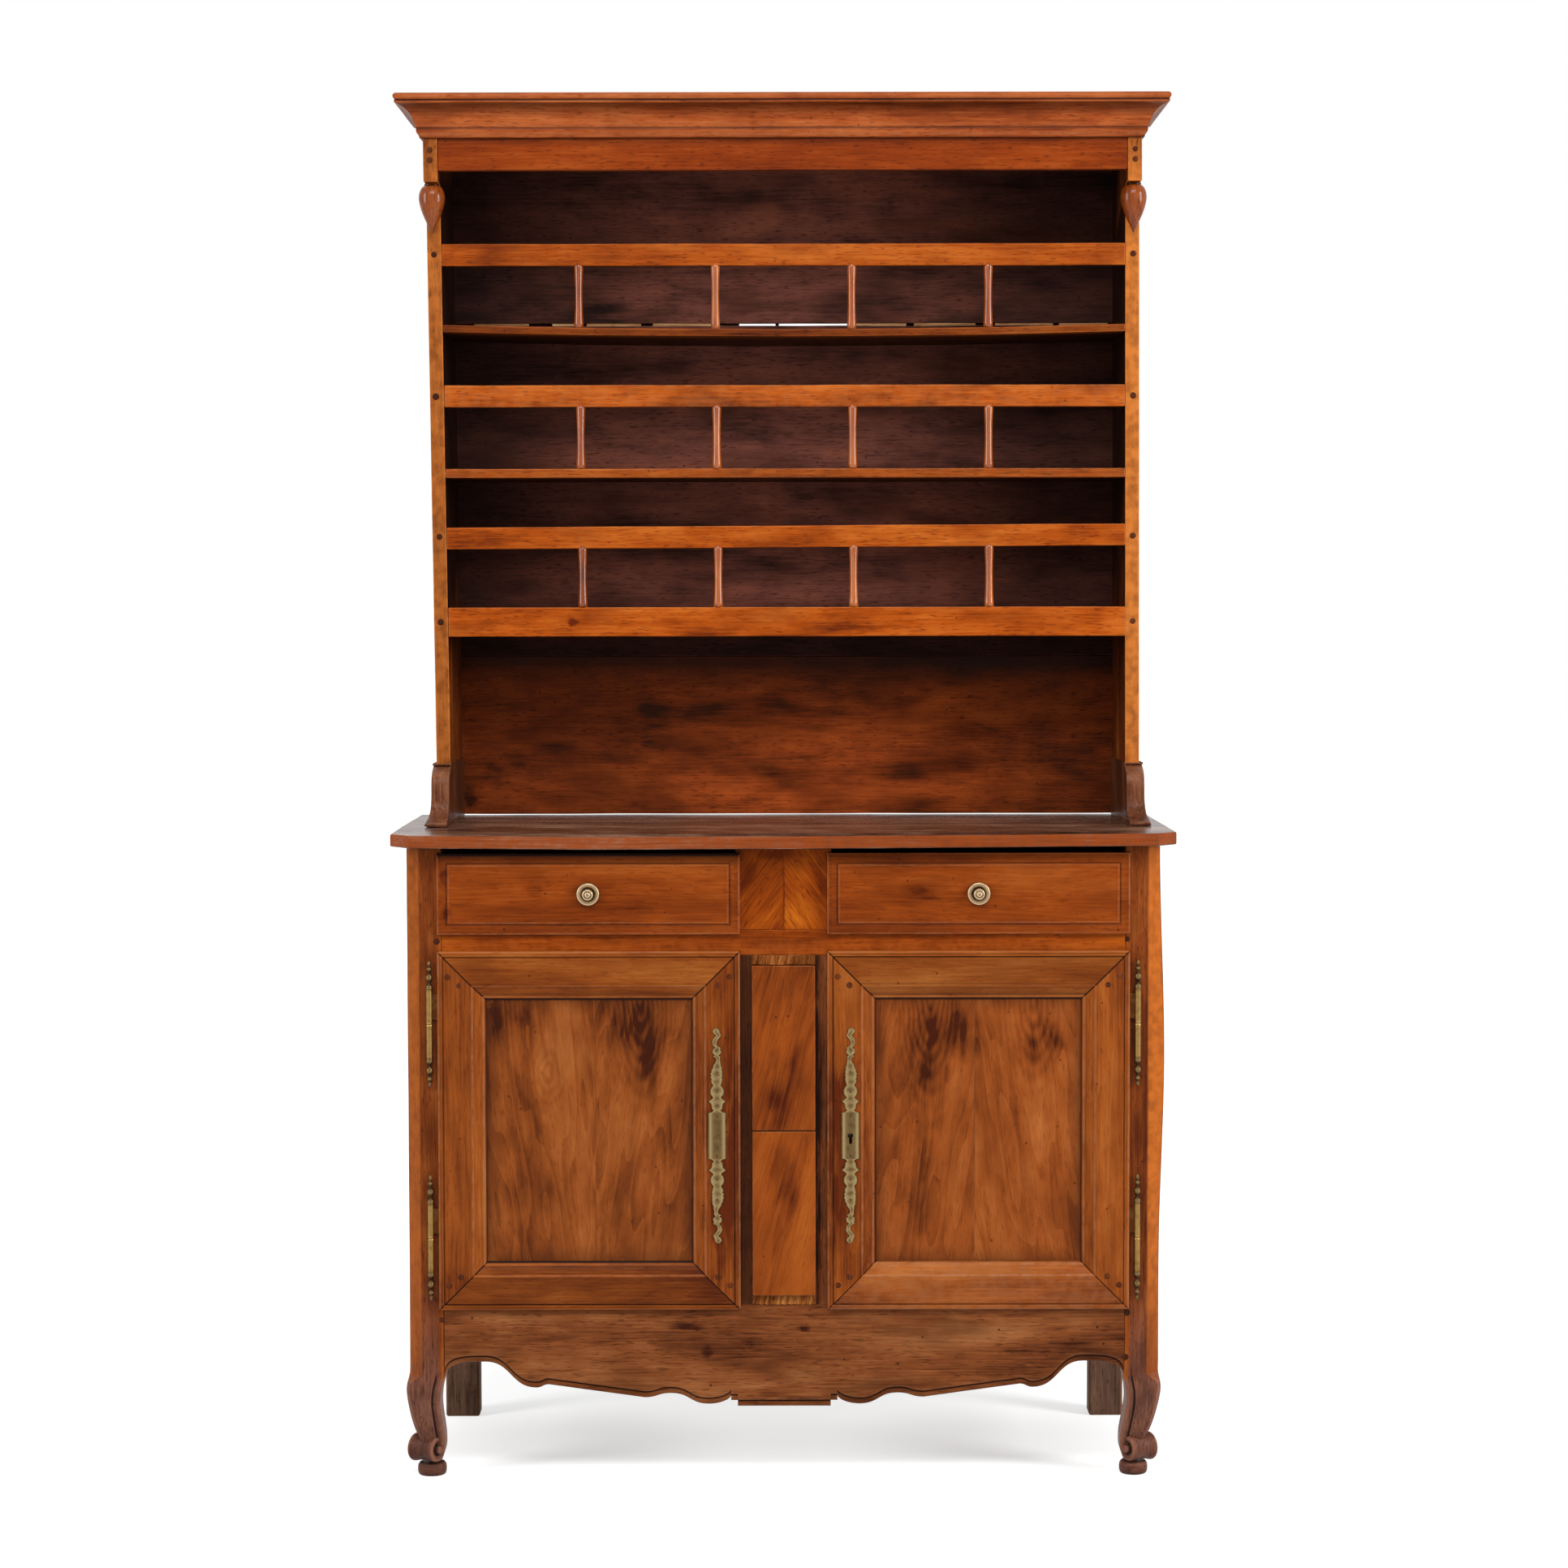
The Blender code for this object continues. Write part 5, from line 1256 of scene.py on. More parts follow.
@dataclass
class PlateRack:
    """Shelves, plate rails and back boards between the two ends of the rack."""

    sag: float = 0.0075
    rail_tilt: float = 0.005
    rail_height: float = 0.0365
    rail_depth: float = 0.014
    rail_tones: Row = (-0.22, 0.26, -0.1)
    light_gap: float = 1.909
    gap_half: float = 0.0022
    batten: Pair = (0.004, 0.001)    # depths before the rear face
    spindle_count: int = 4
    spindle_y: float = 0.0195
    spindle: tuple[tuple[str, float], ...] = (("End Radius", 0.0082), ("Waist Radius", 0.0064))

    def build(self) -> None:
        """Build and dress the rack."""
        for side in Side:
            RackEnd(side).build()
        self.shelves()
        self.rails()
        self.back()

    def shelves(self) -> None:
        """Build the three shelves: the upper one sags, the lower one has a deep front rail."""
        def edge(front: float, light: float) -> Callable[[Vector], float]:
            """Tone that keeps the front edge as given and paints shade on the underside and the faces behind
            it.
            """
            return lambda p: light if p.y < front + 0.003 else -1.0

        low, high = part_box("shelf_upper")
        ends = low[0], high[0]

        def sagging(place: Vector) -> Vector:
            """Drop of the upper shelf under old loads."""
            share = (place.x - ends[0]) / (ends[1] - ends[0])
            return Vector((place.x, place.y, place.z - self.sag * 4 * share * (1 - share)))

        shape = Shape()
        shape.board(
            (low[0], low[1], low[2] + self.sag), high,
            Stock(Grain.X, 21.0, wobble=0.0006, warp=sagging, shade=edge(low[1], -0.48)), 0.0018)
        dress("sagging_shelf", shape, SHELF_WOOD, "base", "shelf_upper")

        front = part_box("shelf_middle")[0][1]
        stock = Stock(Grain.X, 22.0, wobble=0.0006, shade=edge(front, 0.15))
        dress_board("middle_shelf", "shelf_middle", SHELF_WOOD, stock, 0.0018)

        low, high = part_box("shelf_lower")
        shape = Shape()
        # painted shade on the underside of the lower shelf
        shape.board(
            low, (high[0], low[1] + 0.016, high[2]),
            Stock(Grain.X, 23.0, wobble=0.0005, shade=lambda p: -0.7 * (p.z < low[2] + 0.001)), 0.0016)
        shape.board(
            (low[0], low[1] + 0.0162, high[2] - 0.014), high, Stock(Grain.X, 24.0, shade=lambda p: -0.45),
            0.001)
        dress("railed_shelf", shape, RAIL_WOOD, "base", "shelf_lower")

    def rails(self) -> None:
        """Build the plate rails and the spindles under them."""
        tree = NodeKit.spindles()
        for number, word in enumerate(("upper", "middle", "lower")):
            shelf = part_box(f"shelf_{word}")[1][2]
            low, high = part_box(f"plate_rail_{word}")
            tilt = self.rail_tilt if word == "lower" else 0.0
            bottom, top = high[2] - tilt / 2 - self.rail_height, high[2] - tilt / 2

            def tilted(
                    place: Vector, left: float = low[0], right: float = high[0],
                    rise: float = tilt) -> Vector:
                """Lift of the rail's right end."""
                share = (place.x - left) / (right - left)
                return Vector((place.x, place.y, place.z + rise * (share - 0.5)))

            def shade(
                    place: Vector, edge: float = bottom + 0.0008,
                    tone: float = self.rail_tones[number]) -> float:
                """Tone of the rail, dark on its lower edge."""
                return -0.6 * (place.z < edge) + tone

            stock = Stock(Grain.X, 31.0 + 2 * number, wobble=0.0007, warp=tilted, shade=shade)
            shape = Shape()
            shape.board(
                (low[0], RACK_FRONT, bottom), (high[0], RACK_FRONT + self.rail_depth, top), stock, 0.0016)
            dress(f"plate_bar_{word}", shape, RAIL_WOOD, "base", f"plate_rail_{word}")
            points, talls = [], []
            for step in range(1, self.spindle_count + 1):
                share = step / (self.spindle_count + 1)
                drop = self.sag * 4 * share * (1 - share) if word == "upper" else 0.0
                points.append((low[0] + (high[0] - low[0]) * share, self.spindle_y, shelf - drop))
                talls.append(bottom + tilt * (share - 0.5) + 0.004 - points[-1][2])
            NodeKit.grow(f"spindles_{word}", tree, points, dict(self.spindle), SPINDLE_WOOD, "base", talls)

    def back(self) -> None:
        """Build the back boards, with the gap that lets light through between the upper two."""
        low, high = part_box("rack_back_upper")
        gap, half, (deep, shallow) = self.light_gap, self.gap_half, self.batten

        def shrunk(place: Vector) -> Vector:
            """Uneven upper edge of the lower board."""
            lift = 0.0016 * noise.noise(Vector((place.x * 7, 3.7, 0))) * (place.z >= gap - 0.02)
            return Vector((place.x, place.y, place.z + lift))

        def smoke(place: Vector) -> float:
            """Painted shade in the corners, deepest at the upper left, and along the bottom of the upper
            boards.
            """
            corner = clamp((abs(place.x + 0.03) - 0.26) / 0.22) * (1.0 if place.x < 0 else 0.85)
            return -0.85 * max(corner, 1.1 * min(1.0, (1.42 - place.z) / 0.04))

        shape = Shape()
        shape.board(
            low, (high[0], high[1], gap - half), Stock(Grain.X, 41.0, warp=shrunk, shade=smoke), 0.001)
        shape.board(
            (low[0], low[1], gap + half), high, Stock(Grain.X, 42.0, wobble=0.0006, shade=smoke), 0.001)
        # battens behind the gap, painted dark as shade
        for start, end in ((low[0], -0.075), (-0.012, -0.006), (0.115, high[0])):
            shape.board(
                (start, high[1] - deep, gap - 0.0035), (end, high[1] - shallow, gap + 0.0035),
                Stock(Grain.X, 43.0, shade=lambda p: -0.9), 0.0005)
        dress("upper_back_boards", shape, BACK_WOOD, "base", "rack_back_upper")
        # Pale laths at the front of the gap paint the light that shows through it.
        shape = Shape()
        for start, end in (
                (-0.535, -0.44), (-0.4, -0.36), (-0.34, -0.245), (-0.225, -0.115), (0.125, 0.215),
                (0.228, 0.335), (0.37, 0.47), (0.48, 0.565)):
            shape.board(
                (start, low[1] + 0.0008, gap - 0.0026), (end, low[1] + 0.0040, gap + half),
                Stock(Grain.X, 46.0 + start, wobble=0.0012), 0.0005, 0.02)
        dress("split_laths", shape, GAP_LIGHT_LATH_WOOD, "base")
        low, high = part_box("rack_back_lower")
        shape = Shape()
        # batten behind the joint over the bay, painted dark as shade
        shape.board(
            (low[0], high[1] - deep, high[2] - 0.004), (high[0], high[1] - shallow, high[2] + 0.006),
            Stock(Grain.X, 45.0, shade=lambda p: -0.9), 0.0005)

        def dusk(place: Vector) -> float:
            """Painted shade under the lower shelf and towards both ends, with a dark line at the joint.

            Args:
                place: a place on the board.

            Returns:
                Its tone.
            """
            joint = 0.7 * (place.z > high[2] - 0.0012)
            top = clamp((place.z - high[2] + 0.078) / 0.062) ** 1.2
            ends = max(
                0.44 * min(1.0, (-0.02 - place.x) / 0.30), 0.40 * min(1.0, (place.x - 0.30) / 0.15), 0.0)
            return -joint - max(top, ends)

        shape.board(
            (low[0], low[1], low[2] - 0.0020), high, Stock(Grain.X, 44.0, wobble=0.0006, shade=dusk), 0.001,
            0.013)
        dress("bay_back_board", shape, BAY_WOOD, "base", "rack_back_lower")


@dataclass
class Counter:
    """Two glued boards with clipped front corners."""

    clip: float = 0.032
    joint: float = -0.035
    front: float = -0.2575
    # place along the front edge and how far the edge has settled there, in mm
    sag: tuple[Pair, ...] = (
        (-640, 2.2), (-500, 3.4), (-330, 4.9), (-150, 5), (0, 4.7), (200, 3.6), (390, 2.3), (590, 0.8),
        (640, 0.5))

    def settled(self, place: Vector) -> Vector:
        """The front board has settled between the posts, most at its front edge.

        Args:
            place: a place on the straight board.

        Returns:
            The settled place.
        """
        share = clamp((self.joint - place.y) / (self.joint - self.front))
        drop = 0.0
        for (start, first), (end, second) in zip(self.sag, self.sag[1:]):
            if start <= place.x * 1000 <= end:
                drop = first + (second - first) * (place.x * 1000 - start) / (end - start)
        return place - Vector((0, 0, share * drop / 1000))

    def build(self) -> None:
        """Build and dress the counter."""
        low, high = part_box("counter")
        outline = [(low[0], self.joint - 0.0002), (low[0], low[1] + self.clip), (low[0] + self.clip, low[1])]
        outline += [(along / 1000, low[1]) for along, drop in self.sag[1:-1]]
        outline += [
            (high[0] - self.clip, low[1]), (high[0], low[1] + self.clip), (high[0], self.joint - 0.0002)]

        def shade(place: Vector) -> float:
            """Edge rubbed lighter than the top, with painted shade under it."""
            below = -0.9 if place.z < low[2] + 0.002 else 1.0
            return 0.0 if place.z > high[2] - 0.002 else below

        shape = Shape()
        shape.slab(
            outline, Axis.Z, high[2], low[2],
            Stock(Grain.X, 51.0, wobble=0.0005, warp=self.settled, shade=shade), 0.0025)
        shape.board(
            (low[0], self.joint, low[2]), high,
            Stock(Grain.X, 52.0, wobble=0.0005, shade=lambda p: shade(p) - 0.2), 0.0025)
        dress("counter_boards", shape, COUNTER_WOOD, "base", "counter")


@dataclass
class CornerPost:
    """Front post with canted corner, cabriole leg, scroll foot and pad."""

    side: Side
    inner: float = 0.5535
    rear: float = -0.1645
    top: float = 1.0355
    size: float = 0.058
    cant: float = 0.0215
    leg_cant: float = 0.006
    leg_top: float = 0.170
    bow: float = 0.008
    pad_radius: float = 0.0235
    pad_height: float = 0.0205
    scroll_height: float = 0.0440
    pitch: float = 0.0355
    cant_stop: float = 0.160
    bead_stop: float = 0.176
    fade_in: float = 0.012
    # height, growth past the outer faces, growth past the inner faces
    stations: tuple[Row, ...] = (
        (0.2, 0, 0), (0.172, 0.0005, 0), (0.1547, 0.0035, -0.0035), (0.1428, 0.004, -0.006),
        (0.1224, 0.0015, -0.0075), (0.0986, -0.003, -0.0055), (0.0782, -0.0085, -0.003),
        (0.0612, -0.015, -0.0015), (0.043, -0.02, -0.002), (0.023, -0.027, -0.008))

    def spot(self, across: float, along: float, z: float, tone: float) -> Point:
        """Point from offsets outwards and forwards of the post's inner rear corner."""
        return self.side.value * (self.inner + across), self.rear - along, z, tone

    def lean(self, place: Vector) -> Vector:
        """The right leg bends inwards below the knee."""
        bend = 0.0055 * clamp((0.19 - place.z) / 0.12)
        return place - Vector((bend, 0, 0)) if self.side is Side.RIGHT else place

    def section(self, z: float, outer: float, inner: float) -> list[Point]:
        """Ring of the post or leg at one height.

        Args:
            z: the height.
            outer: growth past the outer faces.
            inner: growth past the inner faces.

        Returns:
            The ring.
        """
        near, far = -inner, self.size + outer
        stop = clamp((z - self.cant_stop) / self.fade_in)
        cut = self.leg_cant + (self.cant - self.leg_cant) * stop
        bead = clamp((self.bead_stop - z) / self.fade_in)
        # painted light and wear on the canted strip, weaker on the left, away from the brighter lamp, and
        # less towards the knee
        rub = 0.60 if self.side is Side.LEFT else 1.0
        glow = rub * min(1.0, max(0.15, (z - 0.12) / 0.25)) if z > 0.168 else 0.1
        edge = 0.9 if 0.158 < z < 0.166 else 0.35
        bulge = 0.0
        if self.side is Side.RIGHT and z > self.leg_top:
            share = min(1, abs((self.top - z) / (self.top - self.leg_top) - 0.40) / 0.40)
            bulge = self.bow * math.cos(share * math.pi / 2) ** 2
        ring = [
            (near, near, 0.0), (near, far - 0.012, 0.0), (near, far - 0.0025 - 0.0035 * bead, 0.0),
            (near + 0.0007, far - 0.0010 - 0.0027 * bead, 0.4), (near + 0.0028, far - 0.0026 * bead, 0.5),
            (near + 0.0060, far - 0.0020 * bead, 0.15), (near + 0.0105, far - 0.0022 * bead, -0.1 * bead),
            (near + 0.0124, far - 0.0032 * bead, -1.0 * bead),
            (near + 0.0140, far - 0.0032 * bead, -1.0 * bead),
            (near + 0.0148, far - 0.0003 * bead, 0.3 * bead), (near + 0.0165, far, 0.0),
            (far - cut - 0.004, far, 0.0), (far - cut - 0.001, far, -0.2),
            (far - cut + 0.0004, far - 0.0008, edge), (far - cut + 0.003, far - 0.003, glow),
            (far - 0.003 + bulge, far - cut + 0.003, glow),
            (far - 0.0008 + bulge, far - cut + 0.0004, edge), (far + bulge, far - cut - 0.001, 0.1),
            (far + bulge, far - cut - 0.004, 0.0), (far + bulge, near, 0.0)]
        return [self.spot(across, along, z, tone) for across, along, tone in ring]

    def build(self) -> None:
        """Build and dress the post."""
        word = self.side.word
        shape = Shape()
        stock = Stock(Grain.Z, 61.0 + self.side.value, wobble=0.0004, warp=self.lean)
        rings = [self.section(self.top - self.pitch * step, 0.0, 0.0) for step in range(24)]
        rings += [self.section(*row) for row in smoothed(self.stations, 5)]
        shape.loft(rings, stock)
        self.scroll(shape)
        rows = (
            (0.7, 1, -0.7), (0.86, 0.97, -0.2), (0.97, 0.8, 0.1), (1, 0.58, -0.1), (0.99, 0.3, -0.35),
            (0.94, 0.08, -0.5), (0.86, 0, -0.7))
        pad = [(self.pad_radius * share, self.pad_height * rise, tone) for share, rise, tone in rows]
        centre = self.spot(0.0245, 0.022, 0, 0)[:3]
        shape.turned(pad, centre, (0, 0, 1), 36, Stock(Grain.X, 65.0, wobble=0.0008, warp=self.lean))
        dress(f"corner_post_{word}", shape, POST_WOOD, "base", f"front_post_{word}")

    def scroll(self, shape: Shape) -> None:
        """Add the rolled foot with its eye and volute.

        Args:
            shape: mesh of the post.
        """
        centre = Vector(self.spot(0.0295, 0.031, self.scroll_height, 0.0)[:3])
        axis = Vector((-self.side.value, -0.62, 0.0)).normalized()
        rows = (
            (1, 24.6, 0.5), (4.5, 24.2, 0.7), (6.6, 22.6, 0.2), (7.4, 20, -0.6), (8.6, 18.4, -1),
            (10.5, 18.6, -0.7), (13, 19.6, 0), (16, 20.4, 0.5), (18.6, 20, 0.8), (20.3, 18, 0.4),
            (20.6, 13, 0), (19.4, 5, 0), (19.2, -5, 0), (20.4, -14, 0), (22.4, -21, 0.2),
            (22.9, -24.4, 0.7), (21.4, -26.4, 0.4), (15, -25.8, -0.4), (8, -25.4, -0.6), (2, -25.4, 0))
        profile = [(radius / 1000, along / 1000, tone) for radius, along, tone in smoothed(rows, 2)]
        stock = Stock(Grain.Z, 68.0 + self.side.value, wobble=0.0006, warp=self.lean, shade=lambda p: -0.16)
        shape.turned(profile, centre, axis, 40, stock)
        across = Vector((0, 0, 1)).cross(axis)
        rings = []
        steps = 44
        for step in range(steps + 1):
            share = step / steps
            angle = math.pi / 2 + self.side.value * math.tau * 1.2 * share
            radius = 0.0085 + 0.0095 * share
            out = across * math.cos(angle) + Vector((0, 0, 1)) * math.sin(angle)
            thick = 0.0006 + 0.0016 * share
            middle = centre + out * radius + axis * 0.0188
            rings.append(
                [(*(middle + (out * math.cos(a) + axis * math.sin(a)) * thick), 0.5)
                for a in (math.tau * k / 8 for k in range(8))])
        shape.loft(rings, stock)


@dataclass
class Apron:
    """Shaped apron with a moulded lower edge and a stepped centre block."""

    top: float = 0.286
    thickness: float = 0.025
    end: float = 0.5532
    block: float = 0.0755
    step: float = 0.0095
    step_width: float = 0.011
    centre_drop: float = 0.168
    spring: float = 0.122
    cusp: float = 0.150
    arch: Pair = (0.142, 0.0945)
    hook: Pair = (0.318, 0.1375)
    barb: Pair = (0.363, 0.132)
    sweep: Pair = (0.698, 0.1535)
    crest: Pair = (0.789, 0.1465)
    lobe: Pair = (0.922, 0.1645)

    def half_edge(self) -> list[Pair]:
        """Lower edge from the left leg to the centre block: X and height.

        Returns:
            The points of the edge.
        """
        leg, step = -self.end, -self.block - self.step_width
        bottom = self.top - self.centre_drop

        def edge(share: float, drop: float) -> Pair:
            """Point of the edge from its share of the way and its drop."""
            return leg + (step - leg) * share, self.top - drop

        spring, cusp = edge(0, self.spring), edge(1, self.cusp)
        arch, hook, barb = edge(*self.arch), edge(*self.hook), edge(*self.barb)
        sweep, crest, lobe = edge(*self.sweep), edge(*self.crest), edge(*self.lobe)
        points = [spring]
        points += curve(spring, (spring[0], arch[1]), ((spring[0] + arch[0]) / 2, arch[1]), arch, 14)
        points += level_curve(arch, hook, 16)
        points += level_curve(hook, barb, 8)
        points += [
            (barb[0] + (sweep[0] - barb[0]) * k / 8, barb[1] + (sweep[1] - barb[1]) * k / 8)
            for k in range(1, 9)]
        points += level_curve(sweep, crest, 10)
        points += level_curve(crest, lobe, 12)
        points += curve(
            lobe, ((lobe[0] + cusp[0]) / 2, lobe[1]), (cusp[0], (lobe[1] + cusp[1]) / 2), cusp, 10)
        points += [(step, bottom + self.step), (-self.block, bottom + self.step), (-self.block, bottom)]
        points += [(-self.block * (1 - k / 4), bottom) for k in range(1, 5)]
        return points

    def build(self) -> None:
        """Build and dress the apron."""
        half = self.half_edge()
        edge = half + [(-x, z) for x, z in reversed(half[:-1])]
        back = FACE_Y + self.thickness
        # depth, rise and tone of the moulded edge; the tones paint a highlight on the bead and darken its
        # groove
        moulded = (
            (0.0065, 0, 0), (0.0042, 0.0006, 0.2), (0.0028, 0.0022, 0.2), (0.0022, 0.0045, -0.2),
            (0.0024, 0.008, -0.3), (0.0034, 0.0094, -1), (0.0034, 0.0106, -1), (0.0003, 0.0114, 0.3),
            (0, 0.013, 0.3), (0, 0.0165, 0))
        rings = []
        for x, z in edge:
            ring = [(x, back, z, -0.3)]
            ring += [(x, FACE_Y + depth, z + rise, tone) for depth, rise, tone in moulded]
            start = z + moulded[-1][1]
            ring += [(x, FACE_Y, start + (self.top - 0.001 - start) * k / 4, 0.0) for k in range(1, 5)]
            ring += [(x, FACE_Y + 0.001, self.top, 0.4), (x, back, self.top, -0.2)]
            rings.append(ring)
        shape = Shape()
        shape.loft(rings, Stock(Grain.X, 71.0, wobble=0.0005))
        dress("moulded_apron", shape, APRON_WOOD, "base", "apron")


@dataclass
class CentreStiles:
    """Matched boards between the drawers, and the stile with its applied plates between the doors."""

    half: float = 0.0775
    plate_half: float = 0.051
    plate_front: float = -0.233
    margin: float = 0.0165
    # x, front y, low z and high z of the bolt's mortise
    strike: Point = (0.068, -0.2047, 0.5551, 0.5742)

    def build(self) -> None:
        """Build and dress both stiles and the rail between drawers and doors."""
        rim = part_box("mid_rail")[1][2] - 0.01
        # painted shadow of the drawer lips along the top of the rail, painted light below it
        rubbed_and_lit = Stock(Grain.X, 81.0, wobble=0.0004, shade=lambda p: 0.9 if p.z < rim else -0.1)
        dress_board("rail_under_drawers", "mid_rail", BOOKMATCH_WOOD, rubbed_and_lit, 0.0012)

        low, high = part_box("drawer_stile")
        shape = Shape()
        shape.board(low, (0.0006, high[1], high[2]), Stock(Grain.Z, 82.0, 0.62), 0.0006)
        shape.board((0.0008, low[1], low[2]), high, Stock(Grain.Z, 82.0, -0.62), 0.0006)
        dress("matched_boards", shape, BOOKMATCH_WOOD, "base", "drawer_stile")
        self.door_stile()

    def door_stile(self) -> None:
        """Build the stile, its mortise for the bolt, the plates and the torn strips above and below."""
        low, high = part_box("door_stile")
        bottom, top, back = low[2], high[2], high[1]
        cut_x, cut_y, cut_low, cut_high = self.strike
        dusk = Stock(Grain.Z, 84.0, shade=lambda p: 6.2 * p.x - 0.37)    # painted shade in the recesses beside the plates, darkest on the left
        shape = Shape()
        shape.board((-self.half, FACE_Y, bottom), (cut_x, back, top), dusk, 0.0004)
        shape.board((cut_x, FACE_Y, bottom), (self.half, back, cut_low), dusk, 0.0004)
        shape.board((cut_x, FACE_Y, cut_high), (self.half, back, top), dusk, 0.0004)
        shape.board((cut_x, FACE_Y, cut_low), (self.half, cut_y, cut_high), dusk, 0.0004)
        dress("shaded_stile", shape, STILE_WOOD, "base", "door_stile")

        middle = (bottom + top) / 2
        shape = Shape()
        for number, (start, end) in enumerate(
                ((bottom + self.margin, middle - 0.001), (middle + 0.001, top - self.margin))):
            shape.board(
                (-self.plate_half, self.plate_front, start), (self.plate_half, FACE_Y, end),
                Stock(Grain.Z, 86.0 + number, 0.25, wobble=0.0004), 0.0013, 0.03)
        dress("applied_plates", shape, PLATE_WOOD, "base")
        shape = Shape()
        for start, end in ((bottom, bottom + self.margin - 0.001), (top - self.margin + 0.001, top)):
            shape.board(
                (-self.plate_half, FACE_Y - 0.002, start), (self.plate_half, FACE_Y + 0.001, end),
                Stock(Grain.Z, 88.0, 0.2, ragged=0.0012), 0.0008, 0.0025)
        dress("torn_strips", shape, RAW_WOOD, "base")


@dataclass
class Door:
    """Mitred and pegged door with its panel, escutcheon and pin hinges."""

    side: Side
    near: float = 0.0705
    far: float = 0.5605
    low: float = 0.279
    high: float = 0.8643
    width: float = 0.079
    hinge_x: float = 0.5735
    hinge_y: float = -0.228
    hinge_radius: float = 0.005
    half_barrel: float = 0.056
    finial: float = 0.047
    lock_x: float = 0.108
    lock_z: float = 0.56465
    hinges_z: Pair = (0.7463, 0.397)
    pegs_at: tuple[Pair, ...] = ((0.017, 0.041), (0.036, 0.055))     # in from the corner
    # distance from the lip's edge, depth behind the field (both in mm) and tone; the tones paint highlights
    # on the rounds, and dark wax and painted shade in the hollows
    profile: tuple[Row, ...] = (
        (8.5, 28, 0), (8.5, 12.2, 0), (0, 12.2, -0.6), (0, 6, 0.3), (0.5, 4.6, 0.9), (1.6, 3.7, 0.9),
        (3, 3.1, 0.3), (4.4, 2.9, -0.2), (5.8, 2.9, 0), (6.8, 3, 0.4), (8, 3, 0.4), (8.8, 3.6, -0.55),
        (10.2, 3.6, -0.55), (10.9, 0.9, -0.2), (11.6, 0.2, 0.1), (13, 0, -0.12), (18, 0, 0), (51, 0, 0),
        (53.4, 0, -0.25), (55, 0, 0.3), (56.2, 0.3, 0.9), (57.2, 1.2, 0.9), (58.2, 2.2, 0.3),
        (59.6, 2.7, -0.15), (62, 3.2, 0), (66, 4.9, -0.05), (69, 6.3, -0.15), (71.5, 7.5, -0.3),
        (72.6, 8.1, 0.2), (73.4, 8.5, 0.75), (75, 8.9, 0.75), (76, 9.3, 0), (76.8, 10.3, -0.6),
        (77.6, 11, -1), (79, 11.3, -1), (79, 12.8, -1), (69, 12.8, -1), (69, 22.4, 0), (79, 22.4, 0),
        (79, 28, 0))

    @property
    def body(self) -> str:
        """Body that the door's pieces ride on."""
        return f"door_{self.side.word}"

    def build(self) -> None:
        """Build and dress the door."""
        sign, word = self.side.value, self.side.word
        mitre = 0.0002
        members = {
            "hinge_stile": (self.low, self.high, Grain.Z, lambda u, v: (sign * (self.far - u), v)),
            "lock_stile": (self.low, self.high, Grain.Z, lambda u, v: (sign * (self.near + u), v)),
            "top_rail": (self.near, self.far, Grain.X, lambda u, v: (sign * v, self.high - u)),
            "bottom_rail": (self.near, self.far, Grain.X, lambda u, v: (sign * v, self.low + u)),
        }
        for number, (member, (start, end, grain, locate)) in enumerate(members.items()):
            rings = []
            for share, inset, soot in (
                    (0, 0, -1.2), (0, 0.0008, -1), (0, 0.0018, 0), (0.25, 0, 0), (0.5, 0, 0), (0.75, 0, 0),
                    (1, -0.0018, 0), (1, -0.0008, -1), (1, 0, -1.2)):
                ring = []
                for across, depth, tone in self.profile:
                    u = across / 1000
                    first, last = start + u + mitre, end - u - mitre
                    x, z = locate(u, first + (last - first) * share + inset)
                    ring.append((x, DOOR_FIELD + depth / 1000, z, tone + soot))
                rings.append(ring)
            shape = Shape()
            fade = ((0.05, -0.05, -0.22, -0.36) if sign < 0 else (0.05, -0.05, -0.33, 0.42))[number]
            shape.loft(
                rings, Stock(grain, 91.0 + 7 * number + 40 * sign, wobble=0.0, shade=lambda p, f=fade: f))
            node = f"door_{word}_{member}"
            piece = dress(f"{member}_{word}", shape, DOOR_WOOD, self.body, node)
            if node == "door_right_lock_stile":
                drill(piece, self.keyhole(), DOOR_FIELD - 0.01, DOOR_FIELD + 0.05)
        self.panel()
        self.pegs()
        for height, level in zip(self.hinges_z, ("upper", "lower")):
            self.hinge(height, level)
        self.escutcheon()

    def panel(self) -> None:
        """Build the panel from two boards, with its joint where the old glue line shows."""
        sign, word = self.side.value, self.side.word
        low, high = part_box(f"door_{word}_panel")
        joint = -0.3055 if sign < 0 else 0.3095
        border = self.width + 0.0015

        def waxed(place: Vector) -> float:
            """Old wax along the edge of the frame."""
            inside = min(
                abs(place.x) - self.near, self.far - abs(place.x), place.z - self.low, self.high - place.z)
            return -0.45 * max(0.0, 1 - (inside - border) / 0.024)

        shape = Shape()
        shape.board(
            low, (joint, high[1], high[2]), Stock(Grain.Z, 111.0 + sign, 0.10 * sign, shade=waxed), 0.0004,
            0.012)
        shape.board(
            (joint + 0.0002, low[1], low[2]), high, Stock(Grain.Z, 114.0 + sign, -0.12 * sign, shade=waxed),
            0.0004, 0.012)
        finish = LEFT_PANEL_WOOD if sign < 0 else RIGHT_PANEL_WOOD
        dress(f"figured_panel_{word}", shape, finish, self.body, f"door_{word}_panel")

    def pegs(self) -> None:
        """Set two pegs at each corner of the frame."""
        sign = self.side.value
        points = []
        for x, inward in ((self.near, 1), (self.far, -1)):
            for z, up in ((self.low, 1), (self.high, -1)):
                points += [
                    (sign * (x + inward * across), DOOR_FIELD, z + up * along)
                    for across, along in self.pegs_at]
        NodeKit.grow(
            f"door_pegs_{self.side.word}", HEADS, points, {"Radius": 0.0050, "Proud": 0.0008},
            DOOR_PEG_WOOD, self.body)

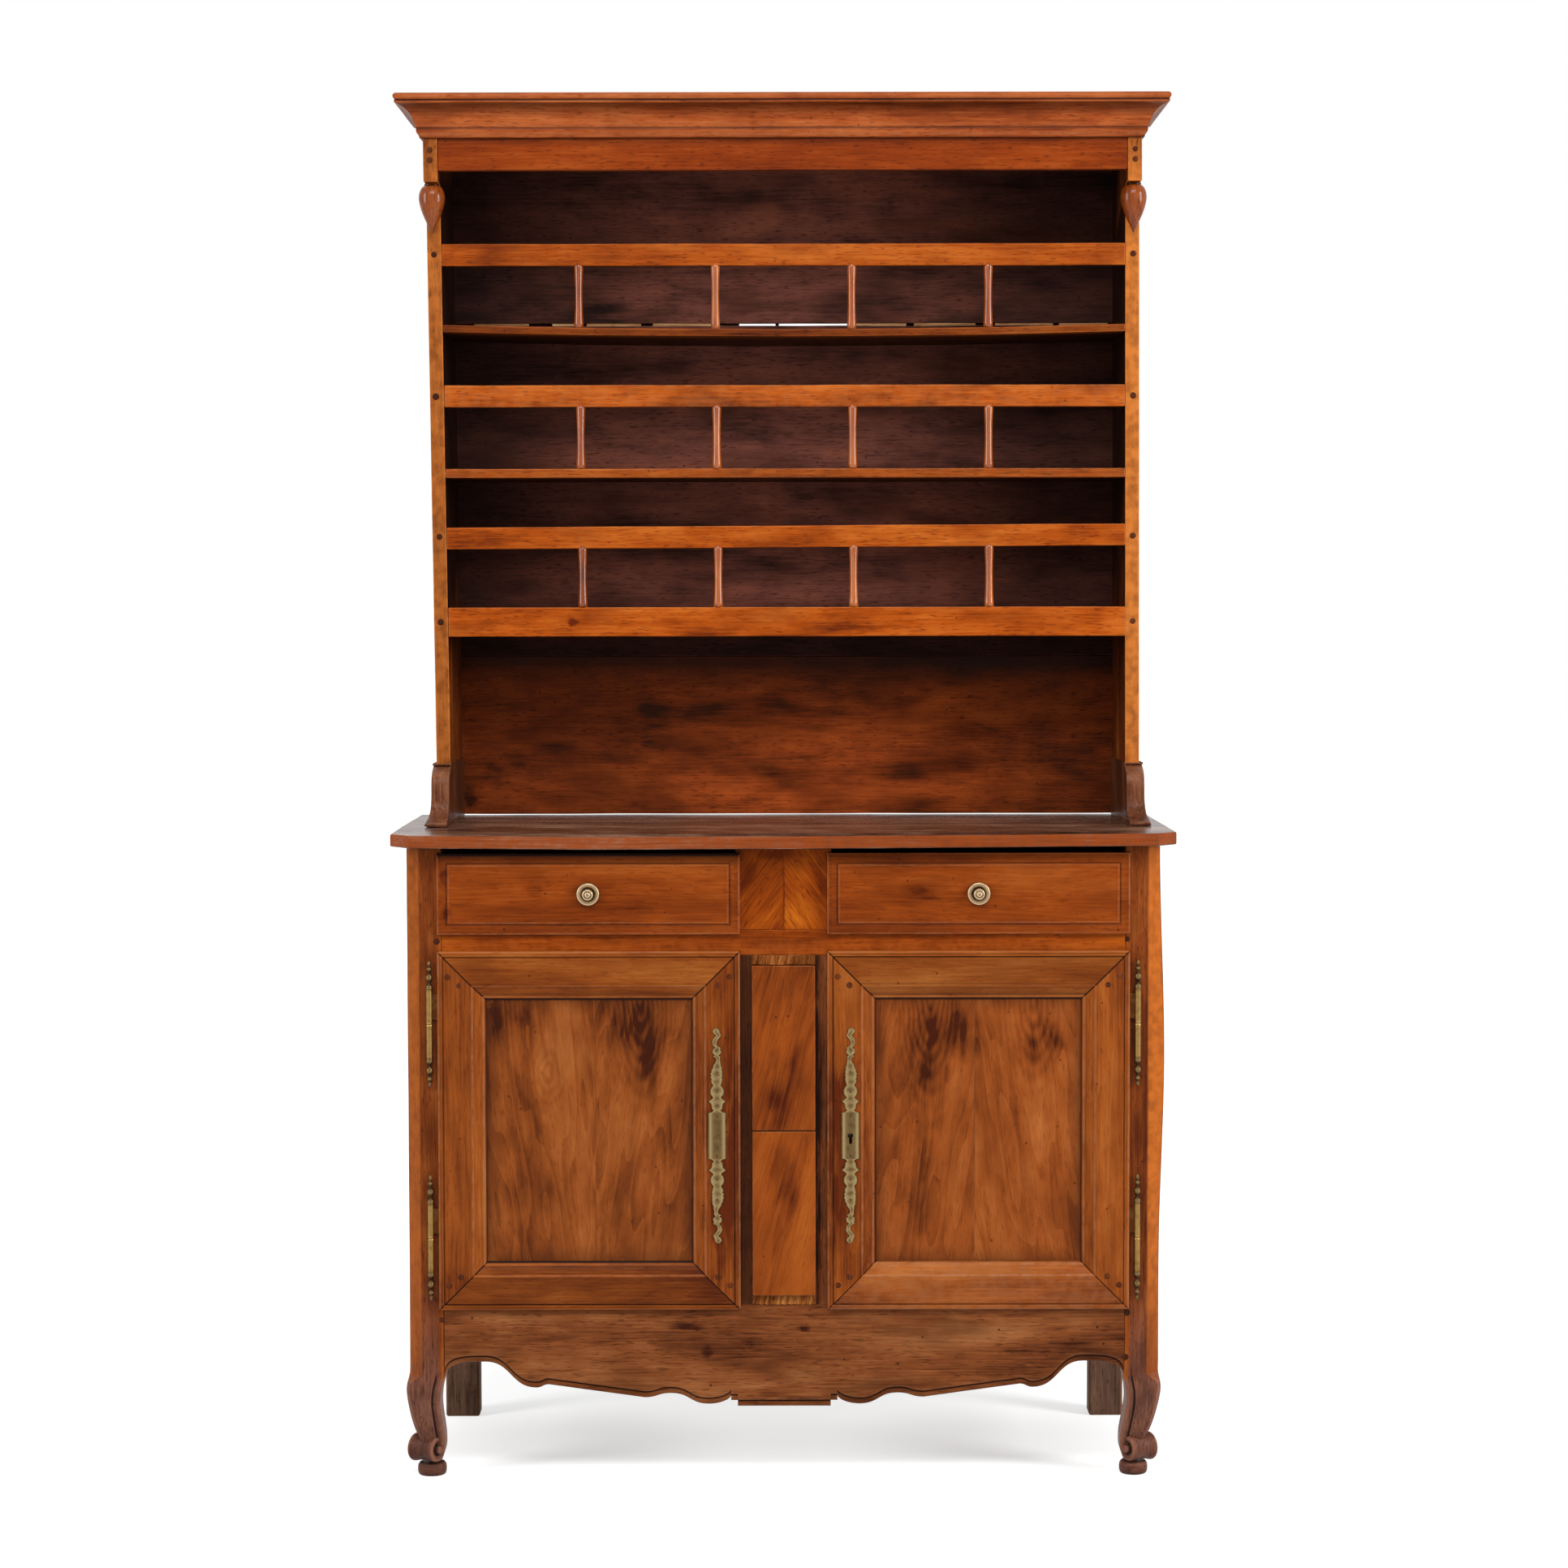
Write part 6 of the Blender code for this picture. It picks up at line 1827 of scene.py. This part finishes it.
    def finial_profile(self) -> list[Row]:
        """Turned finial from the barrel to its tip.

        Returns:
            Rows of radius, height and tone.
        """
        rows = (
            (1, 0, -0.6), (1.03, 0.02, 0.3), (1.04, 0.07, 0.5), (1.02, 0.13, 0.2), (0.62, 0.2, -0.8),
            (0.5, 0.27, -0.8), (0.9, 0.34, 0), (1.03, 0.42, 0.5), (0.9, 0.5, 0), (0.4, 0.58, -0.8),
            (0.42, 0.62, -0.6), (0.8, 0.7, 0.4), (0.7, 0.75, 0.2), (0.36, 0.8, -0.6), (0.55, 0.87, 0.3),
            (0.46, 0.94, 0.3), (0.12, 1, 0.2))
        return [
            (self.hinge_radius * radius, self.finial * height, tone)
            for radius, height, tone in smoothed(rows, 3)]

    def hinge(self, height: float, level: str) -> None:
        """Build one pin hinge: a knuckle on the door over a knuckle on the post.

        Args:
            height: Z of the joint between the knuckles.
            level: upper or lower.
        """
        sign, word = self.side.value, self.side.word
        centre = (sign * self.hinge_x, self.hinge_y, height)
        radius, half = self.hinge_radius, self.half_barrel
        barrel = [
            (0.55 * radius, 0.0003, -0.8), (0.9 * radius, 0.0003, -0.6), (radius, 0.0012, 0.4),
            (radius, 0.004, 0.0), (radius, half - 0.004, 0.0), (radius, half, -0.5)]
        tip = [(r, half + h, tone) for r, h, tone in self.finial_profile()]
        plain = Stock(Grain.Z, wobble=0.0)
        for part, flip, body in (("door", 1, self.body), ("post", -1, "base")):
            node = f"hinge_{word}_{level}_{part}_knuckle"
            shape = Shape()
            shape.turned([(r, flip * h, tone) for r, h, tone in barrel], centre, (0, 0, 1), 20, plain)
            leaf_low, leaf_high = sorted((height + flip * 0.008, height + flip * (half - 0.008)))
            if part == "door":
                # the leaf is painted dark, as the shade between door and barrel
                near, far = sorted((sign * (self.far - 0.026), sign * (self.hinge_x - 0.004)))
                shape.board(
                    (near, self.hinge_y - 0.001, leaf_low), (far, self.hinge_y + 0.001, leaf_high), plain,
                    0.0003, tone=-1.0)
            else:
                shape.board(
                    (centre[0] - 0.001, self.hinge_y + 0.004, leaf_low),
                    (centre[0] + 0.001, FACE_Y + 0.026, leaf_high), plain, 0.0003)
                shape.turned(
                    [(0.0022, 0, 0), (0.0024, 0.02, 0), (0.0022, 0.0398, 0)], centre, (0, 0, 1), 12, plain)
            dress(f"{part}_knuckle_{word}_{level}", shape, HINGE_BRASS, body, node)
            shape = Shape()
            shape.turned([(r, flip * h, tone) for r, h, tone in tip], centre, (0, 0, 1), 20, plain)
            dress(f"{part}_finial_{word}_{level}", shape, DARK_BRASS, body)

    def keyhole(self) -> list[Pair]:
        """Outline of the keyhole: a round head over a slot.

        Returns:
            X and Z of its corners.
        """
        head, slot, drop = 0.0042, 0.0046, 0.0135
        start = math.asin(slot / 2 / head)
        points = []
        for step in range(17):
            angle = -math.pi / 2 + start + (math.tau - 2 * start) * step / 16
            points.append((self.lock_x + head * math.cos(angle), self.lock_z + head * math.sin(angle)))
        return points + [
            (self.lock_x - slot / 2, self.lock_z - drop), (self.lock_x + slot / 2, self.lock_z - drop)]

    def escutcheon(self) -> None:
        """Build the long cast escutcheon, its ornament the same upside down."""
        sign, word = self.side.value, self.side.word
        # height over the plate's middle, half width or both edges, and crown (all in mm)
        even = (
            (0, 15, 1.5), (20, 15, 1.5), (36.4, 15, 1.5), (37.2, 14.8, 1.4), (38.2, 10.5, 1.4),
            (40.2, 7.2, 1.4), (42.5, 6.2, 1.5), (43.5, 8.6, 1.6), (49, 9.6, 1.6), (52.5, 10.6, 1.6),
            (54.5, 13.6, 1.6), (57, 14.2, 1.6), (58.6, 11, 1.6), (61, 8, 1.5), (63, 7, 1.6),
            (65.5, 9.6, 1.9), (69, 11.4, 2.1), (73, 11.8, 2.2), (77, 10.8, 2), (80.5, 8, 1.7))
        twisted = (
            (82.5, -6.4, 6.6, 1.6), (85, -7.6, 8.6, 1.7), (89, -8.6, 10.4, 1.9), (92.5, -9.6, 9.2, 2),
            (95, -8.6, 11.4, 2), (98.5, -9.8, 10, 2), (101, -8.8, 11.6, 2), (104.5, -9.6, 9.4, 2),
            (107, -8.4, 9.8, 1.9), (111, -8.6, 7, 1.8), (114, -6.8, 6.6, 1.8), (118, -6.2, 3.6, 1.7),
            (123, -5.2, 1.2, 1.7), (127, -5.4, 2, 1.6), (129.5, -5, 7, 1.6), (131.5, -2.8, 3.2, 1.6),
            (134, -6.6, 7, 2.1), (137.5, -7.2, 7.6, 2.3), (141, -5.6, 6.4, 1.9), (143.5, -6.6, 3, 1.6),
            (146, -1.6, 5.4, 1.6), (151, 0.4, 7.6, 1.7), (156, -1.4, 7.2, 1.7), (160, -4.6, 4.6, 1.7),
            (163.5, -6.8, 1.8, 1.7), (166, -5.6, 4.8, 1.8), (169, -4.6, 6.8, 2.2), (172, -3.8, 6.6, 2.2),
            (174.5, -1.6, 4.2, 1.6), (175.5, 0.4, 2.2, 1))
        rows = [(z, -half, half, crown) for z, half, crown in even] + list(twisted)
        dense = smoothed(rows, 2)
        whole = [(-z, -right, -left, crown) for z, left, right, crown in reversed(dense[1:])] + dense
        back = DOOR_FIELD - 0.0003
        rings = []
        for z, left, right, crown in whole:
            middle, half = (left + right) / 2, (right - left) / 2
            # engraving, drawn coarser than it is
            cut = 0.16 * math.sin(math.tau * z / 13) if abs(z) > 38 else -0.25
            dome = max(0.0, crown - 1.4)
            # tones across the plate: painted shade along its outer edges and painted highlights on its bevels
            across = (
                (-1, -0.05, -1), (-1, 0.9, -0.9), (-0.9, 1.25, 0.1), (-0.74, 1.3, 0.7),
                (-0.45, 1.3 + 0.7 * dome, 0.3 + cut), (0.0, 1.35 + dome, 0.1 + cut),
                (0.45, 1.3 + 0.7 * dome, 0.3 + cut), (0.74, 1.3, 0.7), (0.9, 1.25, 0.1), (1, 0.9, -0.9),
                (1, -0.05, -1))
            rings.append(
                [(sign * (self.lock_x + (middle + half * share) / 1000), back - lift / 1000,
                self.lock_z + z / 1000, tone) for share, lift, tone in across])
        shape = Shape()
        shape.loft(rings, Stock(Grain.Z, wobble=0.0))
        piece = dress(f"cast_escutcheon_{word}", shape, BRASS, self.body, f"escutcheon_{word}")
        if self.side is Side.RIGHT:
            drill(piece, self.keyhole(), DOOR_FIELD - 0.02, DOOR_FIELD + 0.002)
        points = [
            (sign * self.lock_x, back - 0.0016, self.lock_z + up * z) for z in (0.0325, 0.0715, 0.104)
            for up in (1, -1)]
        NodeKit.grow(
            f"escutcheon_pins_{word}", HEADS, points, {"Radius": 0.0019, "Proud": 0.0009}, DARK_BRASS,
            self.body)


@dataclass
class Drawer:
    """Drawer with a scribed and bevelled front, an open box and a brass knob."""

    side: Side
    knob_radius: float = 0.0183
    wall: float = 0.012
    floor: float = 0.008
    seam: float = 0.0002
    rebate: Row = (0.009, 0.0073, 0.004)     # in from the lip's ends, its lower and its upper edge
    # inset from the lip's edge, depth behind the field (both in mm) and tone; the tones paint highlights on
    # the rounds, and dark wax and painted shade in the hollows
    front: tuple[Row, ...] = (
        (0, 12.2, -0.6), (0, 6.6, 0.3), (0.5, 5.2, 0.9), (1.8, 4.4, 0.7), (3.2, 4, 0), (5, 3.7, -0.25),
        (9, 2.9, -0.1), (13, 2.1, -0.1), (15.2, 1.7, -0.3), (16, 2.2, -0.5), (17.4, 2.2, -0.5),
        (18, 0.4, 0.3), (19.4, 0, 0.45), (20.8, 0, 0.3), (22, 0, -0.1), (26, 0, 0))
    # share of the radius, height in mm and tone; the tones paint highlights on the rims and shade in the
    # groove
    knob: tuple[Row, ...] = (
        (1, 0, -0.8), (1.02, 1.2, -0.3), (1.01, 2.8, 0.3), (0.96, 4.2, 0.6), (0.9, 4.6, 0.2),
        (0.82, 4.5, 0.1), (0.74, 4.2, 0.3), (0.67, 3.6, 0.6), (0.61, 2.8, 0.4), (0.575, 2, -0.5),
        (0.545, 1.6, -1), (0.525, 1.7, -1), (0.515, 4, -0.6), (0.51, 12, 0.2), (0.49, 15.5, 0.7),
        (0.43, 17, 0.5), (0.36, 17.2, 0), (0.31, 16.6, -0.5), (0.26, 17, 0.1), (0.2, 18.8, 0.7),
        (0.13, 19.2, 0.3), (0.09, 18.4, -0.6), (0.05, 18.2, -0.3), (0.01, 18.6, 0.2))

    @property
    def body(self) -> str:
        """Body that the drawer's pieces ride on."""
        return f"drawer_{self.side.word}"

    @staticmethod
    def ring(left: float, right: float, bottom: float, top: float, y: float, tone: float) -> list[Point]:
        """Upright rectangle with points up its sides, so that shade can change over its height.

        Args:
            left: least x.
            right: greatest x.
            bottom: least z.
            top: greatest z.
            y: depth.
            tone: tone of its points.

        Returns:
            The ring.
        """
        heights = [bottom + (top - bottom) * share for share in (0, 0.5, 0.82, 0.96, 1)]
        return [(right, y, z, tone) for z in heights] + [(left, y, z, tone) for z in reversed(heights)]

    def build(self) -> None:
        """Build and dress the drawer."""
        word = self.side.word
        low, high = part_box(f"drawer_{word}_front")
        ends, lower, upper = self.rebate
        rings = [
            self.ring(low[0] + ends, high[0] - ends, low[2] + lower, high[2] - upper, DOOR_FIELD + depth, 0.0)
            for depth in (0.0235, 0.0122)]
        for inset, depth, tone in self.front:
            y, u = DOOR_FIELD + depth / 1000, inset / 1000
            rings.append(self.ring(low[0] + u, high[0] - u, low[2] + u, high[2] - u, y, tone))
        dim = 1.0 if self.side is Side.LEFT else 0.15    # the counter hangs lower over the left drawer
        edge = high[2]

        def shaded(place: Vector) -> float:
            """Shadow of the counter along the top of the front."""
            fade = max(0.0, 1 - (edge - place.z) / 0.022)
            return -dim * (1.3 * (place.z > edge - 0.0035) + 0.6 * fade)

        shape = Shape()
        shape.loft(rings, Stock(Grain.X, 121.0 + 3 * self.side.value, wobble=0.0, shade=shaded))
        dress(f"scribed_front_{word}", shape, DRAWER_WOOD, self.body, f"drawer_{word}_front")

        low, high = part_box(f"drawer_{word}_box")
        shape = Shape()
        shape.board(low, (high[0], high[1], low[2] + self.floor), Stock(Grain.X, 132.0), 0.0006, 0.12)
        wall, inner, lift = self.wall, self.wall + self.seam, low[2] + self.floor + self.seam / 2
        for start, end, front, stock in (
                (low[0], low[0] + wall, low[1], Stock(Grain.Y, 131.0)),
                (high[0] - wall, high[0], low[1], Stock(Grain.Y, 131.0)),
                (low[0] + inner, high[0] - inner, high[1] - wall, Stock(Grain.X, 133.0))):
            shape.board((start, front, lift), (end, high[1], high[2]), stock, 0.0012, 0.12)
        dress(f"open_box_{word}", shape, INSIDE_WOOD, self.body, f"drawer_{word}_box")

        low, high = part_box(f"drawer_{word}_knob")
        centre = ((low[0] + high[0]) / 2, high[1], (low[2] + high[2]) / 2)
        profile = [
            (self.knob_radius * share, height / 1000, tone)
            for share, height, tone in smoothed(self.knob, 3)]
        shape = Shape()
        shape.turned(profile, centre, (0, -1, 0), 40, Stock(wobble=0.0))
        dress(f"brass_knob_{word}", shape, KNOB_BRASS, self.body, f"drawer_{word}_knob")


@dataclass
class Carcass:
    """Rear posts, side frames, back planks and the boards inside the cupboard."""

    frame_width: float = 0.075
    recess: float = 0.008
    planks: int = 6
    seam: float = 0.0002
    tongue: float = 0.006
    runner: float = 0.060
    middle_runner: float = 0.110
    cross_bar: float = 0.050

    def build(self) -> None:
        """Build and dress the carcass."""
        for side in Side:
            self.side_frame(side)
            stock = Stock(Grain.Z, 141.0 + side.value, wobble=0.0002)
            dress_board(f"rear_corner_{side.word}", f"rear_post_{side.word}", REAR_WOOD, stock, 0.004)
        low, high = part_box("base_back")
        shape = Shape()
        pitch = (high[0] - low[0]) / self.planks
        for number in range(self.planks):
            start = low[0] + number * pitch
            shape.board(
                (start, low[1], low[2]), (start + pitch - 0.0006, high[1], high[2]),
                Stock(Grain.Z, 151.0 + number, wobble=0.0006), 0.0012, 0.09)
        dress("back_planks", shape, REAR_WOOD, "base", "base_back")
        self.inside()

    def side_frame(self, side: Side) -> None:
        """Build one side: two stiles, two rails and a sunk panel.

        Args:
            side: left or right.
        """
        low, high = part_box(f"side_panel_{side.word}")
        width = self.frame_width
        out = high[0] if side is Side.RIGHT else low[0]
        sunk = sorted((out - side.value * self.recess, out - side.value * (self.recess + 0.009)))
        seed = 161.0 + side.value
        shape = Shape()
        for start, end in ((low[1], low[1] + width), (high[1] - width, high[1])):
            shape.board(
                (low[0], start, low[2]), (high[0], end, high[2]), Stock(Grain.Z, seed + start), 0.0018,
                0.09)
        for start, end in ((low[2], low[2] + width), (high[2] - width, high[2])):
            shape.board(
                (low[0], low[1] + width + self.seam, start), (high[0], high[1] - width - self.seam, end),
                Stock(Grain.Y, seed + start), 0.0018, 0.09)
        inset = width - self.tongue
        shape.board(
            (sunk[0], low[1] + inset, low[2] + inset), (sunk[1], high[1] - inset, high[2] - inset),
            Stock(Grain.Z, seed + 5), 0.0008, 0.09)
        dress(f"framed_side_{side.word}", shape, SIDE_PANEL_WOOD, "base", f"side_panel_{side.word}")

    def inside(self) -> None:
        """Build the floor, the inner shelf and the drawer runners; dress the lock."""
        low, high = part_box("cupboard_floor")
        post_rear, post_inner = -0.1642, 0.5532
        outline = [
            (-post_inner, low[1]), (post_inner, low[1]), (post_inner, post_rear), (high[0], post_rear),
            (high[0], high[1]), (low[0], high[1]), (low[0], post_rear), (-post_inner, post_rear)]
        shape = Shape()
        shape.slab(outline, Axis.Z, low[2], high[2], Stock(Grain.X, 171.0, wobble=0.0), 0.0008)
        dress("floor_board", shape, INSIDE_WOOD, "base", "cupboard_floor")
        dress_board("inner_shelf", "cupboard_shelf", INSIDE_WOOD, Stock(Grain.X, 172.0), 0.0012, 0.12)
        low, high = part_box("drawer_runners")
        shape = Shape()
        bar = high[1] - self.cross_bar
        for start, end in (
                (low[0], low[0] + self.runner), (-self.middle_runner, self.middle_runner),
                (high[0] - self.runner, high[0])):
            shape.board(
                (start, low[1], low[2]), (end, bar - self.seam, high[2]), Stock(Grain.Y, 173.0 + start),
                0.0008, 0.12)
        shape.board((low[0], bar, low[2]), high, Stock(Grain.X, 174.0), 0.0008, 0.12)
        dress("runner_frame", shape, INSIDE_WOOD, "base", "drawer_runners")
        for node in ("lock_case", "lock_bolt"):
            for slot in bpy.data.objects[node].material_slots:
                slot.material = IRON.material()


@dataclass
class FramePegs:
    """Wooden pegs that pin the joints of the fixed frame."""

    radius: float = 0.0052
    proud: float = 0.0009

    def build(self) -> None:
        """Set the pegs of the rack's uprights and of the posts."""
        levels = (
            (2.008, -0.5815, 0.586), (1.772, -0.58, 0.5865), (1.538, -0.5755, 0.5868),
            (1.395, -0.5745, 0.5872))
        rack = [(row[side], RACK_FRONT, row[0]) for side in (1, 2) for row in levels]
        heads = [(x, RackEnd.head_front, z) for x in (-0.5835, 0.5845) for z in (2.159, 2.1755)]
        posts = [
            (-0.5615, FACE_Y, 0.880), (0.5570, FACE_Y, 0.882), (0.5580, FACE_Y, 0.272),
            (0.5555, FACE_Y, 0.199), (-0.5570, FACE_Y, 0.262)]
        NodeKit.grow(
            "frame_pegs", HEADS, rack + heads + posts, {"Radius": self.radius, "Proud": self.proud},
            PEG_WOOD, "base")


@dataclass(frozen=True)
class Lamp:
    """One soft box: its place, what it faces, its size and its power."""

    name: str
    place: Row
    target: Row
    wide: float
    tall: float
    power: float

    def hang(self) -> None:
        """Add the lamp to the scene."""
        data = bpy.data.lights.new(self.name, "AREA")
        data.shape, data.size, data.size_y, data.energy = "RECTANGLE", self.wide, self.tall, self.power
        lamp = placed(self.name, data)
        aim = Vector(self.target) - Vector(self.place)
        turn = aim.to_track_quat("-Z", "Y").to_matrix().to_4x4()
        lamp.matrix_world = Matrix.Translation(self.place) @ turn


@dataclass
class Studio:
    """Pale floor, soft boxes and the camera of the photograph."""

    focal_px: float = 4230.0
    frame_px: float = 1932.0
    camera_place: Row = (0, -5.7575, 1.4235)
    drop_px: float = 221.0
    roll: float = 0.10
    yaw: float = -0.013
    floor_half: float = 30.0
    lamps: tuple[Lamp, ...] = (
        Lamp("soft_box_left", (-3.9, -1.9, 2.4), (0, 0, 1.1), 1.3, 2.6, 98.0),
        Lamp("soft_box_right", (3.9, -1.9, 2.4), (0, 0, 1.1), 1.3, 2.6, 154.0),
        Lamp("soft_box_above", (0, -3.2, 4.2), (0, 0, 0.9), 2.6, 1.2, 98.0))

    def build(self) -> None:
        """Set up the studio."""
        scene = bpy.context.scene
        scene.view_settings.view_transform = "Standard"
        data = bpy.data.cameras.new("photograph")
        data.sensor_width = 36.0
        data.lens = self.focal_px / self.frame_px * data.sensor_width
        camera = placed("photograph", data)
        pitch = math.pi / 2 - math.atan(self.drop_px / self.focal_px)
        stand = Matrix.Translation(self.camera_place)
        for angle, axis in ((math.radians(self.yaw), "Z"), (pitch, "X"), (-math.radians(self.roll), "Z")):
            stand = stand @ Matrix.Rotation(angle, 4, axis)
        camera.matrix_world = stand
        scene.camera = camera
        for lamp in self.lamps:
            lamp.hang()
        self.surround(scene)
        self.floor()

    def surround(self, scene: bpy.types.Scene) -> None:
        """White surround for the eye and for gloss, a softer one for light.

        Args:
            scene: the scene.
        """
        world = bpy.data.worlds.new("studio")
        world.use_nodes = True
        scene.world = world
        tree = world.node_tree
        seen = self.seen(tree)
        strength = add_node(tree, "MapRange", {0: seen, 3: 0.24, 4: 1.0})
        feed(tree, tree.nodes["Background"], {"Strength": strength, "Color": linear("FFFFFF")})

    @staticmethod
    def seen(tree: Tree) -> Socket:
        """Factor that is 1 for rays from the eye and from gloss."""
        rays = tree.nodes.new("ShaderNodeLightPath").outputs
        return add_node(
            tree, "Math", {0: rays["Is Camera Ray"], 1: rays["Is Glossy Ray"]}, operation="MAXIMUM")

    def floor(self) -> None:
        """White paper floor that keeps the shadow, with painted shadow in from each foot, and fades into the
        surround.
        """
        mesh = bpy.data.meshes.new("paper_floor")
        half = self.floor_half
        mesh.from_pydata(
            [(-half, -half, 0), (half, -half, 0), (half, half, 0), (-half, half, 0)], [], [(0, 1, 2, 3)])
        floor = placed("paper_floor", mesh)
        paper = bpy.data.materials.new("white_paper")
        paper.use_nodes = True
        tree = paper.node_tree
        add = partial(add_node, tree)
        place = add("TexCoord", out="Object")
        far = add("VectorMath", {0: place}, "Value", operation="LENGTH")
        glow = add("MapRange", {0: far, 1: 0.5, 2: 2.6, 3: 0.70, 4: 1.0}, interpolation_type="SMOOTHSTEP")
        # Painted shadow: the paper glows least in from each foot, where the least light comes in under the
        # apron.
        foot = add("VectorMath", {0: place}, "Vector", operation="ABSOLUTE")
        foot = add("VectorMath", {0: foot, 1: (0.37, 0.06, 0)}, "Value", operation="DISTANCE")
        shade = add(
            "MapRange", {0: foot, 1: 0.04, 2: 0.32, 3: 0.15, 4: 0.0}, interpolation_type="SMOOTHSTEP")
        glow = add("Math", {0: glow, 1: shade}, operation="SUBTRACT")
        glow = add("Math", {0: glow, 1: self.seen(tree)}, operation="MULTIPLY")
        feed(tree, tree.nodes["Principled BSDF"], {
            "Base Color": linear("D8D8D8"), "Roughness": 0.9, "Specular IOR Level": 0.0,
            "Emission Color": linear("FFFFFF"), "Emission Strength": glow})
        mesh.materials.append(paper)


HEADS = NodeKit.heads()


def main() -> None:
    """Build every part of the buffet in order, then the studio."""
    logging.basicConfig(level=logging.INFO, format="%(name)s: %(message)s")
    noise.seed_set(WEAR_SEED)
    Studio().build()
    Cornice().build()
    PlateRack().build()
    Counter().build()
    for side in Side:
        CornerPost(side).build()
        Door(side).build()
        Drawer(side).build()
    Apron().build()
    CentreStiles().build()
    Carcass().build()
    FramePegs().build()


if __name__ == "__main__":
    main()
